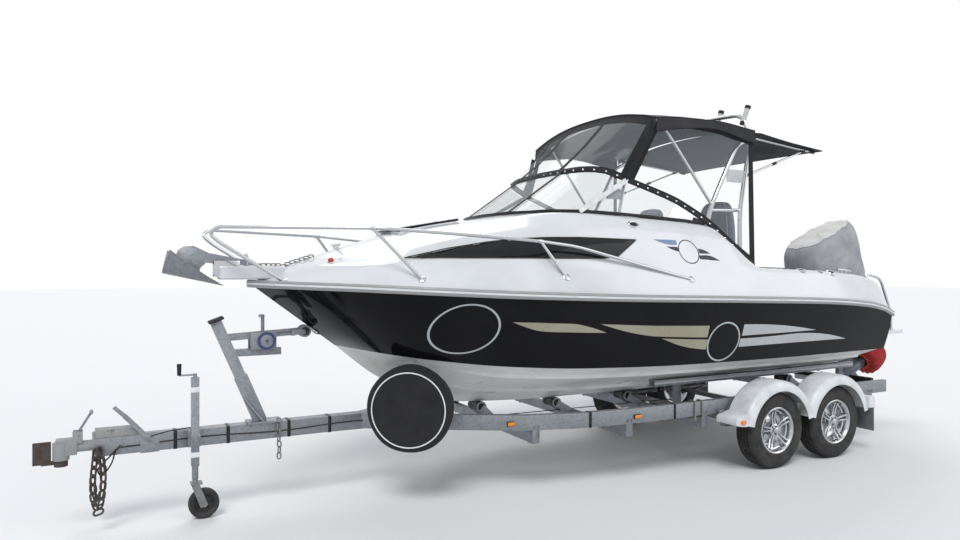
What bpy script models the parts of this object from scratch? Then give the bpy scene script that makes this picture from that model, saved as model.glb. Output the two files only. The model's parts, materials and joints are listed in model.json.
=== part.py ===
"""A trailerable cuddy-cabin speedboat with canopy and outboard, parked on its tandem-axle boat trailer.

Metres, +X towards the bow, +Y to port, +Z up. Every size below is measured from the trailer's
front road axle (x), the boat's centre plane (y) and the ground (z). One empty moves the whole
object so that its origin is below the middle of its length.
"""

import math

import bmesh
import bpy
import numpy as np
from mathutils import Matrix, Vector
from mathutils.bvhtree import BVHTree

# Driving dimensions
ORIGIN_TO_AXLE = -1.2007
GAP = 0.0003
PIN_GAP = 0.0005

HULL_WALL = 0.014
TRANSOM_X = -1.58
SHOULDER_X = 2.05
SOLE_Z = 0.98
SOLE_THICK = 0.018
LINER_WALL = 0.015
COCKPIT_AFT = -0.93
COCKPIT_FRONT = 1.92
COAMING_LIP = 0.05
COAMING_TOP = 1.58
WELL_HALF = 0.52
WELL_FLOOR = 1.165
RUB_RAIL_TALL = 0.055
RUB_RAIL_DEEP = 0.024
GLASS_THICK = 0.005
CANVAS = 0.012
CURTAIN = 0.004

TYRE_RADIUS = 0.325
TYRE_WIDTH = 0.185
RIM_RADIUS = 0.188
AXLE_SPREAD = 0.75
WHEEL_STEPS = 22
HUB_INSET = 0.009
GUARD_WIDTH = 0.24
RAIL_BOTTOM = 0.48
RAIL_TALL = 0.115
RAIL_WIDE = 0.05
RAIL_Y = 0.86
WHEEL_CLEAR = 0.03
WHEEL_FACE_Y = RAIL_Y + RAIL_WIDE / 2 + WHEEL_CLEAR + TYRE_WIDTH
BEAM_WIDE = 0.10
DRAWBAR_FRONT = 5.10
JOCKEY_X = 4.50
JOCKEY_WHEEL_RADIUS = 0.10
POST_X = 4.05

TILT_PIVOT = (-1.87, 0.0, 1.20)
TRIM_ANGLE = math.radians(21.6)
STEER_OFFSET = -0.10
PROP_SHAFT_DROP = 0.85
ANTIVENT_UP = 0.21

# Lines of the boat, port side, from the transom forward: columns x, y, z
KEEL = ((-1.58, 0.0, 0.56), (0.4, 0.0, 0.56), (1.6, 0.0, 0.565), (2.4, 0.0, 0.60),
        (2.85, 0.0, 0.69), (3.19, 0.0, 0.87), (3.51, 0.0, 1.12))
CHINE = ((-1.58, 1.00, 0.93), (-0.3, 1.045, 0.93), (1.0, 1.055, 0.94), (1.9, 1.02, 0.965),
         (2.5, 0.90, 1.00), (3.0, 0.66, 1.05), (3.3, 0.38, 1.09), (3.51, 0.0, 1.12))
SHEER = ((-1.58, 1.085, 1.27), (-1.40, 1.105, 1.33), (-1.1, 1.13, 1.375), (-0.6, 1.155, 1.41),
         (0.4, 1.19, 1.445), (1.6, 1.20, 1.48), (2.5, 1.15, 1.515), (3.1, 0.98, 1.545),
         (3.6, 0.66, 1.57), (3.95, 0.29, 1.583), (4.128, 0.0, 1.59))
KNUCKLE = ((-1.58, 1.03, 1.33), (-1.50, 1.03, 1.49), (-1.38, 1.035, 1.585), (-1.1, 1.045, 1.635),
           (-0.5, 1.06, 1.675), (0.3, 1.075, 1.69), (1.3, 1.08, 1.69), (2.2, 1.04, 1.705),
           (2.8, 0.92, 1.717), (3.3, 0.66, 1.725), (3.65, 0.35, 1.728), (3.845, 0.0, 1.729))
CREASE = ((-1.58, 0.98, 1.335), (-1.50, 0.985, 1.50), (-1.38, 0.99, 1.592), (-1.1, 1.00, 1.642),
          (-0.5, 1.01, 1.682), (0.10, 1.02, 1.70), (0.50, 0.965, 1.94), (1.3, 0.94, 2.00),
          (2.0, 0.89, 2.012), (2.7, 0.76, 1.935), (3.07, 0.62, 1.857), (3.40, 0.37, 1.775),
          (3.70, 0.0, 1.775))
COAMING = ((-1.58, 0.94, 1.337), (-1.50, 0.945, 1.503), (-1.38, 0.95, 1.595), (-1.1, 0.96, 1.645),
           (-0.5, 0.965, 1.686), (0.10, 0.97, 1.706), (0.58, 0.875, 2.055), (1.3, 0.86, 2.10),
           (1.85, 0.84, 2.12), (2.05, 0.79, 2.118), (2.4, 0.63, 2.07), (2.9, 0.42, 1.99),
           (3.25, 0.22, 1.905), (3.52, 0.0, 1.84))
CENTRE = ((-1.58, 0.0, 1.34), (-1.50, 0.0, 1.51), (-1.38, 0.0, 1.60), (-1.1, 0.0, 1.65),
          (-0.5, 0.0, 1.69), (0.10, 0.0, 1.71), (0.58, 0.0, 2.06), (1.3, 0.0, 2.12),
          (1.85, 0.0, 2.14), (2.2, 0.0, 2.13), (2.43, 0.0, 2.085), (2.99, 0.0, 2.0),
          (3.306, 0.0, 1.905), (3.47, 0.0, 1.86))

# The cockpit's opening lies a lip inside the coaming where that starts to close in towards the bow
COCKPIT_HALF = COAMING[8][1] - COAMING_LIP

# Bottom's height above a straight V, halfway from keel to chine: x, height
BOTTOM_BULGE = ((1.2, -0.006), (2.4, 0.012), (2.9, 0.035))

# Stations shared by all lines, then fractions of what is left of each line up to its bow end
STATIONS = (-1.58, -1.53, -1.46, -1.38, -1.25, -1.10, -0.85, -0.50, -0.10, 0.10, 0.22, 0.34,
            0.46, 0.58, 0.80, 1.10, 1.45, 1.75, 2.05)
BOW_FRACTIONS = (0.15, 0.30, 0.45, 0.60, 0.72, 0.82, 0.91, 0.97, 1.0)
INSIDE_FRACTION = 0.72

for old in list(bpy.data.objects):
    bpy.data.objects.remove(old)

boat = bpy.data.collections.new("speedboat_on_trailer")
bench = bpy.data.collections.new("construction")
for collection in (boat, bench):
    bpy.context.scene.collection.children.link(collection)
bench.hide_render = True

frame = bpy.data.objects.new("frame", None)
frame.location = (ORIGIN_TO_AXLE, 0, 0)
boat.objects.link(frame)


def material(name, colour, roughness, metallic=0.0, alpha=1.0):
    made = bpy.data.materials.new(name)
    made.use_nodes = True
    shader = made.node_tree.nodes["Principled BSDF"]
    shader.inputs["Base Color"].default_value = (*colour, 1)
    shader.inputs["Roughness"].default_value = roughness
    shader.inputs["Metallic"].default_value = metallic
    shader.inputs["Alpha"].default_value = alpha
    made.diffuse_color = (*colour, 1)
    return made


BLACK_GELCOAT = material("black_gelcoat", (0.012, 0.012, 0.014), 0.12)
WHITE_GELCOAT = material("white_gelcoat", (0.85, 0.86, 0.87), 0.2)
GREY_VINYL = material("grey_vinyl", (0.55, 0.56, 0.57), 0.35)
STAINLESS = material("stainless", (0.75, 0.75, 0.76), 0.15, 1.0)
ALUMINIUM = material("aluminium", (0.66, 0.67, 0.68), 0.3, 1.0)
GALVANISED = material("galvanised", (0.47, 0.49, 0.50), 0.55, 0.8)
TINTED = material("tinted_acrylic", (0.01, 0.01, 0.015), 0.05)
GLASS = material("clear_glass", (0.8, 0.9, 0.95), 0.02, 0.0, 0.3)
CANVAS_CLOTH = material("canvas", (0.05, 0.045, 0.05), 0.85)
CLEAR_VINYL = material("clear_vinyl", (0.85, 0.9, 0.95), 0.08, 0.0, 0.3)
SEAT_VINYL = material("seat_vinyl", (0.04, 0.06, 0.10), 0.5)
BLACK_PLASTIC = material("black_plastic", (0.02, 0.02, 0.022), 0.4)
WHITE_PLASTIC = material("white_plastic", (0.82, 0.83, 0.84), 0.35)
RUBBER = material("rubber", (0.018, 0.018, 0.018), 0.7)
ALLOY = material("polished_alloy", (0.7, 0.7, 0.72), 0.15, 1.0)
ENGINE_PAINT = material("engine_paint", (0.10, 0.13, 0.18), 0.3)
COVER_CLOTH = material("cover_cloth", (0.5, 0.5, 0.5), 0.8)
RED_CLOTH = material("red_cloth", (0.45, 0.03, 0.03), 0.8)
RUSTY = material("rusty_steel", (0.20, 0.13, 0.09), 0.8, 0.4)


def temporary(name, mesh):
    obj = bpy.data.objects.new(name, mesh)
    bench.objects.link(obj)
    return obj


def from_bmesh(name, bm):
    mesh = bpy.data.meshes.new(name)
    bm.to_mesh(mesh)
    bm.free()
    return temporary(name, mesh)


def evaluated_mesh(obj):
    """The object's mesh with its modifiers or bevel applied, welded and facing out."""
    graph = bpy.context.evaluated_depsgraph_get()
    mesh = bpy.data.meshes.new_from_object(obj.evaluated_get(graph))
    bm = bmesh.new()
    bm.from_mesh(mesh)
    bmesh.ops.remove_doubles(bm, verts=bm.verts, dist=1e-5)
    bmesh.ops.recalc_face_normals(bm, faces=bm.faces)
    bm.to_mesh(mesh)
    bm.free()
    return mesh


def block(low, high, name="block"):
    """A box between two corners."""
    bm = bmesh.new()
    bmesh.ops.create_cube(bm, size=1)
    size = Vector(high) - Vector(low)
    middle = (Vector(high) + Vector(low)) / 2
    bm.transform(Matrix.Translation(middle) @ Matrix.Diagonal((*size, 1)))
    return from_bmesh(name, bm)


def rod(start, end, radius, sides=12, end_radius=None, name="rod"):
    """A cylinder or cone from one point to another."""
    start, end = Vector(start), Vector(end)
    bm = bmesh.new()
    bmesh.ops.create_cone(
        bm, cap_ends=True, segments=sides, radius1=radius,
        radius2=radius if end_radius is None else end_radius, depth=(end - start).length,
    )
    turn = Vector((0, 0, 1)).rotation_difference(end - start).to_matrix().to_4x4()
    bm.transform(Matrix.Translation((start + end) / 2) @ turn)
    return from_bmesh(name, bm)


def bar(start, end, wide, tall, name="bar"):
    """A rectangular bar from one point to another, its tall side upright."""
    start, end = Vector(start), Vector(end)
    along = (end - start).normalized()
    across = Vector((0, 0, 1)).cross(along)
    across = across.normalized() if across.length > 1e-6 else Vector((0, 1, 0))
    up = along.cross(across)
    turn = Matrix((along, across, up)).transposed().to_4x4()
    bm = bmesh.new()
    bmesh.ops.create_cube(bm, size=1)
    scale = Matrix.Diagonal(((end - start).length, wide, tall, 1))
    bm.transform(Matrix.Translation((start + end) / 2) @ turn @ scale)
    return from_bmesh(name, bm)


def rounded(points, bend, steps=4):
    """The path with each inner corner replaced by an arc-like bend."""
    points = [Vector(p) for p in points]
    path = [points[0]]
    for before, corner, after in zip(points, points[1:], points[2:]):
        back, on = before - corner, after - corner
        reach = min(bend, back.length * 0.45, on.length * 0.45)
        first, last = corner + back.normalized() * reach, corner + on.normalized() * reach
        for i in range(steps + 1):
            t = i / steps
            path.append(first * (1 - t) ** 2 + corner * 2 * t * (1 - t) + last * t ** 2)
    return path + [points[-1]]


def tube(points, radius, bend=0.0, resolution=2, cyclic=False, name="tube"):
    """A round tube along a path, made from a bevelled curve with filled caps."""
    path = rounded(points, bend) if bend else [Vector(p) for p in points]
    curve = bpy.data.curves.new(name, "CURVE")
    curve.dimensions = "3D"
    curve.bevel_depth = radius
    curve.bevel_resolution = resolution
    curve.use_fill_caps = not cyclic
    spline = curve.splines.new("POLY")
    spline.points.add(len(path) - 1)
    spline.use_cyclic_u = cyclic
    for point, place in zip(spline.points, path):
        point.co = (*place, 1)
    source = temporary(name, curve)
    mesh = evaluated_mesh(source)
    bpy.data.objects.remove(source)
    return temporary(name, mesh)


def plate(outline, thickness, to_place, holes=(), name="plate"):
    """A flat outline, filled as a 2D curve and extruded to its thickness, then moved by a matrix."""
    curve = bpy.data.curves.new(name, "CURVE")
    curve.dimensions = "2D"
    curve.fill_mode = "BOTH"
    curve.extrude = thickness / 2
    for loop in (outline, *holes):
        spline = curve.splines.new("POLY")
        spline.points.add(len(loop) - 1)
        spline.use_cyclic_u = True
        for point, (u, v) in zip(spline.points, loop):
            point.co = (u, v, 0, 1)
    source = temporary(name, curve)
    mesh = evaluated_mesh(source)
    bpy.data.objects.remove(source)
    mesh.transform(to_place)
    return temporary(name, mesh)


# Lays a 2D outline (u, v) on the side (x, z)
ON_SIDE = Matrix(((1, 0, 0, 0), (0, 0, -1, 0), (0, 1, 0, 0), (0, 0, 0, 1)))


def turned(profile, steps, name="turned"):
    """A profile (radius, height), closed or with both ends on the axis, turned about Z by a Screw."""
    mesh = bpy.data.meshes.new(name)
    count = len(profile)
    on_axis = profile[0][0] == profile[-1][0] == 0
    edges = [(i, (i + 1) % count) for i in range(count - on_axis)]
    mesh.from_pydata([(r, 0, z) for r, z in profile], edges, [])
    source = temporary(name, mesh)
    screw = source.modifiers.new("turn", "SCREW")
    screw.steps = screw.render_steps = steps
    screw.use_merge_vertices = True
    screw.merge_threshold = 0.0001
    made = evaluated_mesh(source)
    bpy.data.objects.remove(source)
    return temporary(name, made)


def moved(obj, matrix):
    obj.data.transform(matrix)
    if matrix.determinant() < 0:
        obj.data.flip_normals()
    return obj


def copied(obj):
    return temporary(obj.name, obj.data.copy())


def mirrored(obj):
    """A copy of the piece on the other side of the centre plane."""
    return moved(copied(obj), Matrix.Diagonal((1, -1, 1, 1)))


def combined(base, others, operation):
    for other in others:
        step = base.modifiers.new(operation, "BOOLEAN")
        step.operation = operation
        step.solver = "EXACT"
        step.object = other
    made = evaluated_mesh(base)
    for obj in (base, *others):
        bpy.data.objects.remove(obj)
    return temporary("combined", made)


def joined(*pieces):
    return combined(pieces[0], pieces[1:], "UNION")


def cut(base, *cutters):
    return combined(base, cutters, "DIFFERENCE")


def kept_inside(base, limit):
    return combined(base, (limit,), "INTERSECT")


def finished(name, obj, finish, parent=None, smooth=True):
    """Gives a piece its name, material and place in the boat's collection."""
    bench.objects.unlink(obj)
    boat.objects.link(obj)
    obj.name = name
    obj.data.name = name
    obj.data.materials.clear()
    obj.data.materials.append(finish)
    if smooth:
        obj.data.shade_smooth()
        obj.data.set_sharp_from_angle(angle=math.radians(35))
    carrier = parent or frame
    obj.parent = carrier
    obj.location = (Vector(frame.location) - Vector(carrier_place(carrier)))
    return obj


def carrier_place(carrier):
    """World place of an empty that hangs under the frame or under another empty."""
    place = Vector(carrier.location)
    while carrier.parent:
        carrier = carrier.parent
        place += Vector(carrier.location)
    return place


def pivot(name, place, parent=None):
    """An empty on a joint's axis, placed in the axle's coordinates."""
    empty = bpy.data.objects.new(name, None)
    boat.objects.link(empty)
    carrier = parent or frame
    empty.parent = carrier
    empty.location = Vector(frame.location) + Vector(place) - carrier_place(carrier)
    return empty


def line_at(table, xs):
    """Monotone cubic through a line's points, so that it has no overshoot between them."""
    table = np.array(table)
    x, values = table[:, 0], table[:, 1:]
    step = np.diff(x)[:, None]
    slope = np.diff(values, axis=0) / step
    same = slope[1:] * slope[:-1] > 0
    inner = np.where(same, 2 * slope[1:] * slope[:-1] / np.where(same, slope[1:] + slope[:-1], 1), 0)
    tangent = np.vstack([slope[:1], inner, slope[-1:]])
    xs = np.asarray(xs, float)
    i = np.clip(np.searchsorted(x, xs, side="right") - 1, 0, len(x) - 2)
    h = (x[i + 1] - x[i])[:, None]
    t = ((xs - x[i])[:, None]) / h
    out = (
        (2 * t ** 3 - 3 * t ** 2 + 1) * values[i]
        + (t ** 3 - 2 * t ** 2 + t) * h * tangent[i]
        + (3 * t ** 2 - 2 * t ** 3) * values[i + 1]
        + (t ** 3 - t ** 2) * h * tangent[i + 1]
    )
    return np.column_stack([xs, out])


def station_line(table):
    """A line read at every station: the shared ones, then the bow fractions up to its own end."""
    end = table[-1][0]
    bow = [SHOULDER_X + f * (end - SHOULDER_X) for f in BOW_FRACTIONS]
    return line_at(table, list(STATIONS) + bow)


def between(low, high, share, bulge=(0, 0, 0)):
    """A line a share of the way between two others, pushed out by a bulge that fades at the bow."""
    line = low + (high - low) * share
    fade = np.minimum(1, line[:, 1] / 0.3)[:, None]
    return line + np.array(bulge) * fade


def bottom_bulge(xs):
    """How far the bottom lies above a straight V halfway out: a little below it aft, hollow at the bow."""
    return np.interp(xs, [p[0] for p in BOTTOM_BULGE], [p[1] for p in BOTTOM_BULGE])


keel, chine, sheer = station_line(KEEL), station_line(CHINE), station_line(SHEER)
knuckle, crease, coaming = station_line(KNUCKLE), station_line(CREASE), station_line(COAMING)
centre = station_line(CENTRE)
FLAT_CHINE = 0.045
chine_in = chine - np.array([0, FLAT_CHINE, 0.004]) * np.minimum(1, chine[:, 1:2] / 0.2)
topside = between(chine, sheer, 0.5, (0, 0.012, 0))
crown = between(centre, coaming, 0.55, (0, 0, 0.012))
bottom = between(keel, chine, 0.5)
bottom[:, 2] += bottom_bulge(bottom[:, 0]) * np.minimum(1, bottom[:, 1] / 0.3)
HULL_LINES = np.stack([keel, bottom, chine_in, chine, topside, sheer], 1)
DECK_LINES = np.stack([sheer, knuckle, crease, coaming, crown, centre], 1)
SKIN = np.concatenate([HULL_LINES, DECK_LINES[:, 1:]], 1)


def full_rings(lines):
    """Rings with the same number of points at every station, for a loft that may end in an edge."""
    rings = []
    for row in lines:
        starts = 1 if np.allclose(lines[:, 0, 1], 0) else 0
        ends = -1 if np.allclose(lines[:, -1, 1], 0) else None
        rings.append(list(map(tuple, row)) + list(map(tuple, (row[starts:ends] * (1, -1, 1))[::-1])))
    return rings


def loft(rings, name="loft"):
    """A closed body through rings of equal point count, with both ends filled."""
    bm = bmesh.new()
    rows = [[bm.verts.new(p) for p in points] for points in rings]
    count = len(rows[0])
    for row, after in zip(rows, rows[1:]):
        for i in range(count):
            j = (i + 1) % count
            bm.faces.new((row[i], row[j], after[j], after[i]))
    first, last = rows[0], rows[-1]
    bm.faces.new(first[::-1])
    if max(abs(vert.co.y) for vert in last) > 1e-4:
        bm.faces.new(last)
    bmesh.ops.remove_doubles(bm, verts=bm.verts, dist=1e-5)
    bmesh.ops.triangulate(bm, faces=bm.faces)
    bmesh.ops.recalc_face_normals(bm, faces=bm.faces)
    return from_bmesh(name, bm)


def inset(lines, wall):
    """The lines moved inwards by a wall, along the surface's own normals."""
    along = np.gradient(lines, axis=0)
    around = np.gradient(lines, axis=1)
    normal = np.cross(along, around)
    normal /= np.maximum(np.linalg.norm(normal, axis=2, keepdims=True), 1e-9)
    for column in (0, -1):
        if np.allclose(lines[:, column, 1], 0):
            normal[:, column, 1] = 0
            length = np.linalg.norm(normal[:, column], axis=1, keepdims=True)
            normal[:, column] /= np.maximum(length, 1e-9)
    return lines + wall * normal


def interior(wall):
    """The space inside hull and deck: their skin set in by a wall, short of transom and stem."""
    rows = len(STATIONS) + BOW_FRACTIONS.index(INSIDE_FRACTION) + 1
    lines = inset(SKIN, wall)[:rows]
    lines[0, :, 0] = TRANSOM_X + wall
    return loft(full_rings(lines), "interior")


def raised(lines, height):
    return lines + np.array([0, 0, height])


def surface_z(tree, x, y, above=4.0):
    """Height of the first surface met going down at a place."""
    hit = tree.ray_cast(Vector((x, y, above)), Vector((0, 0, -1)))[0]
    return hit.z


def tree_of(obj):
    bm = bmesh.new()
    bm.from_mesh(obj.data)
    found = BVHTree.FromBMesh(bm)
    bm.free()
    return found


def seated(obj):
    """The piece cut off just above the deck's outer surface, so that its feet follow it."""
    return cut(obj, loft(full_rings(raised(DECK_LINES, GAP * 3)), "seat"))


def keel_height(x):
    return float(line_at(KEEL, [x])[0][2])


def bottom_height(x, y):
    """Height of the hull's bottom at a place aft of the bow."""
    low, high = line_at(KEEL, [x])[0], line_at(CHINE, [x])[0]
    share = abs(y) / high[1]
    straight = low[2] + (high[2] - low[2]) * share
    return float(straight + min(0.0, bottom_bulge(x)) * min(1, 2 * share, 2 - 2 * share))


# Window in the cabin's side: x, z
SIDE_WINDOW = ((3.20, 1.768), (2.92, 1.835), (2.65, 1.882), (2.44, 1.907), (2.20, 1.920),
               (1.93, 1.925), (1.43, 1.915), (1.64, 1.790), (1.78, 1.770))
WINDOW_EDGE = 0.02
HATCH_X = 2.86
HATCH_HALF = 0.24
LID_THICK = 0.018
HINGE_Y = (0.15, -0.15)
COMPANIONWAY_HALF = 0.28
BULKHEAD_SET = 0.08


def shrunk(outline, by):
    """An outline moved inwards by a distance, corner by corner."""
    points = np.array(outline)
    middle = points.mean(axis=0)
    away = points - middle
    length = np.linalg.norm(away, axis=1, keepdims=True)
    return [tuple(p) for p in middle + away * (1 - by / length)]


def side_prism(outline, y_from, y_to):
    width = y_to - y_from
    shift = Matrix.Translation((0, (y_from + y_to) / 2, 0))
    return plate(outline, width, shift @ ON_SIDE)


def build_hull():
    shell = loft(full_rings(HULL_LINES), "hull")
    well = block((TRANSOM_X - 0.1, -WELL_HALF, WELL_FLOOR), (COCKPIT_AFT, WELL_HALF, 2.0))
    return finished("hull", cut(shell, interior(HULL_WALL), well), BLACK_GELCOAT)


def hatch_line(tree):
    """Middle of the hatch lid's front and aft edges."""
    return [
        Vector((x, 0, surface_z(tree, x, 0.0) + LID_THICK / 2 + 0.010))
        for x in (HATCH_X + HATCH_HALF + 0.022, HATCH_X - HATCH_HALF - 0.022)
    ]


def build_deck():
    shell = loft(full_rings(raised(DECK_LINES, GAP)), "deck")
    cockpit = block((COCKPIT_AFT, -COCKPIT_HALF, 1.0), (COCKPIT_FRONT, COCKPIT_HALF, 3.0))
    well = block((TRANSOM_X - 0.1, -WELL_HALF, 1.0), (COCKPIT_AFT + 0.1, WELL_HALF, 3.0))
    hatch = block((HATCH_X - HATCH_HALF, -HATCH_HALF, 1.75), (HATCH_X + HATCH_HALF, HATCH_HALF, 2.3))
    windows = side_prism(shrunk(SIDE_WINDOW, WINDOW_EDGE), -1.3, 1.3)
    tree = tree_of(shell)
    opened = cut(shell, interior(HULL_WALL), cockpit, well, windows)
    front, aft = hatch_line(tree)
    drop = Vector((0, 0, LID_THICK / 2 + 0.006 + 0.025))
    coaming_ring = bar(front - drop, aft - drop, 2 * HATCH_HALF + 0.03, 0.05)
    knuckles = [
        block((front.x - 0.014, y - 0.012, front.z - 0.06), (front.x + 0.014, y + 0.012, front.z + 0.012))
        for y in HINGE_Y
    ]
    return finished("deck", joined(cut(joined(opened, coaming_ring), hatch), *knuckles), WHITE_GELCOAT)


def inside_hull(obj):
    """The piece cut to the space inside hull and deck."""
    return kept_inside(obj, interior(HULL_WALL + GAP))


def build_sole():
    sole = block((TRANSOM_X, -1.3, SOLE_Z - SOLE_THICK), (3.2, 1.3, SOLE_Z))
    finished("cockpit_sole", inside_hull(sole), WHITE_GELCOAT, smooth=False)


def build_cockpit_liner():
    """Cockpit sides, their aft wall with its low middle, and the motor well behind it."""
    wall_out = COCKPIT_HALF + LINER_WALL + 0.02
    low, high = SOLE_Z + GAP, COAMING_TOP - 0.02
    sides = [
        block((COCKPIT_AFT - LINER_WALL / 2, side * wall_out - LINER_WALL / 2, low),
              (COCKPIT_FRONT + BULKHEAD_SET - GAP, side * wall_out + LINER_WALL / 2, COAMING_TOP))
        for side in (-1, 1)
    ]
    aft = block((COCKPIT_AFT - LINER_WALL, -1.2, low), (COCKPIT_AFT, 1.2, high))
    floor = block((TRANSOM_X, -WELL_HALF - 0.03, WELL_FLOOR - 0.03),
                  (COCKPIT_AFT - 0.005, WELL_HALF + 0.03, WELL_FLOOR - 0.012))
    well_sides = [
        block((TRANSOM_X, side * (WELL_HALF + 0.02) - 0.01, WELL_FLOOR - 0.02),
              (COCKPIT_AFT - 0.005, side * (WELL_HALF + 0.02) + 0.01, high))
        for side in (-1, 1)
    ]
    low_aft = block((COCKPIT_AFT - 0.05, -WELL_HALF, 1.42), (COCKPIT_AFT + 0.05, WELL_HALF, 1.8))
    tub = cut(joined(*sides, aft, floor, *well_sides), low_aft)
    finished("cockpit_liner", inside_hull(tub), WHITE_GELCOAT, smooth=False)


def build_cabin_moulding():
    """Cabin bulkhead with its companionway, and the berth each side of the cabin's floor."""
    low = SOLE_Z + GAP
    front = COCKPIT_FRONT + BULKHEAD_SET
    bulkhead = block((front, -1.2, low), (front + 0.02, 1.2, 2.3))
    berths = [
        block((front + 0.01, side * 0.72 - 0.40, low), (3.1, side * 0.72 + 0.40, 1.30))
        for side in (-1, 1)
    ]
    doorway = block((front - 0.1, -COMPANIONWAY_HALF, SOLE_Z + 0.05), (front + 0.2, COMPANIONWAY_HALF, 1.95))
    moulding = cut(joined(bulkhead, *berths), doorway)
    finished("cabin_moulding", inside_hull(moulding), WHITE_GELCOAT, smooth=False)


def edge_path(line):
    """A line's port side from aft to the bow, then back along starboard."""
    port = [tuple(p) for p in line]
    starboard = [(x, -y, z) for x, y, z in port[:-1]][::-1]
    return port + starboard


def sweep(path, profile, name="sweep"):
    """A profile of (outwards, up) carried level along a path, outwards being left of the way it runs."""
    path = np.array(path)
    ahead = np.gradient(path[:, :2], axis=0)
    ahead /= np.linalg.norm(ahead, axis=1, keepdims=True)
    left = np.column_stack([-ahead[:, 1], ahead[:, 0]])
    rings = [
        [(p[0] + n[0] * u, p[1] + n[1] * u, p[2] + v) for u, v in profile]
        for p, n in zip(path, left)
    ]
    return loft(rings, name)


def build_rub_rail():
    inner, outer, half = 0.0006, RUB_RAIL_DEEP, RUB_RAIL_TALL / 2
    profile = [(inner, -half), (outer * 0.8, -half), (outer, -half * 0.4), (outer, half * 0.4),
               (outer * 0.8, half), (inner, half)]
    rail = sweep(edge_path(sheer), profile, "rub_rail")
    return finished("rub_rail", rail, GREY_VINYL)


def build_side_windows():
    for side, word in ((1, "port"), (-1, "starboard")):
        outer = inset(DECK_LINES[:, 1:3], -(GLASS_THICK + GAP * 3))
        inner = inset(DECK_LINES[:, 1:3], -GAP * 3)
        rows = [i for i in range(len(DECK_LINES)) if 1.0 < DECK_LINES[i, 1, 0] < 3.7]
        rings = [
            [tuple(outer[i, 0]), tuple(outer[i, 1]), tuple(inner[i, 1]), tuple(inner[i, 0])] for i in rows
        ]
        skin = loft(rings, "window_skin")
        pane = kept_inside(skin, side_prism(SIDE_WINDOW, 0.3, 1.4))
        if side < 0:
            pane = moved(pane, Matrix.Diagonal((1, -1, 1, 1)))
        finished("side_window_" + word, pane, TINTED)


# Windscreen, port half from its aft tip to the centre: foot x, y, then top x, y, z
SCREEN = ((0.66, 0.855, 0.70, 0.850, 2.150), (1.00, 0.850, 0.89, 0.840, 2.240),
          (1.45, 0.845, 1.13, 0.810, 2.325), (1.84, 0.815, 1.354, 0.770, 2.400),
          (2.02, 0.730, 1.520, 0.710, 2.465), (2.13, 0.580, 1.630, 0.580, 2.487),
          (2.21, 0.350, 1.685, 0.350, 2.492), (2.24, 0.0, 1.705, 0.0, 2.495))
SCREEN_STEPS = 15
SILL_TALL = 0.024
SCREEN_RAIL = 0.030
WING_RAIL = ((0.10, 0.935), (0.34, 0.905), (0.55, 0.872))
GLASS_SET = 0.0030
# Mullions each side: place along the screen, width
MULLIONS = ((6, 0.05), (12, 0.025))


def screen_lines(deck_tree):
    """Foot and top of the screen, port aft to centre, smoothed, the foot dropped onto the deck."""
    rows = np.array(SCREEN)
    place = np.linspace(0, len(rows) - 1, SCREEN_STEPS)
    table = np.column_stack([np.arange(len(rows)), rows])
    smooth = line_at(table, place)[:, 1:]
    foot = [
        (x, y, surface_z(deck_tree, x, y) + 0.001 + SILL_TALL / 2) for x, y in smooth[:, :2]
    ]
    return np.array(foot), smooth[:, 2:]


def whole_line(half):
    return list(map(tuple, half)) + [(x, -y, z) for x, y, z in half[:-1][::-1]]


def screen_band(foot, top, inwards, index, wide):
    """A mullion on the outside of the glass, following it each side of one of its stations."""
    rings = []
    for step in (-1, 0, 1):
        reach = wide / 2 / np.linalg.norm(foot[index + step] - foot[index]) if step else 0.0
        low, high = (line[index] + (line[index + step] - line[index]) * reach for line in (foot, top))
        near, far = inwards[index] * -0.0005, inwards[index] * -0.0085
        rings.append([tuple(low + near), tuple(high + near), tuple(high + far), tuple(low + far)])
    return loft(rings, "mullion")


def build_windscreen(deck_tree):
    """Raked wrap-round windscreen: black rail and sill, mullions, wing rails and one curved glass.

    Gives back the port half of the top rail's middle line, wing first.
    """
    foot, top = screen_lines(deck_tree)
    wing = [(x, y, surface_z(deck_tree, x, y) + 0.003 + SCREEN_RAIL / 2) for x, y in WING_RAIL]
    r, s = SCREEN_RAIL / 2, SILL_TALL / 2
    rail_path = whole_line(np.vstack([np.array(wing), top]))
    rail = sweep(rail_path, [(-r * 0.6, -r), (r * 0.6, -r), (r * 0.6, r), (-r * 0.6, r)])
    sill = sweep(whole_line(foot), [(-s, -s), (s, -s), (s, s), (-s, s)])
    low_line, high_line = np.array(whole_line(foot)), np.array(whole_line(top))
    up = high_line - low_line
    up /= np.linalg.norm(up, axis=1, keepdims=True)
    inwards = np.cross(np.gradient((low_line + high_line) / 2, axis=0), up)
    inwards /= np.linalg.norm(inwards, axis=1, keepdims=True)
    pieces = [rail, sill]
    for index, wide in MULLIONS:
        band = screen_band(low_line, high_line, inwards, index, wide)
        pieces += [band, mirrored(band)]
    for side in (1, -1):
        pieces.append(bar((0.60, side * 0.862, foot[0][2] - 0.004), (0.72, side * 0.852, foot[0][2] + 0.03),
                          0.016, 0.03))
    finished("windscreen_frame", seated(joined(*pieces)), BLACK_PLASTIC, smooth=False)
    sunk = -inwards[:, 2:] * (GLASS_SET + GLASS_THICK)
    low_line = low_line + up * (SILL_TALL / 2 + 0.0006 + sunk) / up[:, 2:]
    high_line = high_line - up * (SCREEN_RAIL / 2 + 0.0006) / up[:, 2:]
    rings = []
    for low, high, n in zip(low_line[2:-2], high_line[2:-2], inwards[2:-2]):
        outside, inside = n * GLASS_SET, n * (GLASS_SET + GLASS_THICK)
        rings.append([tuple(low + outside), tuple(high + outside), tuple(high + inside), tuple(low + inside)])
    finished("windscreen_glass", loft(rings, "glass"), GLASS)
    return np.array(rail_path[:len(wing) + len(top)])


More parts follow.
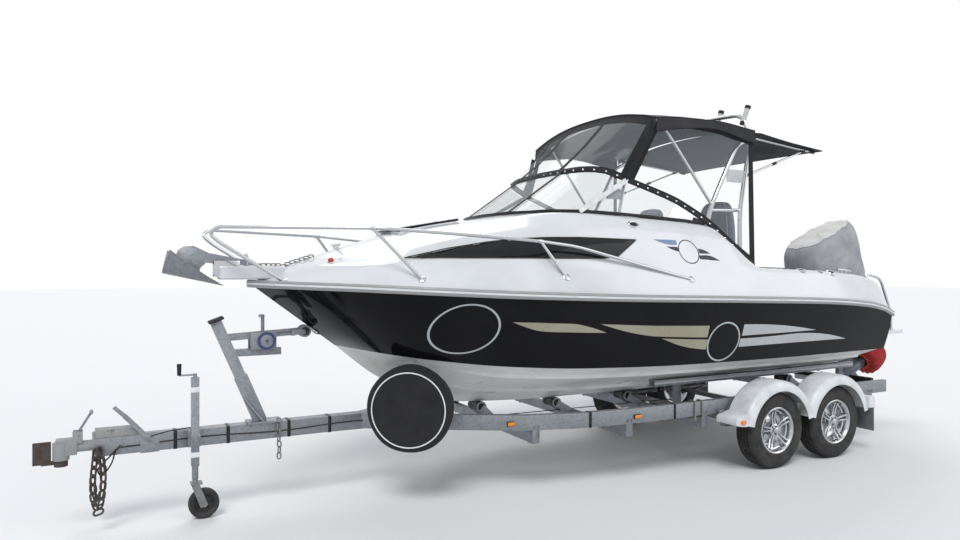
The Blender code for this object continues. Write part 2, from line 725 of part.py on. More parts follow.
# Canopy roof: columns x, half width, edge z, crown above the edge
ROOF = ((1.16, 0.90, 2.895, 0.13), (0.95, 0.92, 2.915, 0.135), (0.55, 0.93, 2.92, 0.13),
        (0.09, 0.93, 2.88, 0.12))
SHADE = ((-0.02, 0.90, 2.87, 0.09), (-0.45, 0.90, 2.815, 0.04), (-0.85, 0.88, 2.785, 0.01))
ROOF_ACROSS = 10


def bowed(x, half, edge, crown_height, count=ROOF_ACROSS):
    """Points from starboard to port along one bow of the roof: a flat arch with turned-down edges."""
    points = []
    for i in range(count + 1):
        v = -1 + 2 * i / count
        points.append((x, half * v, edge + crown_height * (1 - abs(v) ** 2.4)))
    return points


def cloth_loft(table, thickness):
    rings = []
    for x, half, edge, crown_height in table:
        top = bowed(x, half, edge, crown_height)
        rings.append(top + [(px, py, pz - thickness) for px, py, pz in top[::-1]])
    return loft(rings, "cloth")


def strip_sheet(lower, upper, thickness):
    """A thin sheet between two edges with matching points, thickened along its own normal."""
    lower, upper = np.array(lower), np.array(upper)
    along = np.gradient((lower + upper) / 2, axis=0)
    normal = np.cross(along, upper - lower)
    normal /= np.linalg.norm(normal, axis=1, keepdims=True)
    shift = normal * thickness / 2
    rings = [
        [tuple(a + s), tuple(b + s), tuple(b - s), tuple(a - s)]
        for a, b, s in zip(lower, upper, shift)
    ]
    return loft(rings, "sheet")


def roof_at(x, y):
    """Half width of the roof at a station, and the height of its underside at a place."""
    table = np.array(ROOF)[::-1]
    half, edge, crown_height = (np.interp(x, table[:, 0], table[:, i]) for i in (1, 2, 3))
    arch = bowed(x, half, edge, crown_height)
    return half, float(np.interp(y, [p[1] for p in arch], [p[2] for p in arch])) - CANVAS


def curtain_between(rail, roof_line, above):
    """A clear curtain from just above a stretch of the windscreen's rail up to the roof's underside."""
    lower = [(x, y, z + SCREEN_RAIL / 2 + above) for x, y, z in rail]
    upper = [(x, y, roof_at(x, y)[1] - 0.0022) for x, y in roof_line]
    return strip_sheet(lower, upper, CURTAIN)


def build_canopy(rail):
    """Canopy roof, awning aft of the arch, and clear curtains down to the windscreen's top rail."""
    finished("canopy_roof", cloth_loft(ROOF, CANVAS), CANVAS_CLOTH)
    finished("aft_shade", cloth_loft(SHADE, CANVAS * 0.5), CANVAS_CLOTH)
    corner = len(WING_RAIL) + MULLIONS[0][0]
    first = rail[corner] + (rail[corner + 1] - rail[corner]) * 0.06
    front_rail = whole_line(np.vstack([first, rail[corner + 1:]]))
    front_x = ROOF[0][0] - 0.004
    reach = ROOF[0][1] * 0.965
    front_roof = [(front_x, reach * v) for v in np.linspace(1, -1, len(front_rail))]
    finished("front_curtain", curtain_between(front_rail, front_roof, 0.0016), CLEAR_VINYL)
    side_rail = rail[:corner + 1]
    side_x = np.linspace(ROOF[-1][0] + 0.01, ROOF[0][0] - 0.012, len(side_rail))
    side_roof = [(x, roof_at(x, 0)[0] - 0.014) for x in side_x]
    port = curtain_between(side_rail, side_roof, 0.0008)
    starboard = mirrored(port)
    finished("side_curtain_port", port, CLEAR_VINYL)
    finished("side_curtain_starboard", starboard, CLEAR_VINYL)


TARGA_TUBE = 0.019
TARGA_HALF = 0.835
HOOP_X = 1.04


def build_targa(deck_tree):
    """Stainless arch: two legs a side, joined over the roof, with braces, stays and rod holders."""
    wide, y = TARGA_TUBE, TARGA_HALF
    foot_aft = (0.20, 0.865, surface_z(deck_tree, 0.20, 0.865) - 0.01)
    foot_fore = (0.545, y - 0.01, surface_z(deck_tree, 0.545, y - 0.01) - 0.01)
    aft = [foot_aft, (0.165, y, 2.2), (0.040, y, 2.80), (0.035, y - 0.07, 3.06)]
    arch = aft + [(0.04, 0.4, 3.085), (0.04, -0.4, 3.085)] + [(px, -py, pz) for px, py, pz in aft[::-1]]
    pieces = [tube(arch, wide, 0.12, 1)]
    hoop_y = (0.80, 0.5, 0.0, -0.5, -0.80)
    hoop = [(HOOP_X, v, roof_at(HOOP_X, v)[1] - wide * 0.7 - 0.0008) for v in hoop_y]
    pieces.append(tube(hoop, wide * 0.7, 0.1, 1))
    for side in (1, -1):
        out = side * y
        fore = [(foot_fore[0], side * foot_fore[1], foot_fore[2]), (0.50, out, 2.23), (0.20, out, 2.77),
                (0.045, out, 2.83)]
        pieces.append(tube(fore, wide, 0.10, 1))
        pieces.append(tube([(0.16, out, 2.2), (0.52, out, 2.19)], wide * 0.8, 0, 1))
        pieces.append(tube([(0.50, out, 2.24), (HOOP_X, side * 0.80, hoop[0][2])], wide * 0.7, 0, 1))
        pieces.append(tube([(0.03, out, 2.8474), (-0.78, out, 2.7744)], wide * 0.6, 0, 1))
        pieces.append(tube([(0.105, out, 2.50), (-0.66, out, 2.78)], wide * 0.5, 0, 1))
        pieces.append(block((0.10, out - 0.004, 2.44), (0.32, out + 0.004, 2.55)))
        pieces.append(rod((0.05, side * 0.76, 3.03), (0.00, side * 0.78, 3.20), 0.024, 10))
        pieces.append(rod((0.05, side * 0.45, 3.035), (0.00, side * 0.47, 3.215), 0.024, 10))
    finished("targa_arch", seated(joined(*pieces)), STAINLESS)


BOW_RAIL_TUBE = 0.0125


def build_bow_rails(deck_tree):
    """Stainless rail from an aft foot along the foredeck to a hairpin over the bow, with stanchions."""
    def foot(x, y):
        return (x, y, surface_z(deck_tree, x, y) + GAP)

    top = [foot(1.00, 1.12), (2.03, 1.045, 1.855), (2.33, 1.02, 1.888), (2.80, 0.93, 1.925),
           (3.42, 0.74, 1.968), (4.05, 0.42, 1.975), (4.36, 0.24, 1.978), (4.40, 0.20, 1.93), foot(3.72, 0.40)]
    pieces = [tube(top, BOW_RAIL_TUBE, 0.09, 1)]
    pieces.append(tube([(2.32, 1.02, 1.886), foot(2.15, 1.09)], BOW_RAIL_TUBE, 0, 1))
    pieces.append(tube([(3.46, 0.725, 1.968), foot(3.16, 0.87)], BOW_RAIL_TUBE, 0, 1))
    port = seated(joined(*pieces))
    starboard = mirrored(port)
    finished("bow_rail_port", port, STAINLESS)
    finished("bow_rail_starboard", starboard, STAINLESS)


BOWSPRIT_END = 4.36


def build_bow_fittings(deck_tree):
    aft = surface_z(deck_tree, 3.70, 0.0)
    plank = bar((3.78, 0, aft + 0.075), (BOWSPRIT_END, 0, aft + 0.005), 0.17, 0.035)
    foot = block((3.80, -0.05, aft - 0.10), (3.96, 0.05, aft + 0.05))
    lower = seated(foot)
    cheeks = [bar((4.12, side * 0.035, aft + 0.05), (4.38, side * 0.035, aft + 0.005), 0.008, 0.09) for side in (1, -1)]
    roller = rod((4.33, -0.04, aft + 0.02), (4.33, 0.04, aft + 0.02), 0.035)
    finished("bowsprit", joined(plank, lower, *cheeks, roller), STAINLESS)


def build_hatch(deck_tree):
    """Smoked lid on the foredeck, on a pin between two knuckles at its front edge."""
    front, aft = hatch_line(deck_tree)
    lid_pivot = pivot("foredeck_hatch_hinge", front)
    lid = bar(front + (aft - front) * 0.04, aft, 2 * HATCH_HALF + 0.044, LID_THICK)
    reach = HINGE_Y[0] - 0.012 - PIN_GAP
    pin = rod((front.x, -reach, front.z), (front.x, reach, front.z), 0.007, 10)
    strap = bar(front, front + (aft - front) * 0.06, 0.22, 0.008)
    finished("foredeck_hatch", joined(lid, strap, pin), TINTED, lid_pivot)


def build_helm():
    """Helm console under the dash with the wheel, and two bucket seats on boxes."""
    console = block((1.62, -0.74, 1.30), (COCKPIT_FRONT + BULKHEAD_SET - GAP, -0.31, 1.93))
    slope = block((1.40, -0.9, 1.72), (1.74, -0.2, 2.1))
    moved(slope, Matrix.Translation((1.62, 0, 1.80)) @ Matrix.Rotation(math.radians(-24), 4, "Y") @ Matrix.Translation((-1.62, 0, -1.80)))
    hub, lean = Vector((1.50, -0.52, 1.66)), math.radians(62)
    towards = Vector((-math.sin(lean), 0, math.cos(lean)))
    column = rod(hub - towards * 0.17, hub - towards * (0.085 + PIN_GAP), 0.03)
    finished("helm_console", joined(cut(console, slope), column), WHITE_GELCOAT)
    tilt = Matrix.Translation(hub) @ Matrix.Rotation(-lean, 4, "Y")
    hub_pivot = pivot("helm_wheel_axis", hub)
    rim = moved(torus(0.165, 0.014, 20, 8), tilt)
    spokes = [moved(rod((0, 0, 0), (0.163 * math.cos(a), 0.163 * math.sin(a), 0), 0.009, 8), tilt)
              for a in (math.radians(90), math.radians(210), math.radians(330))]
    boss = moved(rod((0, 0, -0.085), (0, 0, 0.015), 0.035), tilt)
    finished("helm_wheel", joined(rim, boss, *spokes), BLACK_PLASTIC, hub_pivot)
    for side, word in ((1, "port"), (-1, "starboard")):
        y = side * 0.45
        low = block((0.05, y - 0.22, SOLE_Z + GAP), (0.50, y + 0.22, 1.42))
        cushion = block((0.08, y - 0.23, 1.41), (0.56, y + 0.23, 1.53))
        back = block((0.02, y - 0.23, 1.50), (0.12, y + 0.23, 2.22))
        seat = joined(low, cushion, back)
        finished("helm_seat_" + word, seat, SEAT_VINYL)


def torus(major, minor, around, section, name="torus"):
    profile = [
        (major + minor * math.cos(2 * math.pi * i / section), minor * math.sin(2 * math.pi * i / section))
        for i in range(section)
    ]
    return turned(profile, around, name)


STEP_TOP = 1.09


def build_stern():
    """Engine pod bolted on the transom, a swim step each side of it, and the boarding rails."""
    pod_back = TILT_PIVOT[0] + 0.06
    outline = [(TRANSOM_X - GAP, 0.62), (TRANSOM_X - GAP, 1.16), (pod_back, 1.16), (pod_back, 0.76)]
    pod = side_prism(outline, -0.30, 0.30)
    steps = [
        block((-1.98, side * 0.61 - 0.33, STEP_TOP - 0.035), (TRANSOM_X - GAP, side * 0.61 + 0.33, STEP_TOP))
        for side in (1, -1)
    ]
    webs = [
        bar((TRANSOM_X - 0.01, side * 0.8, 0.95), (-1.9, side * 0.8, 1.06), 0.03, 0.06) for side in (1, -1)
    ]
    trimmed = joined(pod, *steps, *webs)
    behind = block((TRANSOM_X - GAP, -2, 0), (TRANSOM_X + 1, 2, 2))
    finished("engine_pod", cut(trimmed, behind), WHITE_GELCOAT, smooth=False)
    for side, word in ((1, "port"), (-1, "starboard")):
        rail = tube([(-1.45, side * 0.90, 1.45), (-1.47, side * 0.90, 1.64), (-1.68, side * 0.90, 1.60),
                     (-1.88, side * 0.88, 1.25), (-1.88, side * 0.88, STEP_TOP + GAP)], 0.0125, 0.06, 1)
        finished("stern_rail_" + word, seated(rail), STAINLESS)


def tilted(obj):
    """Turns a piece of the outboard from upright to its parked trim, about the tilt tube."""
    place = Matrix.Translation(TILT_PIVOT)
    return moved(obj, place @ Matrix.Rotation(TRIM_ANGLE, 4, "Y"))


def build_outboard():
    """Outboard in its own upright frame, origin on the tilt tube, then trimmed up as parked."""
    clamp = [block((-0.05, side * 0.135 - 0.012, -0.26), (0.058, side * 0.135 + 0.012, 0.06)) for side in (1, -1)]
    clamp_plate = block((0.035, -0.147, -0.26), (0.0595, 0.147, -0.04))
    bracket = joined(*clamp, clamp_plate)
    finished("transom_bracket", moved(bracket, Matrix.Translation(TILT_PIVOT)), ENGINE_PAINT)
    tilt_axis = pivot("outboard_tilt_axis", TILT_PIVOT)
    swivel = joined(rod((0, -0.1225, 0), (0, 0.1225, 0), 0.026, 16),
                    block((-0.13, -0.05, -0.30), (0.012, 0.05, 0.03)),
                    rod((STEER_OFFSET, 0, -0.32), (STEER_OFFSET, 0, 0.05), 0.055, 16))
    finished("swivel_bracket", tilted(swivel), ENGINE_PAINT, tilt_axis)
    turn = tilt_axis_matrix()
    steer_at = turn @ Vector((STEER_OFFSET, 0, 0))
    steer_axis = pivot("outboard_steer_axis", steer_at, tilt_axis)
    top_yoke = block((-0.34, -0.10, 0.0505), (-0.06, 0.10, 0.12))
    low_yoke = block((-0.34, -0.07, -0.39), (-0.06, 0.07, -0.3205))
    tower = shaped_leg()
    gearcase = moved(torpedo(), Matrix.Translation((0, 0, -PROP_SHAFT_DROP)))
    plate_z = ANTIVENT_UP - PROP_SHAFT_DROP
    plate_x = block((-0.62, -0.11, plate_z - 0.015), (-0.20, 0.11, plate_z))
    skeg = bar((-0.33, 0, -PROP_SHAFT_DROP - 0.05), (-0.40, 0, -PROP_SHAFT_DROP - 0.20), 0.012, 0.15)
    leg = joined(tower, top_yoke, low_yoke, gearcase, plate_x, skeg)
    finished("outboard_leg", tilted(leg), ENGINE_PAINT, steer_axis)
    engine = bevelled(block((-0.58, -0.17, 0.1205), (-0.04, 0.17, 0.66)), 0.05, 2)
    peak = block((-0.44, -0.07, 0.60), (-0.18, 0.07, 0.7935))
    finished("powerhead", tilted(joined(engine, peak)), ENGINE_PAINT, steer_axis)
    finished("engine_cover", tilted(cover_shell()), COVER_CLOTH, steer_axis)
    prop_at = turn @ Vector((-0.60, 0, -PROP_SHAFT_DROP))
    prop_axis = pivot("propeller_axis", prop_at, steer_axis)
    finished("propeller", tilted(propeller()), STAINLESS, prop_axis)
    bag = turned([(0.0, 0.30), (0.09, 0.29), (0.150, 0.22), (0.1735, 0.10), (0.1735, 0.0), (0.169, -0.03),
                  (0.163, -0.03), (0.1676, 0.0), (0.1676, 0.10), (0.144, 0.215), (0.087, 0.283), (0.0, 0.293)], 20)
    moved(bag, Matrix.Translation((-0.60, 0, -PROP_SHAFT_DROP)) @ Matrix.Rotation(math.radians(-90), 4, "Y"))
    finished("prop_bag", tilted(bag), RED_CLOTH, prop_axis)


def tilt_axis_matrix():
    return Matrix.Translation(TILT_PIVOT) @ Matrix.Rotation(TRIM_ANGLE, 4, "Y")


def shaped_leg():
    """Midsection: a tapering oval tower from the powerhead down to the torpedo."""
    # columns: height, front x, back x, half width
    table = ((0.12, -0.02, -0.52, 0.13), (0.05, -0.17, -0.50, 0.115), (-0.10, -0.175, -0.46, 0.095),
             (-0.35, -0.18, -0.45, 0.085), (ANTIVENT_UP + 0.04 - PROP_SHAFT_DROP, -0.19, -0.48, 0.07),
             (ANTIVENT_UP - 0.02 - PROP_SHAFT_DROP, -0.20, -0.50, 0.05),
             (-0.01 - PROP_SHAFT_DROP, -0.22, -0.46, 0.035))
    rings = []
    for z, front, back, half in table:
        middle, reach = (front + back) / 2, (front - back) / 2
        rings.append([
            (middle + reach * math.cos(a), half * math.sin(a), z)
            for a in np.linspace(0, 2 * math.pi, 14, endpoint=False)
        ])
    return loft(rings, "leg")


def torpedo():
    # columns: distance along the shaft, radius
    profile = [(0.0, 0.0), (0.02, 0.028), (0.08, 0.052), (0.18, 0.062), (0.34, 0.060), (0.418, 0.050), (0.418, 0.0)]
    body = turned([(r, -s) for s, r in profile], 14)
    turn = Matrix.Translation((-0.17, 0, 0)) @ Matrix.Rotation(math.radians(90), 4, "Y")
    return moved(body, turn)


def propeller():
    """Three raked blades on a hub, behind the torpedo."""
    hub = rod((-0.5885, 0, -PROP_SHAFT_DROP), (-0.72, 0, -PROP_SHAFT_DROP), 0.05, 16, 0.035)
    blades = []
    for i in range(3):
        outline = [(0.03, -0.045), (0.08, -0.08), (0.135, -0.065), (0.165, 0.0), (0.135, 0.055), (0.08, 0.055),
                   (0.03, 0.035)]
        blade = plate(outline, 0.008, Matrix.Identity(4))
        moved(blade, Matrix.Rotation(math.radians(30), 4, "X"))
        moved(blade, Matrix.Rotation(math.radians(90), 4, "Z") @ Matrix.Rotation(math.radians(90), 4, "X"))
        moved(blade, Matrix.Rotation(math.radians(120 * i), 4, "X"))
        moved(blade, Matrix.Translation((-0.655, 0, -PROP_SHAFT_DROP)))
        blades.append(blade)
    return joined(hub, *blades)


def bevelled(obj, width, segments):
    bevel = obj.modifiers.new("edges", "BEVEL")
    bevel.width = width
    bevel.segments = segments
    bevel.limit_method = "ANGLE"
    return obj


def cover_shell():
    """Fabric cover over the powerhead: an open-bottomed shell that clears the engine all round."""
    # columns: height, front x, back x, half width
    outer = ((0.13, 0.05, -0.71, 0.24), (0.30, 0.06, -0.72, 0.245), (0.55, 0.05, -0.70, 0.24),
             (0.70, 0.03, -0.66, 0.22), (0.775, -0.04, -0.58, 0.17), (0.80, -0.12, -0.50, 0.11))
    wall = 0.006

    def rings_of(rows, grow, top):
        rings = []
        for z, front, back, half in rows:
            middle, reach = (front + back) / 2, (front - back) / 2 + grow
            ring_points = []
            for a in np.linspace(0, 2 * math.pi, 20, endpoint=False):
                c, s = math.cos(a), math.sin(a)
                u = math.copysign(abs(c) ** 0.6, c) * reach
                v = math.copysign(abs(s) ** 0.6, s) * (half + grow)
                ring_points.append((middle + u, v, z + (top if z > 0.69 else 0)))
            rings.append(ring_points)
        return rings

    shell = loft(rings_of(outer, 0.0, 0.0), "cover")
    inner_rows = ((0.0, *outer[0][1:]), *outer[1:])
    hollow = loft(rings_of(inner_rows, -wall, -wall), "cover_inside")
    return cut(shell, hollow)


# Trailer: the side rail's path in plan, from its aft end to where it meets the drawbar
RAIL_PATH = ((-1.80, RAIL_Y), (0.90, RAIL_Y), (1.40, RAIL_Y - 0.015), (1.85, RAIL_Y - 0.07), (2.25, RAIL_Y - 0.19),
             (2.66, 0.43), (3.30, 0.03))
CROSS_X = (-1.55, 0.62, 1.40, 2.17)
CROSS_TALL = 0.075


ROLLER_RADIUS = 0.045
ROLLER_X = (-1.40, 0.78, 1.56, 2.30)
SKID_Y = 0.55
SKID_TALL = 0.05
SKID_HALF = 0.035


def keel_roller(x):
    """A waisted roller under the keel, on the axis between its two brackets."""
    r, half = ROLLER_RADIUS, 0.085
    waisted = [(0.0, -half), (r, -half), (r, -half / 2), (r * 0.8, 0.0), (r, half / 2), (r, half), (0.0, half)]
    roller = turned(waisted, 14)
    place = Matrix.Translation((x, 0, keel_height(x) - r * 0.8 - 0.0008))
    return moved(roller, place @ Matrix.Rotation(math.radians(90), 4, "X"))


# Spare wheel: middle of its outer face, how far it is toed towards the bow
SPARE_FACE = (3.165, 0.63, 0.705)
SPARE_TOE = math.radians(34.2)
SPARE_RADIUS = 0.311
SPARE_THICK = 0.165


def spare_outwards():
    return Vector((math.sin(SPARE_TOE), math.cos(SPARE_TOE), 0))


def build_chassis():
    top, bottom = RAIL_BOTTOM + RAIL_TALL, RAIL_BOTTOM
    half = RAIL_WIDE / 2
    profile = [(-half, bottom), (half, bottom), (half, top), (-half, top)]
    pieces = []
    for side in (1, -1):
        path = [(x, side * y, 0) for x, y in RAIL_PATH]
        pieces.append(sweep(path, profile))
    pieces.append(block((3.05, -BEAM_WIDE / 2, bottom), (DRAWBAR_FRONT, BEAM_WIDE / 2, top)))
    low = bottom - CROSS_TALL + 0.005
    for x in CROSS_X:
        y = float(line_at(RAIL_PATH, [x])[0][1])
        pieces.append(block((x - 0.025, -y, low - 0.03), (x + 0.025, y, low + CROSS_TALL - 0.03)))
        for side in (1, -1):
            pieces.append(block((x - 0.03, side * y - 0.02, low - 0.03), (x + 0.03, side * y + 0.02, bottom + 0.01)))
    for x, base in zip(ROLLER_X, CROSS_X):
        z = keel_height(x) - ROLLER_RADIUS * 0.8
        pieces.append(keel_roller(x))
        for side in (1, -1):
            pieces.append(bar((base, side * 0.085, low + 0.02), (x, side * 0.085, z - 0.004), 0.010, 0.06))
    for side in (1, -1):
        pieces.append(skid(side))
        for x in CROSS_X[:2]:
            z = skid_height(x) - SKID_TALL / 2
            pieces.append(block((x - 0.03, side * SKID_Y - 0.02, low), (x + 0.03, side * SKID_Y + 0.02, z)))
    pieces.append(block((4.72, BEAM_WIDE / 2 - 0.01, top - 0.12), (4.835, BEAM_WIDE / 2 + 0.008, top + 0.012)))
    back = Vector(SPARE_FACE) - spare_outwards() * (SPARE_THICK + GAP)
    arm_end = Vector((back.x, back.y, bottom + RAIL_TALL / 2))
    pieces.append(bar(arm_end - spare_outwards() * 0.27, arm_end, 0.06, 0.09))
    carrier = block((-0.07, -0.012, -0.05), (0.07, 0.0, 0.28))
    pieces.append(moved(carrier, Matrix.Translation(arm_end) @ Matrix.Rotation(-SPARE_TOE, 4, "Z")))
    return finished("chassis", joined(*pieces), GALVANISED, smooth=False)


def skid_height(x):
    """Top of the skid under the hull's bottom, level across its width."""
    return bottom_height(max(x, TRANSOM_X), SKID_Y - SKID_HALF) - 0.0006


def skid(side):
    """A skid under the bottom at one side of the keel, on the posts of the two aft crossmembers."""
    rings = []
    for x in (-1.72, -1.55, -1.0, -0.4, 0.1, 0.62, 0.9):
        top, y = skid_height(x), side * SKID_Y
        rings.append([(x, y - SKID_HALF, top), (x, y + SKID_HALF, top),
                      (x, y + SKID_HALF, top - SKID_TALL), (x, y - SKID_HALF, top - SKID_TALL)])
    return loft(rings, "skid")


def build_axles():
    """Two beam axles with slipper springs and stub hubs, and the hangers that carry them."""
    hub_y = WHEEL_FACE_Y - TYRE_WIDTH - 0.012
    stub_y = WHEEL_FACE_Y - TYRE_WIDTH / 2 + HUB_INSET - PIN_GAP
    spring_y = RAIL_Y - 0.06
    spring_z = TYRE_RADIUS + 0.03
    for x, word in ((0.0, "front"), (-AXLE_SPREAD, "rear")):
        pieces = [bar((x, -hub_y, TYRE_RADIUS), (x, hub_y, TYRE_RADIUS), 0.045, 0.045)]
        for side in (1, -1):
            y = side * spring_y
            pieces.append(rod((x, side * (hub_y - 0.03), TYRE_RADIUS), (x, side * stub_y, TYRE_RADIUS), 0.04, 14))
            pieces.append(bar((x - 0.33, y, spring_z), (x + 0.33, y, spring_z), 0.06, 0.03))
            for end in (-0.31, 0.31):
                hanger_x = x + end
                pieces.append(block((hanger_x - 0.018, y - 0.03, spring_z), (hanger_x + 0.018, y + 0.03, 0.44)))
            shoe_low, shoe_high = sorted((side * (RAIL_Y - 0.08), side * (RAIL_Y - 0.01)))
            pieces.append(block((x - 0.34, shoe_low, 0.43), (x + 0.34, shoe_high, RAIL_BOTTOM - GAP)))
        finished("axle_" + word, joined(*pieces), GALVANISED, smooth=False)


def build_wheels():
    """Tyres and alloy rims, each pair on its own axis."""
    w = TYRE_WIDTH / 2
    bead = RIM_RADIUS + GAP
    tread = [(bead, -w * 0.86), (0.215, -w), (0.26, -w), (0.30, -w * 0.93), (0.32, -w * 0.75), (TYRE_RADIUS, -w * 0.3),
             (TYRE_RADIUS, w * 0.3), (0.32, w * 0.75), (0.30, w * 0.93), (0.26, w), (0.215, w), (bead, w * 0.86)]
    r = RIM_RADIUS
    barrel = [(r, -w * 0.9), (r, w * 0.9), (r - 0.012, w * 0.9), (r - 0.02, w * 0.6), (r - 0.02, -w * 0.9)]
    for x, place in ((0.0, "front"), (-AXLE_SPREAD, "rear")):
        for side, word in ((1, "port"), (-1, "starboard")):
            centre_y = side * (WHEEL_FACE_Y - w)
            axis = pivot(f"wheel_axis_{place}_{word}", (x, centre_y, TYRE_RADIUS))
            lie = Matrix.Translation((x, centre_y, TYRE_RADIUS)) @ Matrix.Rotation(math.radians(-90 * side), 4, "X")
            tyre = moved(turned(tread, WHEEL_STEPS), lie)
            finished(f"tyre_{place}_{word}", tyre, RUBBER, axis)
            spokes = []
            for i in range(5):
                angle = math.radians(72 * i)
                spoke = bar((0.02, 0, w * 0.55), (r - 0.008, 0, w * 0.78), 0.055, 0.02)
                spokes.append(moved(spoke, Matrix.Rotation(angle, 4, "Z")))
            hub = rod((0, 0, HUB_INSET), (0, 0, w * 0.70), 0.055, 16)
            rim = moved(joined(turned(barrel, WHEEL_STEPS), hub, *spokes), lie)
            finished(f"rim_{place}_{word}", rim, ALLOY, axis)


# Mudguard arches: axle, where each starts and ends as degrees round from the front
ARCHES = ((0.0, 12, 168), (-AXLE_SPREAD, 12, 168))
ARCH_RADIUS = TYRE_RADIUS + 0.10
GUARD_CLEAR = 0.02
GUARD_INNER = RAIL_Y + RAIL_WIDE / 2 + GUARD_CLEAR
GUARD_WALL = 0.005
ARCH_STEPS = 9


def build_guards():
    """White plastic double mudguards, round-edged, with a step at the front, on brackets from the rail."""
    width, wall = GUARD_WIDTH, GUARD_WALL
    # Section across the arch: distance from its inner edge, drop below its crown
    crown_side = ((0.0, 0.018), (0.022, 0.0), (width - 0.055, 0.0), (width - 0.016, 0.016), (width, 0.055),
                  (width, 0.085))
    under_side = ((width - wall, 0.085), (width - wall, 0.058), (width - 0.02, 0.022), (width - 0.057, wall),
                  (0.024, wall), (0.0, 0.018 + wall * 1.3))
    for side, word in ((1, "port"), (-1, "starboard")):
        pieces = []
        for axle_x, start, end in ARCHES:
            rings = []
            for angle in np.radians(np.linspace(start, end, ARCH_STEPS)):
                rings.append([
                    (axle_x + (ARCH_RADIUS - drop) * math.cos(angle), side * (GUARD_INNER + across),
                     TYRE_RADIUS + (ARCH_RADIUS - drop) * math.sin(angle))
                    for across, drop in crown_side + under_side
                ])
            pieces.append(loft(rings, "arch"))
        reach = ARCH_RADIUS * math.cos(math.radians(ARCHES[0][1]))
        foot_z = TYRE_RADIUS + ARCH_RADIUS * math.sin(math.radians(ARCHES[0][1]))
        outer = GUARD_INNER + width
        low_y, high_y = sorted((side * GUARD_INNER, side * (outer - 0.004)))
        step = side_prism([(reach - 0.006, foot_z), (0.735, foot_z + 0.015), (0.735, foot_z + 0.07),
                           (0.70, foot_z + 0.095), (reach - 0.03, foot_z + 0.12)], low_y, high_y)
        corner = block((0.0, -0.2, 0.0), (0.2, 0.2, 1.0))
        turn = Matrix.Rotation(side * math.radians(45), 4, "Z")
        step = cut(step, moved(corner, Matrix.Translation((0.70, side * outer, 0)) @ turn))
        rear = -AXLE_SPREAD - reach
        heel = block((rear - 0.075, low_y, foot_z), (rear + 0.006, high_y, foot_z + 0.11))
        valley_y = sorted((side * GUARD_INNER, side * (GUARD_INNER + 0.12)))
        valley = block((-AXLE_SPREAD + reach - 0.01, valley_y[0], foot_z),
                       (-reach + 0.01, valley_y[1], foot_z + 0.10))
        bracket_y = sorted((side * (RAIL_PATH[0][1] + RAIL_WIDE / 2 + GAP), side * (GUARD_INNER + 0.01)))
        brackets = [
            block((x - 0.03, bracket_y[0], RAIL_BOTTOM + 0.01), (x + 0.03, bracket_y[1], foot_z + 0.095))
            for x in (0.52, -AXLE_SPREAD / 2, rear - 0.035)
        ]
        pieces += [step, heel, valley, *brackets]
        finished("guards_" + word, joined(*pieces), WHITE_PLASTIC)


def build_winch_post():
    foot = (POST_X, 0, RAIL_BOTTOM + RAIL_TALL + GAP)
    top = (POST_X + 0.31, 0, 1.33)
    post = bar((foot[0], 0, foot[2]), top, 0.05, 0.075)
    base = block((POST_X - 0.14, -0.075, foot[2]), (POST_X + 0.10, 0.075, foot[2] + 0.012))
    sleeve = bar((foot[0] + 0.005, 0, foot[2] + 0.01), (POST_X + 0.14, 0, 0.93), 0.062, 0.09)
    arm = bar((POST_X + 0.22, 0, 1.10), (POST_X - 0.14, 0, 1.10), 0.05, 0.05)
    roller_arm = bar((POST_X + 0.26, 0, 1.21), (BOW_ROLLER[0] + 0.02, 0, BOW_ROLLER[2]), 0.024, 0.05)
    fork = [bar((BOW_ROLLER[0] + 0.10, side * 0.042, BOW_ROLLER[2] - 0.008), (BOW_ROLLER[0], side * 0.042, BOW_ROLLER[2]), 0.008, 0.04) for side in (1, -1)]
    cross = block((BOW_ROLLER[0] + 0.075, -0.046, BOW_ROLLER[2] - 0.03), (BOW_ROLLER[0] + 0.10, 0.046, BOW_ROLLER[2] + 0.015))
    brace = rod((POST_X - 0.01, 0.05, foot[2] + 0.01), (POST_X + 0.12, 0.05, 0.78), 0.009, 8)
    brace_pin = rod((POST_X + 0.12, 0.0, 0.78), (POST_X + 0.12, 0.055, 0.78), 0.009, 8)
    cheeks = [block((POST_X - 0.10, side * 0.05 - 0.005, 1.12), (POST_X + 0.08, side * 0.05 + 0.005, 1.24))
              for side in (1, -1)]
    drum = rod((POST_X - 0.03, -0.10, 1.18), (POST_X - 0.03, 0.07, 1.18), 0.045, 14)
    crank = bar((POST_X - 0.03, -0.095, 1.18), (POST_X - 0.03, -0.095, 1.36), 0.01, 0.025)
    grip = rod((POST_X - 0.03, -0.09, 1.345), (POST_X - 0.03, -0.19, 1.345), 0.014)
    roller = turned([(0.0, -0.039), (0.045, -0.039), (0.045, 0.039), (0.0, 0.039)], 14)
    moved(roller, Matrix.Translation(BOW_ROLLER) @ Matrix.Rotation(math.radians(90), 4, "X"))
    pieces = (post, base, sleeve, arm, roller_arm, *fork, cross, brace, brace_pin, *cheeks, drum, crank,
              grip, roller)
    below = block((POST_X - 0.5, -0.3, 0.0), (POST_X + 0.5, 0.3, foot[2]))
    finished("winch_post", cut(joined(*pieces), below), GALVANISED, smooth=False)


BOW_ROLLER = (3.7398, 0.0, 1.2370)
CHAIN_X = 5.02
LINKS = 7


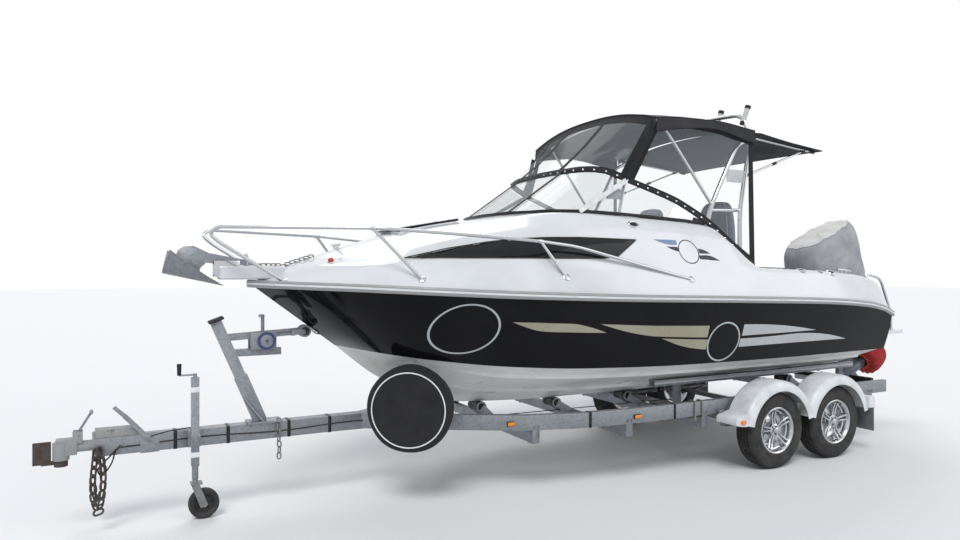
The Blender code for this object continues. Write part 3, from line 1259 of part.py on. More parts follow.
def build_coupling():
    """Override coupling at the drawbar's end with its hand lever, lock plate and parking-brake lever."""
    top = RAIL_BOTTOM + RAIL_TALL
    start = DRAWBAR_FRONT
    box = block((4.845, -0.045, top + GAP), (start, 0.045, top + 0.055))
    body = rod((start + GAP, 0, top - 0.045), (start + 0.13, 0, top - 0.045), 0.035, 14)
    flange = block((start + GAP, -0.05, top - 0.10), (start + 0.015, 0.05, top + 0.03))
    head = block((start + 0.10, -0.04, top - 0.09), (start + 0.22, 0.04, top + 0.01))
    ball = rod((start + 0.19, 0, top - 0.12), (start + 0.19, 0, top - 0.01), 0.048, 16)
    lug = [block((start + 0.07, side * 0.032 - 0.005, top - 0.02), (start + 0.125, side * 0.032 + 0.005, top + 0.055)) for side in (1, -1)]
    top_strap = block((4.98, -0.03, top + 0.02), (start + 0.01, 0.03, top + 0.035))
    pieces = joined(box, flange, body, head, ball, top_strap, *lug)
    finished("coupling", pieces, GALVANISED, smooth=False)
    lever_at = (start + 0.098, 0, top + 0.038)
    lever_axis = pivot("coupling_lever_axis", lever_at)
    boss = rod((start + 0.098, -0.0265, top + 0.038), (start + 0.098, 0.0265, top + 0.038), 0.012, 10)
    arm = bar((start + 0.098, 0, top + 0.038), (start + 0.02, 0, top + 0.17), 0.03, 0.014)
    knob = rod((start + 0.02, -0.03, top + 0.17), (start + 0.02, 0.03, top + 0.17), 0.012, 10)
    finished("coupling_lever", joined(boss, arm, knob), GALVANISED, lever_axis)
    lock = block((start + 0.245, -0.012, top - 0.14), (start + 0.345, 0.012, top + 0.0))
    shank = rod((start + 0.19, 0, top - 0.135), (start + 0.30, 0, top - 0.135), 0.014, 10)
    cup = rod((start + 0.19, 0, top - 0.16), (start + 0.19, 0, top - 0.12 - GAP), 0.04, 14)
    finished("hitch_lock", joined(cup, shank, lock), RUSTY, smooth=False)
    brake_at = (4.79, 0.066, top - 0.02)
    brake_axis = pivot("handbrake_axis", brake_at)
    boss = rod((4.79, 0.0585, top - 0.02), (4.79, 0.074, top - 0.02), 0.02, 12)
    lever = bar((4.79, 0.066, top - 0.02), (4.93, 0.066, top + 0.14), 0.012, 0.03)
    grip = bar((4.91, 0.066, top + 0.12), (4.99, 0.066, top + 0.20), 0.022, 0.024)
    finished("handbrake_lever", joined(boss, lever, grip), GALVANISED, brake_axis, smooth=False)


def build_chains():
    """A safety chain each side, hung in a bunch from its shackle at the drawbar's front end."""
    chain_y = BEAM_WIDE / 2 + 0.036
    for side, word in ((1, "port"), (-1, "starboard")):
        z = RAIL_BOTTOM + 0.045
        pieces = [rod((CHAIN_X, side * (BEAM_WIDE / 2 + GAP), z), (CHAIN_X, side * chain_y, z), 0.012, 8)]
        for i in range(LINKS):
            link = torus(0.020, 0.006, 8, 5)
            stretch = Matrix.Diagonal((1.0, 1.6, 1.0, 1))
            stand = Matrix.Rotation(math.radians(90), 4, "X") @ Matrix.Rotation(math.radians(90), 4, "Z")
            turn = Matrix.Rotation(math.radians(90 * i), 4, "Z")
            place = Matrix.Translation((CHAIN_X, side * chain_y, z - 0.012 - 0.048 * i))
            pieces.append(moved(link, place @ turn @ stand @ stretch))
        finished("safety_chain_" + word, joined(*pieces), RUSTY)


def build_jockey():
    """Jockey wheel: a clamp on the drawbar, a square leg, and a castor with its wheel."""
    side = BEAM_WIDE / 2
    y = side + 0.045
    clamp = joined(block((JOCKEY_X - 0.04, side + GAP, RAIL_BOTTOM), (JOCKEY_X + 0.04, side + 0.012, RAIL_BOTTOM + RAIL_TALL)),
                   block((JOCKEY_X - 0.032, side + 0.01, 0.50), (JOCKEY_X + 0.032, side + 0.078, 0.57)),
                   block((JOCKEY_X - 0.025, y - 0.025, 0.36), (JOCKEY_X + 0.025, y + 0.025, 0.96)),
                   rod((JOCKEY_X, y, 0.27), (JOCKEY_X, y, 0.38), 0.021, 14),
                   rod((JOCKEY_X, y, 0.95), (JOCKEY_X, y, 0.985), 0.012, 10),
                   rod((JOCKEY_X, y, 0.978), (JOCKEY_X + 0.10, y, 0.978), 0.007, 8))
    finished("jockey_leg", clamp, GALVANISED, smooth=False)
    swivel_axis = pivot("jockey_swivel_axis", (JOCKEY_X, y, 0.25))
    r = JOCKEY_WHEEL_RADIUS
    axle_x = JOCKEY_X - 0.055
    fork = [bar((JOCKEY_X, y + s * 0.044, 0.235), (axle_x, y + s * 0.044, r - 0.012), 0.006, 0.05) for s in (1, -1)]
    crown_plate = block((JOCKEY_X - 0.045, y - 0.047, 0.238), (JOCKEY_X + 0.03, y + 0.047, 0.246))
    stud = rod((JOCKEY_X, y, 0.24), (JOCKEY_X, y, 0.27 - PIN_GAP), 0.018, 12)
    pin = rod((axle_x, y - 0.047, r), (axle_x, y + 0.047, r), 0.008, 8)
    finished("jockey_fork", joined(crown_plate, stud, pin, *fork), RUSTY, swivel_axis, smooth=False)
    wheel_axis = pivot("jockey_wheel_axis", (axle_x, y, r), swivel_axis)
    wheel = turned([(0.0087, -0.038), (r * 0.88, -0.036), (r, -0.024), (r, 0.024), (r * 0.88, 0.036), (0.0087, 0.038)], 20)
    moved(wheel, Matrix.Translation((axle_x, y, r)) @ Matrix.Rotation(math.radians(90), 4, "X"))
    finished("jockey_wheel", wheel, RUBBER, wheel_axis)


def build_spare():
    """Spare wheel in its black cover, carried upright against the arm on the angled part of the rail."""
    r, w = SPARE_RADIUS, SPARE_THICK
    cover = turned([(0.0, 0.0), (0.25, 0.0), (r - 0.006, 0.035), (r + 0.004, w / 2), (r, w - 0.02), (r - 0.015, w),
                    (0.0, w)], 28)
    turn = Matrix.Rotation(-SPARE_TOE, 4, "Z") @ Matrix.Rotation(math.radians(-90), 4, "X")
    back = Vector(SPARE_FACE) - spare_outwards() * w
    moved(cover, Matrix.Translation(back) @ turn)
    finished("spare_wheel", cover, BLACK_PLASTIC)


build_hull()
deck_surface = tree_of(build_deck())
build_sole()
build_cockpit_liner()
build_cabin_moulding()
build_rub_rail()
build_side_windows()
build_canopy(build_windscreen(deck_surface))
build_targa(deck_surface)
build_bow_rails(deck_surface)
build_bow_fittings(deck_surface)
build_hatch(deck_surface)
build_helm()
build_stern()
build_outboard()
build_chassis()
build_axles()
build_wheels()
build_guards()
build_winch_post()
build_coupling()
build_chains()
build_jockey()
build_spare()
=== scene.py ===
"""Looks of the speedboat on its trailer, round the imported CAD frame.

Lengths are metres. Points are written in the axle frame: x forward of the front road axle, y to port,
z up from the ground. piece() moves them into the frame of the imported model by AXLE_X.
A Shape is (points, faces): an array of places and a list of index tuples.
"""

import json
import math

import bmesh
import bpy
import numpy as np
from mathutils import Matrix, Vector
from mathutils.bvhtree import BVHTree

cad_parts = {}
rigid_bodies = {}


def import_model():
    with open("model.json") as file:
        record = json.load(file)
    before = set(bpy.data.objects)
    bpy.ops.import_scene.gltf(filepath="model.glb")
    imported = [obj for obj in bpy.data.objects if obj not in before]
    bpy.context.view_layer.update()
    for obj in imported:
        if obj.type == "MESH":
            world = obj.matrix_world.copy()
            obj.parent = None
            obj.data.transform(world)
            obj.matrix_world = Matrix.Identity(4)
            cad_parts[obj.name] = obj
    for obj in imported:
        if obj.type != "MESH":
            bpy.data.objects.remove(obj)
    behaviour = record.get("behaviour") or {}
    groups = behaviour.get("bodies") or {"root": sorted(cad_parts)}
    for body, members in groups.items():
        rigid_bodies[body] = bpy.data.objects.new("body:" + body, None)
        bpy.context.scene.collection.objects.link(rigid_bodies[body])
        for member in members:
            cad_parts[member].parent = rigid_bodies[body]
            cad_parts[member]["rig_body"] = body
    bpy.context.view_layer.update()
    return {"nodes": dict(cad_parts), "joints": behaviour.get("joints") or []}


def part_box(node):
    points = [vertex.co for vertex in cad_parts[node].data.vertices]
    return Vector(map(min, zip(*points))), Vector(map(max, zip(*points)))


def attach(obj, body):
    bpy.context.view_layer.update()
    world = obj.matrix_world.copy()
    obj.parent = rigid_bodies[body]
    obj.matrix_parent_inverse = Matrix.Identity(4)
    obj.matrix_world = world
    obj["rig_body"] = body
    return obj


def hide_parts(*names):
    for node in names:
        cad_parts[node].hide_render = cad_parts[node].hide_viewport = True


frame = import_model()
NODES = frame["nodes"]
AXLE_X = next(j["pos_m"][0] for j in frame["joints"] if j["name"] == "wheel_front_port")
ROOT = "boat_and_trailer"
# Points of a piece closer than this are one point
WELD = 2e-5


# Materials

def shader_of(made):
    return made.node_tree.nodes["Principled BSDF"]


def linked(made, source, output, target, socket):
    made.node_tree.links.new(source.outputs[output], target.inputs[socket])


def material(name, colour, roughness, metallic=0.0, alpha=1.0, coat=0.0):
    made = bpy.data.materials.new(name)
    made.use_nodes = True
    shader = shader_of(made)
    shader.inputs["Base Color"].default_value = (*colour, 1)
    shader.inputs["Roughness"].default_value = roughness
    shader.inputs["Metallic"].default_value = metallic
    shader.inputs["Alpha"].default_value = alpha
    shader.inputs["Coat Weight"].default_value = coat
    return made


def noise(made, scale, detail=4.0, stretch=(1, 1, 1), kind="ShaderNodeTexNoise"):
    """A texture node on Object coordinates, stretched by a scale along each axis."""
    nodes, links = made.node_tree.nodes, made.node_tree.links
    place = nodes.new("ShaderNodeTexCoord")
    mapping = nodes.new("ShaderNodeMapping")
    mapping.inputs["Scale"].default_value = stretch
    texture = nodes.new(kind)
    texture.inputs["Scale"].default_value = scale
    if "Detail" in texture.inputs:
        texture.inputs["Detail"].default_value = detail
    links.new(place.outputs["Object"], mapping.inputs["Vector"])
    links.new(mapping.outputs["Vector"], texture.inputs["Vector"])
    return texture


def coloured(made, texture, stops, output=0):
    """The texture's value turned into the base colour through a ramp of (place, colour)."""
    ramp = made.node_tree.nodes.new("ShaderNodeValToRGB")
    while len(ramp.color_ramp.elements) < len(stops):
        ramp.color_ramp.elements.new(0.5)
    for element, (place, colour) in zip(ramp.color_ramp.elements, stops):
        element.position = place
        element.color = (*colour, 1)
    linked(made, texture, output, ramp, "Fac")
    linked(made, ramp, "Color", shader_of(made), "Base Color")
    return made


def ranged(made, texture, socket, low, high):
    """The texture's value, from 0.3 to 0.7, drives a socket of the shader from low to high."""
    span = made.node_tree.nodes.new("ShaderNodeMapRange")
    span.inputs["From Min"].default_value = 0.3
    span.inputs["From Max"].default_value = 0.7
    span.inputs["To Min"].default_value = low
    span.inputs["To Max"].default_value = high
    linked(made, texture, 0, span, "Value")
    linked(made, span, "Result", shader_of(made), socket)
    return made


def bumped(made, texture, strength, distance):
    bump = made.node_tree.nodes.new("ShaderNodeBump")
    bump.inputs["Strength"].default_value = strength
    bump.inputs["Distance"].default_value = distance
    linked(made, texture, 0, bump, "Height")
    linked(made, bump, "Normal", shader_of(made), "Normal")
    return made


def gelcoat(name, colour, dirt, roughness, shine=0.5, coat=0.3):
    """Polished moulding with faint long ripples, and dirt in soft patches."""
    made = material(name, colour, roughness, coat=coat)
    shader_of(made).inputs["Specular IOR Level"].default_value = shine
    coloured(made, noise(made, 2.2, 6.0), [(0.42, colour), (0.72, dirt)])
    ranged(made, noise(made, 5.0), "Roughness", roughness * 0.7, roughness * 1.5)
    return bumped(made, noise(made, 1.6, 1.0, (1, 1, 2.5)), 0.10, 0.02)


def galvanised_steel(name, colours, roughness=0.5):
    """Zinc spangle: Voronoi cells a centimetre or two across, in a few greys, with a rough film on top."""
    made = material(name, colours[1], roughness, metallic=0.75)
    cells = noise(made, 75.0, kind="ShaderNodeTexVoronoi")
    coloured(made, cells, [(0.0, colours[0]), (0.5, colours[1]), (1.0, colours[2])], output="Color")
    ranged(made, noise(made, 12.0), "Roughness", roughness * 0.8, roughness * 1.25)
    return bumped(made, noise(made, 160.0), 0.12, 0.002)


def rusted(name, steel, rust, share=0.5):
    made = material(name, rust, 0.85, metallic=0.2)
    coloured(made, noise(made, 26.0, 8.0), [(share - 0.08, steel), (share + 0.06, rust)])
    return bumped(made, noise(made, 120.0, 8.0), 0.5, 0.002)


def woven(name, colour, light, scale=900.0, roughness=0.9):
    """Cloth: a fine weave as bump and slow changes of shade from weather."""
    made = material(name, colour, roughness)
    coloured(made, noise(made, 7.0, 6.0), [(0.35, colour), (0.75, light)])
    return bumped(made, noise(made, scale, 2.0), 0.35, 0.001)


def moulded(name, colour, light, roughness, shine=0.5):
    """Plain plastic or rubber with a slightly uneven sheen."""
    made = material(name, colour, roughness)
    shader_of(made).inputs["Specular IOR Level"].default_value = shine
    coloured(made, noise(made, 9.0, 5.0), [(0.4, colour), (0.8, light)])
    return ranged(made, noise(made, 20.0), "Roughness", roughness * 0.85, min(1.0, roughness * 1.2))


def metal(name, colour, roughness, scale=30.0):
    made = material(name, colour, roughness, metallic=1.0)
    return ranged(made, noise(made, scale, 6.0), "Roughness", roughness * 0.6, roughness * 1.6)


BLACK_GELCOAT = gelcoat("black_gelcoat", (0.005, 0.005, 0.007), (0.008, 0.008, 0.010), 0.07, 0.12, 0.0)
WHITE_GELCOAT = gelcoat("white_gelcoat", (0.70, 0.715, 0.735), (0.62, 0.635, 0.65), 0.14)
BOTTOM_WHITE = gelcoat("bottom_white", (0.74, 0.74, 0.73), (0.54, 0.53, 0.50), 0.35)
STRIPE_BEIGE = gelcoat("stripe_beige", (0.30, 0.28, 0.19), (0.36, 0.34, 0.26), 0.3)
STRIPE_SILVER = gelcoat("stripe_silver", (0.46, 0.49, 0.50), (0.40, 0.43, 0.44), 0.3)
STRIPE_INK = gelcoat("stripe_ink", (0.010, 0.012, 0.022), (0.016, 0.018, 0.028), 0.2, 0.3, 0.0)
STRIPE_BLUE = gelcoat("stripe_blue", (0.10, 0.19, 0.36), (0.16, 0.24, 0.38), 0.35)
GREY_VINYL = moulded("grey_vinyl", (0.62, 0.63, 0.64), (0.50, 0.51, 0.52), 0.35)
STAINLESS = metal("stainless", (0.52, 0.53, 0.55), 0.14)
GALVANISED = galvanised_steel("galvanised", ((0.16, 0.175, 0.20), (0.21, 0.225, 0.25), (0.28, 0.295, 0.32)))
DULL_ZINC = galvanised_steel("dull_zinc", ((0.16, 0.16, 0.16), (0.21, 0.21, 0.21), (0.28, 0.28, 0.28)), 0.65)
TINTED = moulded("tinted_acrylic", (0.010, 0.011, 0.014), (0.014, 0.015, 0.018), 0.05, 0.2)
GLASS = material("clear_glass", (0.55, 0.62, 0.64), 0.01, alpha=0.20, coat=0.5)
ranged(GLASS, noise(GLASS, 3.0), "Roughness", 0.005, 0.03)
CANVAS = woven("canvas", (0.018, 0.018, 0.022), (0.038, 0.037, 0.043))
CANVAS_EDGE = woven("canvas_edge", (0.008, 0.008, 0.010), (0.016, 0.016, 0.019))
CLEAR_VINYL = material("clear_vinyl", (0.80, 0.84, 0.88), 0.05, alpha=0.13, coat=0.6)
bumped(CLEAR_VINYL, noise(CLEAR_VINYL, 3.2, 3.0, (1.0, 1.0, 0.55)), 0.7, 0.03)
SEAT_VINYL = woven("seat_vinyl", (0.030, 0.045, 0.085), (0.045, 0.062, 0.105), 260.0, 0.45)
SEAT_GREY = woven("seat_grey", (0.30, 0.32, 0.35), (0.38, 0.40, 0.42), 260.0, 0.45)
BLACK_PLASTIC = moulded("black_plastic", (0.012, 0.012, 0.013), (0.024, 0.024, 0.026), 0.4, 0.25)
WHITE_PLASTIC = moulded("white_plastic", (0.74, 0.76, 0.78), (0.56, 0.57, 0.57), 0.32)
RAIL_GREY = moulded("rail_grey", (0.30, 0.30, 0.30), (0.36, 0.36, 0.36), 0.4)
GREY_RUBBER = moulded("grey_rubber", (0.14, 0.14, 0.15), (0.20, 0.20, 0.20), 0.7)
DARK_RUBBER = moulded("rubber", (0.016, 0.016, 0.017), (0.050, 0.047, 0.043), 0.75)
TREAD_RUBBER = moulded("tread_rubber", (0.020, 0.020, 0.020), (0.070, 0.064, 0.055), 0.9)
ALLOY = metal("polished_alloy", (0.50, 0.51, 0.53), 0.18)
ALLOY_SATIN = metal("satin_alloy", (0.46, 0.47, 0.49), 0.32)
ENGINE_PAINT = moulded("engine_paint", (0.045, 0.055, 0.075), (0.060, 0.070, 0.090), 0.25)
# The engine cover's sides are the same cloth as its top, painted darker as shade; the top keeps the cloth's
# own light grey.
COVER_SIDES_PAINTED_SHADE = woven("cover_cloth", (0.30, 0.30, 0.32), (0.42, 0.42, 0.43), 700.0)
COVER_TOP = woven("cover_top", (0.58, 0.57, 0.55), (0.70, 0.69, 0.66), 700.0)
RED_CLOTH = woven("red_cloth", (0.24, 0.010, 0.014), (0.34, 0.020, 0.02), 600.0)
STRAP_RED = woven("strap_red", (0.55, 0.07, 0.02), (0.65, 0.12, 0.04), 600.0)
WINCH_WEBBING = woven("winch_webbing", (0.10, 0.10, 0.11), (0.20, 0.20, 0.21), 600.0)
RUSTY = rusted("rusty_steel", (0.070, 0.066, 0.062), (0.070, 0.042, 0.028), 0.55)
LIGHT_RUST = rusted("light_rust", (0.32, 0.33, 0.33), (0.17, 0.12, 0.08), 0.66)
AMBER = moulded("amber_lens", (0.80, 0.22, 0.01), (0.90, 0.30, 0.02), 0.15)
RED_LENS = moulded("red_lens", (0.50, 0.01, 0.01), (0.60, 0.02, 0.02), 0.15)
GREEN_LENS = moulded("green_lens", (0.01, 0.25, 0.06), (0.02, 0.30, 0.08), 0.15)
BLUE_PAINT = moulded("blue_paint", (0.035, 0.05, 0.16), (0.05, 0.06, 0.17), 0.3)
REFLECTIVE = moulded("reflective_band", (0.80, 0.81, 0.80), (0.75, 0.76, 0.74), 0.4)
DIAL = moulded("dial_face", (0.015, 0.016, 0.018), (0.03, 0.03, 0.033), 0.3)


# Shapes

def merged(*shapes):
    """Several shapes as one."""
    points, faces, start = [], [], 0
    for places, loops in shapes:
        points.append(np.asarray(places, float))
        faces += [tuple(i + start for i in loop) for loop in loops]
        start += len(places)
    return np.vstack(points), faces


def grid(rows, wrap_rows=False, wrap_columns=False):
    """Quads over an (n, m, 3) array of points; with wrap_columns each row closes on itself."""
    rows = np.asarray(rows, float)
    n, m = rows.shape[:2]
    faces = []
    for i in range(n - (not wrap_rows)):
        k = (i + 1) % n
        for j in range(m - (not wrap_columns)):
            l = (j + 1) % m
            faces.append((i * m + j, k * m + j, k * m + l, i * m + l))
    return rows.reshape(-1, 3), faces


def capped(rows):
    """A closed body through rings of equal count, each end filled by one face."""
    points, faces = grid(rows, wrap_columns=True)
    n, m = np.asarray(rows).shape[:2]
    faces.append(tuple(range(m)))
    faces.append(tuple(range(n * m - 1, (n - 1) * m - 1, -1)))
    return points, faces


def bent(points, bend, steps=6):
    """The path with each inner corner replaced by a curve that starts and ends bend away from it."""
    points = [np.asarray(p, float) for p in points]
    path = [points[0]]
    for before, corner, after in zip(points, points[1:], points[2:]):
        back, on = before - corner, after - corner
        reach = min(bend, np.linalg.norm(back) * 0.45, np.linalg.norm(on) * 0.45)
        first = corner + back / np.linalg.norm(back) * reach
        last = corner + on / np.linalg.norm(on) * reach
        for t in np.linspace(0, 1, steps + 1):
            path.append(first * (1 - t) ** 2 + corner * 2 * t * (1 - t) + last * t ** 2)
    return np.array(path + [points[-1]])


def smooth_path(points, count):
    """A Catmull-Rom curve through the points, sampled evenly by index."""
    p = np.asarray(points, float)
    p = np.vstack([2 * p[0] - p[1], p, 2 * p[-1] - p[-2]])
    place = np.linspace(0, len(p) - 3 - 1e-9, count)
    i = place.astype(int)
    t = (place - i)[:, None]
    a, b, c, d = p[i], p[i + 1], p[i + 2], p[i + 3]
    return 0.5 * (2 * b + (c - a) * t + (2 * a - 5 * b + 4 * c - d) * t ** 2 + (3 * b - a - 3 * c + d)
                  * t ** 3)


def frames_along(path, closed=False):
    """Two directions across a path at each point, carried along it without twist."""
    path = np.asarray(path, float)
    if closed:
        ahead = np.roll(path, -1, 0) - np.roll(path, 1, 0)
    else:
        ahead = np.gradient(path, axis=0)
    ahead /= np.linalg.norm(ahead, axis=1, keepdims=True)
    side = np.cross(ahead[0], (0, 0, 1.0))
    if np.linalg.norm(side) < 0.1:
        side = np.cross(ahead[0], (0, 1.0, 0))
    sides = []
    for direction in ahead:
        side = side - direction * np.dot(side, direction)
        side = side / np.linalg.norm(side)
        sides.append(side)
    sides = np.array(sides)
    return sides, np.cross(ahead, sides)


def pipe(points, radius, bend=0.0, sides=14, closed=False):
    """A round tube: each ring is centre + r (cos a, sin a) in the path's own frame. radius may vary along."""
    path = bent(points, bend) if bend else np.asarray(points, float)
    across, over = frames_along(path, closed)
    turn = full_turn(sides)
    r = np.broadcast_to(np.asarray(radius, float), (len(path),))
    rings = (
        path[:, None]
        + (across[:, None] * np.cos(turn)[None, :, None] + over[:, None] * np.sin(turn)[None, :, None])
        * r[:, None, None]
    )
    if closed:
        return grid(rings, wrap_rows=True, wrap_columns=True)
    return capped(rings)


def ribbon(points, across, wide, thick):
    """A flat strap along a path: a rectangle wide along `across` at each point, and thick across both."""
    path = np.asarray(points, float)
    across = np.broadcast_to(np.asarray(across, float), path.shape)
    across = across / np.linalg.norm(across, axis=1, keepdims=True)
    over = np.cross(np.gradient(path, axis=0), across)
    over /= np.linalg.norm(over, axis=1, keepdims=True)
    a, o = across * wide / 2, over * thick / 2
    return capped(np.stack([path - a - o, path + a - o, path + a + o, path - a + o], 1))


def round_box(low, high, bevel=0.004, segments=2):
    """A box between two corners with rounded edges."""
    bm = bmesh.new()
    bmesh.ops.create_cube(bm, size=1)
    size, middle = np.subtract(high, low), np.add(high, low) / 2
    bm.transform(Matrix.Translation(middle) @ Matrix.Diagonal((*size, 1)))
    if bevel:
        reach = min(bevel, min(abs(size)) * 0.45)
        bmesh.ops.bevel(bm, geom=bm.edges[:], offset=reach, segments=segments, profile=0.5, affect="EDGES")
    bm.verts.index_update()
    shape = np.array([v.co for v in bm.verts]), [tuple(v.index for v in f.verts) for f in bm.faces]
    bm.free()
    return shape


def turned(profile, steps=32):
    """A profile of (radius, height) turned about Z; radius 0 at an end closes it there."""
    profile = np.asarray(profile, float)
    angle = full_turn(steps)
    rows = np.stack([
        np.outer(profile[:, 0], np.cos(angle)), np.outer(profile[:, 0], np.sin(angle)),
        np.repeat(profile[:, 1:2], steps, 1)], 2)
    return grid(rows, wrap_columns=True)


def set_at(shape, matrix):
    """The shape moved by a matrix, its faces turned round if the matrix mirrors."""
    points, faces = shape
    turn = np.array(matrix.to_3x3())
    moved = points @ turn.T + np.array(matrix.translation)
    if np.linalg.det(turn) < 0:
        faces = [loop[::-1] for loop in faces]
    return moved, faces


def shifted(shape, x=0.0, y=0.0, z=0.0):
    return shape[0] + np.array((x, y, z)), shape[1]


def mirrored(shape):
    return shape[0] * (1, -1, 1), [loop[::-1] for loop in shape[1]]


def both_sides(shape):
    return merged(shape, mirrored(shape))


def facing(direction, at=(0, 0, 0)):
    """A matrix that lays +Z along a direction at a place."""
    turn = Vector((0, 0, 1)).rotation_difference(Vector(direction)).to_matrix().to_4x4()
    return Matrix.Translation(at) @ turn


def turn_by(degrees, axis):
    return Matrix.Rotation(math.radians(degrees), 4, axis)


def laid_across(shape, place):
    """The shape at a place, its own Z turned to run across the boat."""
    return set_at(shape, Matrix.Translation(place) @ turn_by(90, "X"))


def full_turn(count):
    return np.linspace(0, 2 * math.pi, count, endpoint=False)


def circle(radius, count, height=0.0):
    return [(radius * math.cos(a), radius * math.sin(a), height) for a in full_turn(count)]


def ring_round(radius, turn, height):
    """A ring about Z whose radius and height may change along the turn."""
    return np.stack([radius * np.cos(turn), radius * np.sin(turn), height], 1)


def stud(radius, tall, sides=12, dome=0.35):
    """A small domed button on +Z."""
    profile = [(radius, 0), (radius, tall * (1 - dome)), (radius * 0.75, tall * 0.93), (0, tall)]
    return turned([(0, 0)] + profile, sides)


def hex_nut(radius, tall):
    return capped([[(radius * math.cos(a), radius * math.sin(a), z) for a in np.arange(6) * math.pi / 3]
                   for z in (0, tall)])


def button(way, place, radius, tall, sides=12, dome=0.35):
    return set_at(stud(radius, tall, sides, dome), facing(way, place))


def nut_at(way, place, radius, tall):
    return set_at(hex_nut(radius, tall), facing(way, place))


def unturned(shape):
    return shape


SIDES = ((1, "port", unturned), (-1, "starboard", mirrored))


def softened_all(*rows):
    """Each row is node, finish, bevel."""
    for node, finish, bevel in rows:
        softened(node, finish, bevel)


def piece(name, shape, finish, body=ROOT, replaces=(), angle=35, weld=True):
    """Makes the object: shape in the axle frame, its material, its body and the nodes it stands for."""
    points, faces = shape
    mesh = bpy.data.meshes.new(name)
    mesh.from_pydata([tuple(p) for p in points + np.array((AXLE_X, 0, 0))], [], faces)
    bm = bmesh.new()
    bm.from_mesh(mesh)
    if weld:
        bmesh.ops.remove_doubles(bm, verts=bm.verts, dist=WELD)
        bmesh.ops.dissolve_degenerate(bm, edges=bm.edges, dist=1e-6)
    bmesh.ops.recalc_face_normals(bm, faces=bm.faces)
    bm.to_mesh(mesh)
    bm.free()
    return dressed_mesh(name, mesh, finish, body, replaces, angle)


def dressed_mesh(name, mesh, finish, body, replaces=(), angle=35):
    mesh.materials.clear()
    mesh.materials.append(finish)
    mesh.shade_smooth()
    mesh.set_sharp_from_angle(angle=math.radians(angle))
    obj = bpy.data.objects.new(name, mesh)
    bpy.context.scene.collection.objects.link(obj)
    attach(obj, body)
    if replaces:
        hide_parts(*replaces)
    return obj


def softened(node, finish, bevel, angle=30):
    """A copy of a CAD node, welded and with its sharp edges rounded, that stands for the node."""
    mesh = NODES[node].data.copy()
    bm = bmesh.new()
    bm.from_mesh(mesh)
    bmesh.ops.remove_doubles(bm, verts=bm.verts, dist=WELD)
    bmesh.ops.dissolve_limit(bm, angle_limit=math.radians(0.3), verts=bm.verts, edges=bm.edges)
    if bevel:
        sharp = [
            e for e in bm.edges
            if len(e.link_faces) == 2 and e.calc_face_angle(0.0) > math.radians(angle)
            and e.calc_length() > bevel * 2
        ]
        bmesh.ops.bevel(bm, geom=sharp, offset=bevel, segments=2, profile=0.5, affect="EDGES",
                        clamp_overlap=True)
    bm.to_mesh(mesh)
    bm.free()
    return dressed_mesh(node + "_finish", mesh, finish, NODES[node]["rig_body"], [node])


# Hull and deck, rebuilt fine from the boat's own lines

# Lines of the boat, port side, from the transom forward: columns x, y, z
KEEL = ((-1.58, 0.0, 0.56), (0.4, 0.0, 0.56), (1.6, 0.0, 0.565), (2.4, 0.0, 0.60),
        (2.85, 0.0, 0.69), (3.19, 0.0, 0.87), (3.51, 0.0, 1.12))
CHINE = ((-1.58, 1.00, 0.93), (-0.3, 1.045, 0.93), (1.0, 1.055, 0.94), (1.9, 1.02, 0.965),
         (2.5, 0.90, 1.00), (3.0, 0.66, 1.05), (3.3, 0.38, 1.09), (3.51, 0.0, 1.12))
SHEER = ((-1.58, 1.085, 1.27), (-1.40, 1.105, 1.33), (-1.1, 1.13, 1.375), (-0.6, 1.155, 1.41),
         (0.4, 1.19, 1.445), (1.6, 1.20, 1.48), (2.5, 1.15, 1.515), (3.1, 0.98, 1.545),
         (3.6, 0.66, 1.57), (3.95, 0.29, 1.583), (4.128, 0.0, 1.59))
KNUCKLE = ((-1.58, 1.03, 1.33), (-1.50, 1.03, 1.49), (-1.38, 1.035, 1.585), (-1.1, 1.045, 1.635),
           (-0.5, 1.06, 1.675), (0.3, 1.075, 1.69), (1.3, 1.08, 1.69), (2.2, 1.04, 1.705),
           (2.8, 0.92, 1.717), (3.3, 0.66, 1.725), (3.65, 0.35, 1.728), (3.845, 0.0, 1.729))
CREASE = ((-1.58, 0.98, 1.335), (-1.50, 0.985, 1.50), (-1.38, 0.99, 1.592), (-1.1, 1.00, 1.642),
          (-0.5, 1.01, 1.682), (0.10, 1.02, 1.70), (0.50, 0.965, 1.94), (1.3, 0.94, 2.00),
          (2.0, 0.89, 2.012), (2.7, 0.76, 1.935), (3.07, 0.62, 1.857), (3.40, 0.37, 1.775),
          (3.70, 0.0, 1.775))
COAMING = ((-1.58, 0.94, 1.337), (-1.50, 0.945, 1.503), (-1.38, 0.95, 1.595), (-1.1, 0.96, 1.645),
           (-0.5, 0.965, 1.686), (0.10, 0.97, 1.706), (0.58, 0.875, 2.055), (1.3, 0.86, 2.10),
           (1.85, 0.84, 2.12), (2.05, 0.79, 2.118), (2.4, 0.63, 2.07), (2.9, 0.42, 1.99),
           (3.25, 0.22, 1.905), (3.52, 0.0, 1.84))
CENTRE = ((-1.58, 0.0, 1.34), (-1.50, 0.0, 1.51), (-1.38, 0.0, 1.60), (-1.1, 0.0, 1.65),
          (-0.5, 0.0, 1.69), (0.10, 0.0, 1.71), (0.58, 0.0, 2.06), (1.3, 0.0, 2.12),
          (1.85, 0.0, 2.14), (2.2, 0.0, 2.13), (2.43, 0.0, 2.085), (2.99, 0.0, 2.0),
          (3.306, 0.0, 1.905), (3.47, 0.0, 1.86))
BOTTOM_BULGE = ((1.2, -0.006), (2.4, 0.012), (2.9, 0.035))
SHOULDER_X, TRANSOM_X = 2.05, -1.58
ROUGH_STATIONS = (-1.58, -1.53, -1.46, -1.38, -1.25, -1.10, -0.85, -0.50, -0.10, 0.10, 0.22, 0.34,
                  0.46, 0.58, 0.80, 1.10, 1.45, 1.75, 2.05)
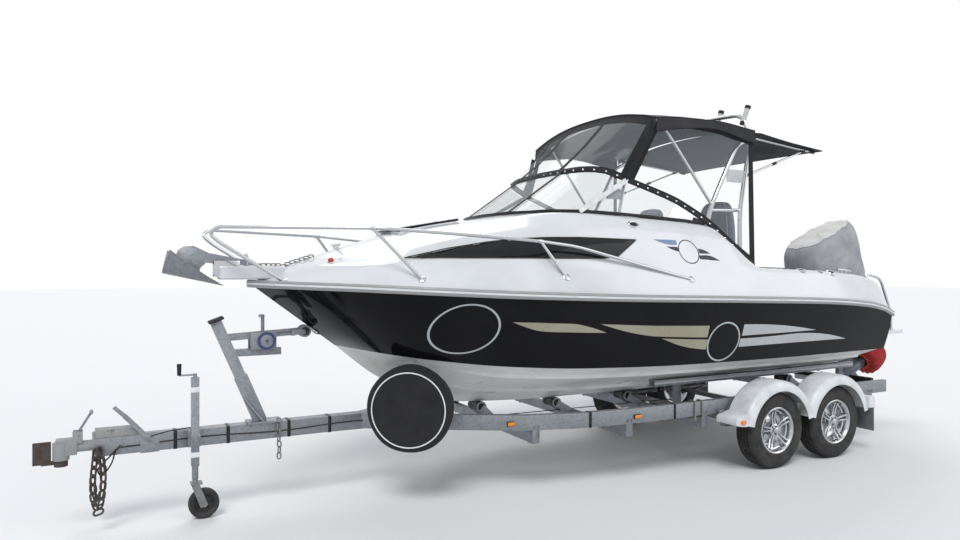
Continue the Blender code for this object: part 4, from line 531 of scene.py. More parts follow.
ROUGH_BOW = (0.15, 0.30, 0.45, 0.60, 0.72, 0.82, 0.91, 0.97, 1.0)
FINE_STATIONS = tuple(np.concatenate([
    np.linspace(-1.58, -1.10, 17), np.linspace(-1.0, 0.0, 11), np.linspace(0.05, 0.75, 21),
    np.linspace(0.85, 2.05, 15)]))
FINE_BOW = tuple(1 - (1 - np.linspace(0, 1, 37)[1:]) ** 1.35)
HULL_WALL = 0.014
WELL_HALF, WELL_FLOOR = 0.52, 1.165
COCKPIT_HALF, COCKPIT_AFT, COCKPIT_FRONT = 0.79, -0.93, 1.92
HATCH_X, HATCH_HALF = 2.86, 0.24
SIDE_WINDOW = ((3.20, 1.768), (2.92, 1.835), (2.65, 1.882), (2.44, 1.907), (2.20, 1.920),
               (1.93, 1.925), (1.43, 1.915), (1.64, 1.790), (1.78, 1.770))


def line_at(table, xs):
    """Monotone cubic through a line's points: Hermite pieces whose slopes are harmonic means."""
    table = np.array(table)
    x, values = table[:, 0], table[:, 1:]
    slope = np.diff(values, axis=0) / np.diff(x)[:, None]
    same = slope[1:] * slope[:-1] > 0
    inner = np.where(same, 2 * slope[1:] * slope[:-1] / np.where(same, slope[1:] + slope[:-1], 1), 0)
    tangent = np.vstack([slope[:1], inner, slope[-1:]])
    xs = np.asarray(xs, float)
    i = np.clip(np.searchsorted(x, xs, side="right") - 1, 0, len(x) - 2)
    h = (x[i + 1] - x[i])[:, None]
    t = (xs - x[i])[:, None] / h
    return np.column_stack([xs, (
        (2 * t ** 3 - 3 * t ** 2 + 1) * values[i] + (t ** 3 - 2 * t ** 2 + t) * h * tangent[i]
        + (3 * t ** 2 - 2 * t ** 3) * values[i + 1] + (t ** 3 - t ** 2) * h * tangent[i + 1])])


def boat_lines(stations, bow):
    """The boat's lines at stations, then at fractions of what each has left up to its own bow end."""
    def read(table):
        end = table[-1][0]
        return line_at(table, list(stations) + [SHOULDER_X + f * (end - SHOULDER_X) for f in bow])

    keel, chine, sheer = read(KEEL), read(CHINE), read(SHEER)
    knuckle, crease, coaming, centre = read(KNUCKLE), read(CREASE), read(COAMING), read(CENTRE)
    chine_in = chine - np.array([0, 0.045, 0.004]) * np.minimum(1, chine[:, 1:2] / 0.2)
    topside = chine + (sheer - chine) * 0.5 + np.array([0, 0.012, 0]) * np.minimum(1, sheer[:, 1:2] / 0.3)
    crown = centre + (coaming - centre) * 0.55 + np.array([0, 0, 0.012]) * np.minimum(
        1, coaming[:, 1:2] / 0.3)
    bottom = keel + (chine - keel) * 0.5
    bulge = np.interp(bottom[:, 0], [p[0] for p in BOTTOM_BULGE], [p[1] for p in BOTTOM_BULGE])
    bottom[:, 2] += bulge * np.minimum(1, bottom[:, 1] / 0.3)
    hull = np.stack([keel, bottom, chine_in, chine, topside, sheer], 1)
    deck = np.stack([sheer, knuckle, crease, coaming, crown, centre], 1)
    return hull, deck


def eased(lines, reaches, steps=5):
    """Each inner line of a skin replaced by a soft bend of the given reach; reach 0 keeps a corner."""
    columns = [lines[:, :1]]
    for j, reach in enumerate(reaches, 1):
        corner = lines[:, j]
        if not reach:
            columns.append(corner[:, None])
            continue
        ends = []
        for other in (lines[:, j - 1], lines[:, j + 1]):
            away = other - corner
            length = np.maximum(np.linalg.norm(away, axis=1, keepdims=True), 1e-9)
            ends.append(corner + away / length * np.minimum(reach, length * 0.45))
        for t in np.linspace(0, 1, steps):
            bend = ends[0] * (1 - t) ** 2 + corner * 2 * t * (1 - t) + ends[1] * t ** 2
            columns.append(bend[:, None])
    return np.concatenate(columns + [lines[:, -1:]], 1)


def full_rings(lines):
    """Port rows joined to their mirror image; a first or last line on the centre plane isn't doubled."""
    starts = 1 if np.allclose(lines[:, 0, 1], 0) else 0
    ends = -1 if np.allclose(lines[:, -1, 1], 0) else None
    return np.array([np.vstack([row, (row[starts:ends] * (1, -1, 1))[::-1]]) for row in lines])


def solid(name, rings):
    """A closed mesh object through rings, its points merged where the bow closes."""
    points, faces = grid(rings, wrap_columns=True)
    n, m = rings.shape[:2]
    faces.append(tuple(range(m)))
    mesh = bpy.data.meshes.new(name)
    if max(abs(rings[-1][:, 1])) > 1e-4:
        faces.append(tuple(range(n * m - 1, (n - 1) * m - 1, -1)))
    mesh.from_pydata([tuple(p) for p in points], [], faces)
    return cleaned(name, mesh)


def cleaned(name, mesh):
    bm = bmesh.new()
    bm.from_mesh(mesh)
    bmesh.ops.remove_doubles(bm, verts=bm.verts, dist=1e-5)
    bmesh.ops.recalc_face_normals(bm, faces=bm.faces)
    bm.to_mesh(mesh)
    bm.free()
    obj = bpy.data.objects.new(name, mesh)
    bpy.context.scene.collection.objects.link(obj)
    return obj


def helper(name, shape):
    mesh = bpy.data.meshes.new(name)
    mesh.from_pydata([tuple(p) for p in shape[0]], [], shape[1])
    return cleaned(name, mesh)


def box_cutter(name, low, high):
    return helper(name, round_box(low, high, 0))


def carved(base, cutters):
    """The base's mesh after its Booleans; base and cutters are removed."""
    for cutter in cutters:
        step = base.modifiers.new("carve", "BOOLEAN")
        step.operation = "DIFFERENCE"
        step.solver = "EXACT"
        step.object = cutter
    graph = bpy.context.evaluated_depsgraph_get()
    mesh = bpy.data.meshes.new_from_object(base.evaluated_get(graph))
    for obj in (base, *cutters):
        bpy.data.objects.remove(obj)
    return mesh


def inset(lines, wall):
    """The lines moved in by a wall's thickness, kept on the centre plane where they lie on it."""
    normal = np.cross(np.gradient(lines, axis=0), np.gradient(lines, axis=1))
    normal /= np.maximum(np.linalg.norm(normal, axis=2, keepdims=True), 1e-9)
    for column in (0, -1):
        if np.allclose(lines[:, column, 1], 0):
            normal[:, column, 1] = 0
            length = np.linalg.norm(normal[:, column], axis=1, keepdims=True)
            normal[:, column] /= np.maximum(length, 1e-9)
    return lines + wall * normal


ROUGH_HULL, ROUGH_DECK = boat_lines(ROUGH_STATIONS, ROUGH_BOW)
FINE_HULL, FINE_DECK = boat_lines(FINE_STATIONS, FINE_BOW)
HULL_SKIN = eased(FINE_HULL, (0.25, 0, 0, 0.18), 5)
DECK_SKIN = eased(FINE_DECK, (0.035, 0.03, 0.03, 0.20), 6)


def interior():
    rows = len(ROUGH_STATIONS) + ROUGH_BOW.index(0.72) + 1
    lines = inset(np.concatenate([ROUGH_HULL, ROUGH_DECK[:, 1:]], 1), HULL_WALL)[:rows]
    lines[0, :, 0] = TRANSOM_X + HULL_WALL
    return solid("inside", full_rings(lines))


def side_prism(outline, y_from, y_to):
    rings = [[(x, y, z) for x, z in outline] for y in (y_from, y_to)]
    return capped(rings)


def shrunk(outline, by):
    points = np.array(outline)
    away = points - points.mean(axis=0)
    length = np.linalg.norm(away, axis=1, keepdims=True)
    return points.mean(axis=0) + away * (1 - by / length)


def tree_of(mesh):
    bm = bmesh.new()
    bm.from_mesh(mesh)
    tree = BVHTree.FromBMesh(bm)
    bm.free()
    return tree


def on_side(x, z, lift=0.0, side=1):
    """A place on the hull's or deck's side seen square on, lifted off it, and the way it faces."""
    hit, normal = SKIN_TREE.ray_cast(Vector((x, side * 3.0, z)), Vector((0, -side, 0)))[:2]
    return np.array(hit + normal * lift), np.array(normal)


def on_deck(x, y, lift=0.0):
    """A place on the deck seen from above, lifted off it, and the way it faces."""
    hit, normal = SKIN_TREE.ray_cast(Vector((x, y, 4.0)), Vector((0, 0, -1)))[:2]
    return np.array(hit + normal * lift), np.array(normal)


def whole_skin():
    rings = full_rings(np.concatenate([HULL_SKIN, DECK_SKIN[:, 1:]], 1))
    outer = solid("skin", rings)
    tree = tree_of(outer.data)
    bpy.data.objects.remove(outer)
    return tree


SKIN_TREE = whole_skin()


def move_in(mesh):
    mesh.transform(Matrix.Translation((AXLE_X, 0, 0)))
    return mesh


STRAKE_HALF, STRAKE_DEEP, STRAKE_SUNK = 0.022, 0.022, 0.004
STRAKE_END, STRAKE_FADE = 2.95, 0.6
BOTTOM_COLUMNS = 8


def strake(share):
    """A spray strake under the bottom, at a share of the way from keel to chine, fading out at the bow."""
    rows = []
    for row in HULL_SKIN[1:]:
        x = row[0, 0]
        if x > STRAKE_END:
            break
        lines = row[:BOTTOM_COLUMNS]
        along = lines[:, 1] / max(lines[-1, 1], 1e-6)

        def place(part):
            return np.array([np.interp(part, along, lines[:, k]) for k in range(3)])

        width = STRAKE_HALF / lines[-1, 1]
        inner, outer, low = place(share - width), place(share + width), place(share + 0.6 * width)
        deep = STRAKE_DEEP * min(1.0, 0.25 + (STRAKE_END - x) / STRAKE_FADE)
        rows.append([inner + (0, 0, STRAKE_SUNK), outer + (0, 0, STRAKE_SUNK), low - (0, 0, deep)])
    return capped(rows)


def build_hull():
    """Black topsides over a white bottom: faces below the chine take the second material."""
    shell = solid("hull_shell", full_rings(HULL_SKIN))
    well = box_cutter("well", (TRANSOM_X - 0.1, -WELL_HALF, WELL_FLOOR), (COCKPIT_AFT, WELL_HALF, 2))
    mesh = carved(shell, (interior(), well))
    dressed_mesh("hull_shell", move_in(mesh), BLACK_GELCOAT, ROOT, ["hull"], angle=28)
    mesh.materials.append(BOTTOM_WHITE)
    for face in mesh.polygons:
        x, y, z = face.center
        line = line_at(CHINE, [min(x - AXLE_X, CHINE[-1][0])])[0]
        if z < line[2] + 0.001 and abs(y) < line[1] + 0.002:
            face.material_index = 1
    piece("hull_strakes", both_sides(merged(strake(0.36), strake(0.74))), BOTTOM_WHITE, angle=25)


def build_deck():
    shell = solid("deck_shell", full_rings(DECK_SKIN))
    cutters = [interior(), box_cutter("cockpit", (COCKPIT_AFT, -COCKPIT_HALF, 1.0),
                                      (COCKPIT_FRONT, COCKPIT_HALF, 3.0)),
               box_cutter("well", (TRANSOM_X - 0.1, -WELL_HALF, 1.0), (COCKPIT_AFT + 0.1, WELL_HALF, 3.0)),
               box_cutter("hatch", (HATCH_X - HATCH_HALF, -HATCH_HALF, 1.75),
                          (HATCH_X + HATCH_HALF, HATCH_HALF, 2.3)),
               helper("windows", side_prism(shrunk(SIDE_WINDOW, 0.02), -1.3, 1.3)),]
    mesh = carved(shell, cutters)
    dressed_mesh("deck_shell", move_in(mesh), WHITE_GELCOAT, ROOT, ["deck"], angle=30)
    edge = [(COCKPIT_AFT, WELL_HALF), (COCKPIT_AFT, COCKPIT_HALF), (-0.2, COCKPIT_HALF), (0.06, COCKPIT_HALF)]
    path = []
    for (xa, ya), (xb, yb) in zip(edge, edge[1:]):
        for t in np.linspace(0, 1, 14, endpoint=False):
            x, y = xa + (xb - xa) * t, ya + (yb - ya) * t
            path.append(on_deck(x, y, 0.001)[0])
    piece("cockpit_edge_trim", both_sides(pipe(path, 0.007, sides=10)), BLACK_PLASTIC)
    rims = []
    for side in (1, -1):
        lip = np.array([on_side(x, z, 0.0062, side)[0] for x, z in dense_loop(SIDE_WINDOW, 0.03)])
        rims.append(pipe(lip, 0.0035, sides=8, closed=True))
    piece("window_gaskets", merged(*rims), DARK_RUBBER)


def dense_loop(outline, step):
    """A closed outline with points no further apart than a step."""
    out = []
    points = [np.asarray(p, float) for p in outline]
    for a, b in zip(points, points[1:] + points[:1]):
        count = max(1, int(np.linalg.norm(b - a) / step))
        out += [a + (b - a) * i / count for i in range(count)]
    return out


def build_rub_rail():
    """A grey extrusion round the sheer with a white insert along its middle, whose white is a painted
    highlight line along the rail.
    """
    sheer = FINE_DECK[:, 0]
    path = np.vstack([sheer, (sheer[:-1] * (1, -1, 1))[::-1]])
    ahead = np.gradient(path[:, :2], axis=0)
    ahead /= np.linalg.norm(ahead, axis=1, keepdims=True)
    left = np.column_stack([-ahead[:, 1], ahead[:, 0], np.zeros(len(path))])
    up = np.array((0, 0, 1.0))

    def swept(profile):
        return capped([[p + n * u + up * v for u, v in profile] for p, n in zip(path, left)])

    body = [(0.0006, -0.0275), (0.012, -0.0275), (0.019, -0.022), (0.0215, -0.012), (0.018, -0.009),
            (0.018, 0.009), (0.0215, 0.012), (0.019, 0.022), (0.012, 0.0275), (0.0006, 0.0275)]
    piece("rub_rail_body", swept(body), RAIL_GREY, replaces=["rub_rail"], angle=50)
    # The white of this bead is a painted highlight along the rail's outer face.
    highlight_bead = [(0.0175, -0.0085), (0.0235, -0.006), (0.0240, 0.0), (0.0235, 0.006), (0.0175, 0.0085)]
    piece("rub_rail_painted_highlight", swept(highlight_bead), WHITE_PLASTIC)


def swoosh(points, name, finish, steps=60):
    """A stripe film on both sides of the boat: rows of x, upper z, lower z, laid just off the skin."""
    table = smooth_path(points, steps)
    shapes = []
    for side in (1, -1):
        rows = []
        for x, upper, lower in table:
            rows.append([on_side(x, lower + (upper - lower) * t, 0.0009, side)[0]
                         for t in np.linspace(0, 1, 4)])
        shapes.append(grid(rows))
    piece(name, merged(*shapes), finish)


def ring_film(x, z, radius, width, name, finish, tall=1.0):
    """A plain ring film on both sides of the boat, its height scaled by tall."""
    shapes = []
    for side in (1, -1):
        rows = []
        for a in np.linspace(0, 2 * math.pi, 49)[:-1]:
            rows.append([on_side(x + r * math.cos(a), z + r * tall * math.sin(a), 0.0012, side)[0]
                         for r in (radius - width, radius)])
        shapes.append(grid(rows, wrap_rows=True))
    piece(name, merged(*shapes), finish)


# Canopy, curtains and other cloth

ROOF = ((1.16, 0.90, 2.895, 0.13), (0.95, 0.92, 2.915, 0.135), (0.55, 0.93, 2.92, 0.13),
        (0.09, 0.93, 2.88, 0.12))
SHADE = ((-0.02, 0.90, 2.87, 0.09), (-0.45, 0.90, 2.815, 0.04), (-0.85, 0.88, 2.785, 0.01))
SCREEN = ((0.66, 0.855, 0.70, 0.850, 2.150), (1.00, 0.850, 0.89, 0.840, 2.240),
          (1.45, 0.845, 1.13, 0.810, 2.325), (1.84, 0.815, 1.354, 0.770, 2.400),
          (2.02, 0.730, 1.520, 0.710, 2.465), (2.13, 0.580, 1.630, 0.580, 2.487),
          (2.21, 0.350, 1.685, 0.350, 2.492), (2.24, 0.0, 1.705, 0.0, 2.495))
WING_RAIL = ((0.10, 0.935), (0.34, 0.905), (0.55, 0.872))
VALANCE = 0.105


def cloth(name, shape, finish, body=ROOT, replaces=()):
    """Cloth: made like any other piece, with smooth shading up to 60 degrees between faces.
    Cloth with its declared cut size; its area is read off the surface it was shaped to.
    """
    obj = piece(name, shape, finish, body, replaces, angle=60)
    return obj


def roof_rows(table, columns, rows, sag, lift=0.0):
    """z = edge + crown (1 - |v|^2.4) - sag between bows, plus fine tension ripples; v runs edge to edge."""
    table = np.array(table)[::-1] if table[0][0] > table[-1][0] else np.array(table)
    xs = np.linspace(table[0][0], table[-1][0], rows)
    data = line_at(table, xs)
    v = np.linspace(-1, 1, columns)
    out = []
    for i, (x, half, edge, crown) in enumerate(data):
        t = (i / (rows - 1) * 2) % 1.0
        dip = sag * math.sin(math.pi * t) * (1 - v ** 4)
        ripple = 0.0025 * np.sin(17 * v + 5 * x) * np.sin(math.pi * i / (rows - 1))
        z = edge + crown * (1 - np.abs(v) ** 2.4) - dip + ripple * (1 - v ** 8) + lift
        out.append(np.stack([np.full_like(v, x), half * v, z], 1))
    return np.array(out)


def valance_drop(i, count):
    """How far the valance hangs at point i of count along its edge: longest at both ends."""
    return VALANCE * (0.82 + 0.18 * math.cos(i / (count - 1) * 2 * math.pi))


def build_roof():
    """Canopy over two bows: shallow sag between them, a hanging valance, welted seams and hems."""
    top = roof_rows(ROOF, 61, 49, 0.009)
    skirt = []
    drop = np.linspace(0, 1, 7)
    for edge_row, side in ((top[:, 0], -1), (top[:, -1], 1)):
        out = []
        for i, p in enumerate(edge_row):
            wave = 0.005 * math.sin(9.0 * p[0] + side) + 0.003 * math.sin(23 * p[0])
            tall = valance_drop(i, len(edge_row))
            out.append([p + (0, side * (0.006 + wave * d), -tall * d) for d in drop])
        skirt.append(grid(out))
    fore = [[p + (0.010 * d, 0, -0.055 * d) for d in drop] for p in top[-1]]
    aft = [[p + (-0.006 * d, 0, -0.05 * d) for d in drop] for p in top[0]]
    sheet = merged(grid(top), *skirt, grid(fore), grid(aft))
    hems = []
    for out, side in ((top[:, 0], -1), (top[:, -1], 1)):
        path = [p + (0, side * 0.008, -valance_drop(i, len(out))) for i, p in enumerate(out)]
        hems.append(pipe(path, 0.004, sides=8))
        hems.append(pipe([p + (0, side * 0.004, 0.001) for p in out], 0.0045, sides=8))
    for row, reach in ((top[-1], 0.010), (top[0], -0.006)):
        hems.append(pipe([p + (reach, 0, -0.054 if reach > 0 else -0.05) for p in row], 0.004, sides=8))
        hems.append(pipe([p + (0, 0, 0.002) for p in row], 0.0045, sides=8))
    for share in (0.34, 0.68):
        row = top[int(share * 48)]
        hems.append(pipe([p + (0, 0, 0.001) for p in row], 0.003, sides=6))
    for column in (12, 48):
        hems.append(pipe([p + (0, 0, 0.001) for p in top[:, column]], 0.0025, sides=6))
    seams = piece("canopy_seams", merged(*hems), CANVAS_EDGE)
    cloth("canopy_cloth", sheet, CANVAS, replaces=["canopy_roof"])
    shade = roof_rows(SHADE, 41, 31, 0.010)
    hems = [pipe([p + (0, 0, 0.001) for p in row], 0.005, sides=8)
            for row in (shade[0], shade[-1], shade[:, 0], shade[:, -1])]
    shade_hems = merged(*hems, pipe([p + (0, 0, 0.001) for p in shade[15]], 0.0025, sides=6))
    hem = piece("shade_hems", shade_hems, CANVAS_EDGE)
    cloth("shade_cloth", grid(shade), CANVAS,
          replaces=["aft_shade"])


def rail_line():
    """The windscreen's top rail, port side: up the wing's slope, then along the glass to the centre."""
    rows = np.array(SCREEN)
    table = np.column_stack([np.arange(len(rows)), rows])
    smooth = line_at(table, np.linspace(0, len(rows) - 1, 15))[:, 1:]
    wing = [on_deck(x, y)[0] + (0, 0, 0.018) for x, y in WING_RAIL]
    return np.vstack([wing, smooth[:, 2:]])


def roof_edge(x, y):
    table = np.array(ROOF)[::-1]
    half, edge, crown = (np.interp(x, table[:, 0], table[:, i]) for i in (1, 2, 3))
    return half, edge + crown * (1 - min(1.0, abs(y) / half) ** 2.4)


def spread(path, count):
    """A path sampled evenly along its length."""
    path = np.asarray(path, float)
    along = np.concatenate([[0], np.cumsum(np.linalg.norm(np.diff(path, axis=0), axis=1))])
    return np.stack([np.interp(np.linspace(0, along[-1], count), along, path[:, k]) for k in range(3)], 1)


def curtain(lower, upper, count, rows, billow, seed, fold=0.006):
    """A hanging sheet between two edges: straight lines bellied out, with shallow diagonal creases."""
    low, high = spread(smooth_path(lower, 80), count), spread(smooth_path(upper, 80), count)
    v = np.linspace(0, 1, rows)[None, :, None]
    flat = low[:, None] * (1 - v) + high[:, None] * v
    normal = np.cross(np.gradient(flat, axis=0), np.gradient(flat, axis=1))
    normal /= np.linalg.norm(normal, axis=2, keepdims=True)
    u = np.linspace(0, 1, count)[:, None]
    w = np.linspace(0, 1, rows)[None, :]
    rng = np.random.default_rng(seed)
    push = billow * np.sin(math.pi * w) * np.sin(math.pi * u) ** 0.5
    for _ in range(5):
        slope, shift = rng.uniform(-1.2, 1.2), rng.uniform(0.1, 0.9)
        line = u - shift - slope * (w - 0.5) * 0.6
        push = push + fold * rng.uniform(0.5, 1.0) * np.exp(-(line / 0.035) ** 2) * np.sin(math.pi * w)
    return flat + normal * push[:, :, None], normal


def lifted_strip(surface, normal, rows, columns, off, thick=0.0022):
    """A border laid on a stretch of a curtain, just off it on both faces."""
    a = surface[rows, columns] + normal[rows, columns] * (off + thick)
    b = surface[rows, columns] - normal[rows, columns] * off
    front, back = grid(a), grid(b)
    n, m = a.shape[:2]
    edge = list(range(m)) + [i * m + m - 1 for i in range(1, n)] + \
        [(n - 1) * m + j for j in range(m - 2, -1, -1)] + [i * m for i in range(n - 2, 0, -1)]
    total = n * m
    faces = front[1] + [tuple(i + total for i in loop[::-1]) for loop in back[1]]
    faces += [(a0, b0, b0 + total, a0 + total) for a0, b0 in zip(edge, edge[1:] + edge[:1])]
    return np.vstack([front[0], back[0]]), faces


def snap_studs(surface, normal, cells, lift):
    """Small round studs on cells of a curtain's grid, lifted off its face."""
    return [button(normal[c], surface[c] + normal[c] * lift, 0.009, 0.005) for c in cells]


def build_curtains():
    """Clear side and front curtains with cloth borders, zips and snap studs along the windscreen's rail."""
    rail = rail_line()
    corner = len(WING_RAIL) + 6
    side_x = np.linspace(ROOF[-1][0] + 0.02, ROOF[0][0] - 0.03, corner + 1)
    lower = [p + (0, 0.003, 0.012) for p in rail[:corner + 1]]
    upper = [(x, roof_edge(x, 0)[0] - 0.008, roof_edge(x, roof_edge(x, 0)[0])[1] - 0.012) for x in side_x]
    surface, normal = curtain(lower, upper, 70, 60, 0.012, 3)
    borders = merged(
        lifted_strip(surface, normal, slice(0, 4), slice(0, 60), 0.0012),
        lifted_strip(surface, normal, slice(66, 70), slice(0, 60), 0.0012),
        lifted_strip(surface, normal, slice(0, 70), slice(0, 3), 0.0014),
        lifted_strip(surface, normal, slice(0, 70), slice(53, 60), 0.0014))
    studs = snap_studs(surface, normal, [(i, 1) for i in range(3, 68, 6)], 0.0034)
    studs += snap_studs(surface, normal, [(1, j) for j in range(6, 56, 9)], 0.0032)
    for _, word, turn in SIDES:
        trim = piece("side_curtain_border_" + word, turn(borders), CANVAS_EDGE)
        snaps = piece("side_curtain_snaps_" + word, turn(merged(*studs)), STAINLESS)
        cloth("side_curtain_clear_" + word, turn(grid(surface)), CLEAR_VINYL,
              replaces=["side_curtain_" + word])
    first = rail[corner] * 0.94 + rail[corner + 1] * 0.06
    port = np.vstack([first, rail[corner + 1:]])
    lower = np.vstack([port, (port[:-1] * (1, -1, 1))[::-1]]) + (0.004, 0, 0.012)
    front_x, reach = ROOF[0][0] + 0.006, ROOF[0][1] * 0.965
    upper = [(front_x, reach * v, roof_edge(ROOF[0][0], reach * v)[1] - 0.020)
             for v in np.linspace(1, -1, len(lower))]
    surface, normal = curtain(lower, upper, 141, 40, 0.020, 5, 0.009)
    zips = [0, 46, 92, 136]
    strips = [lifted_strip(surface, normal, slice(k, k + 5), slice(0, 40), 0.0012) for k in zips]
    strips += [lifted_strip(surface, normal, slice(0, 141), slice(0, 3), 0.0014),
               lifted_strip(surface, normal, slice(0, 141), slice(35, 40), 0.0014)]
    trim = piece("front_curtain_border", merged(*strips), CANVAS_EDGE)
    studs = snap_studs(surface, normal, [(i, 1) for i in range(4, 138, 7)], 0.0034)
    pulls = [set_at(round_box((-0.004, -0.012, 0), (0.004, 0.012, 0.004), 0.001),
                    facing(normal[k + 2, 30], surface[k + 2, 30] + normal[k + 2, 30] * 0.0036)) for k in zips]
    snaps = piece("front_curtain_snaps", merged(*studs, *pulls), STAINLESS)
    cloth("front_curtain_clear", grid(surface), CLEAR_VINYL,
          replaces=["front_curtain"])


TILT_PIVOT = (-1.87, 0.0, 1.20)
TRIM_ANGLE = math.radians(21.6)
OUTBOARD = Matrix.Translation(TILT_PIVOT) @ Matrix.Rotation(TRIM_ANGLE, 4, "Y")
SHAFT = 0.85


def squircle(count, power=0.6):
    turn = full_turn(count)
    c, s = np.cos(turn), np.sin(turn)
    return np.stack([np.copysign(np.abs(c) ** power, c), np.copysign(np.abs(s) ** power, s)], 1)


def build_engine_cover():
    """A loose cloth cover: rounded rings over the engine, pushed in and out by folds that grow downwards."""
    table = ((0.130, 0.075, -0.820, 0.262), (0.30, 0.095, -0.845, 0.275), (0.50, 0.095, -0.855, 0.275),
             (0.62, 0.085, -0.860, 0.268), (0.705, 0.060, -0.855, 0.250), (0.760, 0.015, -0.830, 0.215),
             (0.790, -0.05, -0.775, 0.165), (0.802, -0.14, -0.680, 0.105))
    rows = smooth_path(table, 46)
    count = 112
    turn = full_turn(count)
    shape = squircle(count, 0.68)
    rings = []
    for z, front, back, half in rows:
        middle, reach = (front + back) / 2, (front - back) / 2
        down = np.clip((0.70 - z) / 0.55, 0, 1)
        folds = (0.011 * np.sin(7 * turn + 1.3 * np.sin(3 * turn)) + 0.007 * np.sin(13 * turn + 8 * z)
                 + 0.004 * np.sin(23 * turn + 3)) * down
        lumps = 0.006 * np.sin(3 * turn + 9 * z) * math.sin(5 * z)
        dents = (0.008 * np.sin(9 * shape[:, 0] + 1.0) * np.cos(4 * shape[:, 1])
                 + 0.005 * np.sin(23 * shape[:, 0] + 11 * shape[:, 1]))
        sag = np.clip((z - 0.66) / 0.07, 0, 1) * dents
        rise = 0.030 * np.clip((z - 0.45) / 0.25, 0, 1) * (0.5 - 0.5 * shape[:, 0])
        hem = -0.012 * np.clip((0.19 - z) / 0.06, 0, 1)
        push = folds + lumps + hem - 0.012
        rings.append(np.stack([
            middle + (reach + push) * shape[:, 0], (half + push) * shape[:, 1],
            z - 0.004 + 0.004 * np.sin(5 * turn) * down + rise + sag], 1))
    top_ring = rings[-1]
    centre = top_ring.mean(0)
    for share in (0.75, 0.5, 0.25, 0.02):
        rings.append(centre + (top_ring - centre) * share + (0, 0, 0.006 * (1 - share)))
    seam_at = 33
    body = "outboard_steer"
    lower = grid(np.array(rings[:seam_at + 1]), wrap_columns=True)
    upper = grid(np.array(rings[seam_at:]), wrap_columns=True)
    seam = pipe(rings[seam_at] + (0, 0, 0.001), 0.0045, sides=8, closed=True)
    hem = pipe(rings[1], 0.006, sides=8, closed=True)
    below = rings[seam_at - 2:2:-1]
    cross = [ring[0] + (0.002, 0, 0) for ring in below]
    back = [ring[count // 2] - (0.002, 0, 0) for ring in below]
    toggle = round_box((0.028, 0.03, 0.10), (0.046, 0.045, 0.145), 0.004)
    cord_tail = pipe([(0.036, 0.036, 0.142), (0.040, 0.038, 0.10), (0.036, 0.045, 0.045)], 0.0025, 0.02, 8)
    # Seams, hem and sides take the cover cloth painted darker as shade; the crown keeps the cloth's own
    # lighter colour.
    seams = piece("cover_seams", set_at(merged(seam, hem, pipe(cross, 0.003, sides=6),
                                               pipe(back, 0.003, sides=6)), OUTBOARD), COVER_SIDES_PAINTED_SHADE, body)
    tie = piece("cover_drawstring", set_at(merged(toggle, cord_tail), OUTBOARD), BLACK_PLASTIC, body)
    cloth("cover_sides", set_at(lower, OUTBOARD), COVER_SIDES_PAINTED_SHADE, body,
          replaces=["engine_cover"])
    cloth("cover_crown", set_at(upper, OUTBOARD), COVER_TOP, body)


def build_prop_bag():
    """A cloth bag tied over the propeller: a turned sack with gathers that tighten at its neck."""
    profile = [(0.070, -0.034), (0.085, -0.033), (0.120, -0.027), (0.155, -0.014), (0.1725, 0.008),
               (0.176, 0.05), (0.174, 0.10), (0.165, 0.165), (0.150, 0.22), (0.118, 0.265), (0.085, 0.29),
               (0.04, 0.299), (0.0, 0.30)]
    rows = smooth_path([(r, 0, z) for r, z in profile], 34)
    turn = full_turn(84)
    rings = []
    for r, _, z in rows:
        gather = 0.009 * np.sin(15 * turn + 2 * np.sin(2 * turn)) * np.clip((0.10 - z) / 0.10, 0, 1)
        sag = -0.008 * np.sin(2 * turn + 12 * z) * np.sin(math.pi * np.clip(z / 0.3, 0, 1))
        radius = np.maximum(r + (gather + sag - 0.004) * min(1, r / 0.05), 0.0)
        pucker = 0.006 * np.sin(21 * turn) * np.clip((0.0 - z) / 0.02, 0, 1)
        rings.append(ring_round(radius, turn, z + pucker))
    lie = OUTBOARD @ Matrix.Translation((-0.60, 0, -SHAFT)) @ turn_by(-90, "Y")
    band = pipe(rings[3] * (1.004, 1.004, 1), 0.005, sides=8, closed=True)
    seam = merged(*[pipe([ring[k] * (1.004, 1.004, 1) for ring in rings[1:-1]], 0.0025, sides=6)
                    for k in (0, 42)])
    trim = piece("prop_bag_seams", set_at(merged(band, seam), lie), STRAP_RED, "propeller")
    inner = [ring * (0.992, 0.992, 1) - (0, 0, 0.0012 * math.copysign(1, ring[0][2] - 0.05))
             for ring in rings[:-1]]
    both = np.array(inner[::-1] + rings[:-1])
    cloth("prop_bag_cloth", set_at(capped(both), lie), RED_CLOTH,
          "propeller", replaces=["prop_bag"])


def domed(ring, height):
    """Rings that close the end of a stuffed body, rising by height towards its middle."""
    middle = ring.mean(0)
    return [middle + (ring - middle) * s + (0, 0, height * (1 - s ** 2)) for s in (0.85, 0.6, 0.3, 0.02)]


def cushion(table, count, crown, power=0.55):
    """A stuffed body through rounded rings (z, x middle, x half, y middle, y half), its ends domed."""
    shape = squircle(count, power)
    rings = []
    for z, mx, hx, my, hy in table:
        rings.append([(mx + hx * u, my + hy * v, z) for u, v in shape])
    rings = np.array(rings)
    low, high = domed(rings[0], -crown[0])[::-1], domed(rings[-1], crown[1])
    return capped(np.array(low + list(rings) + high))


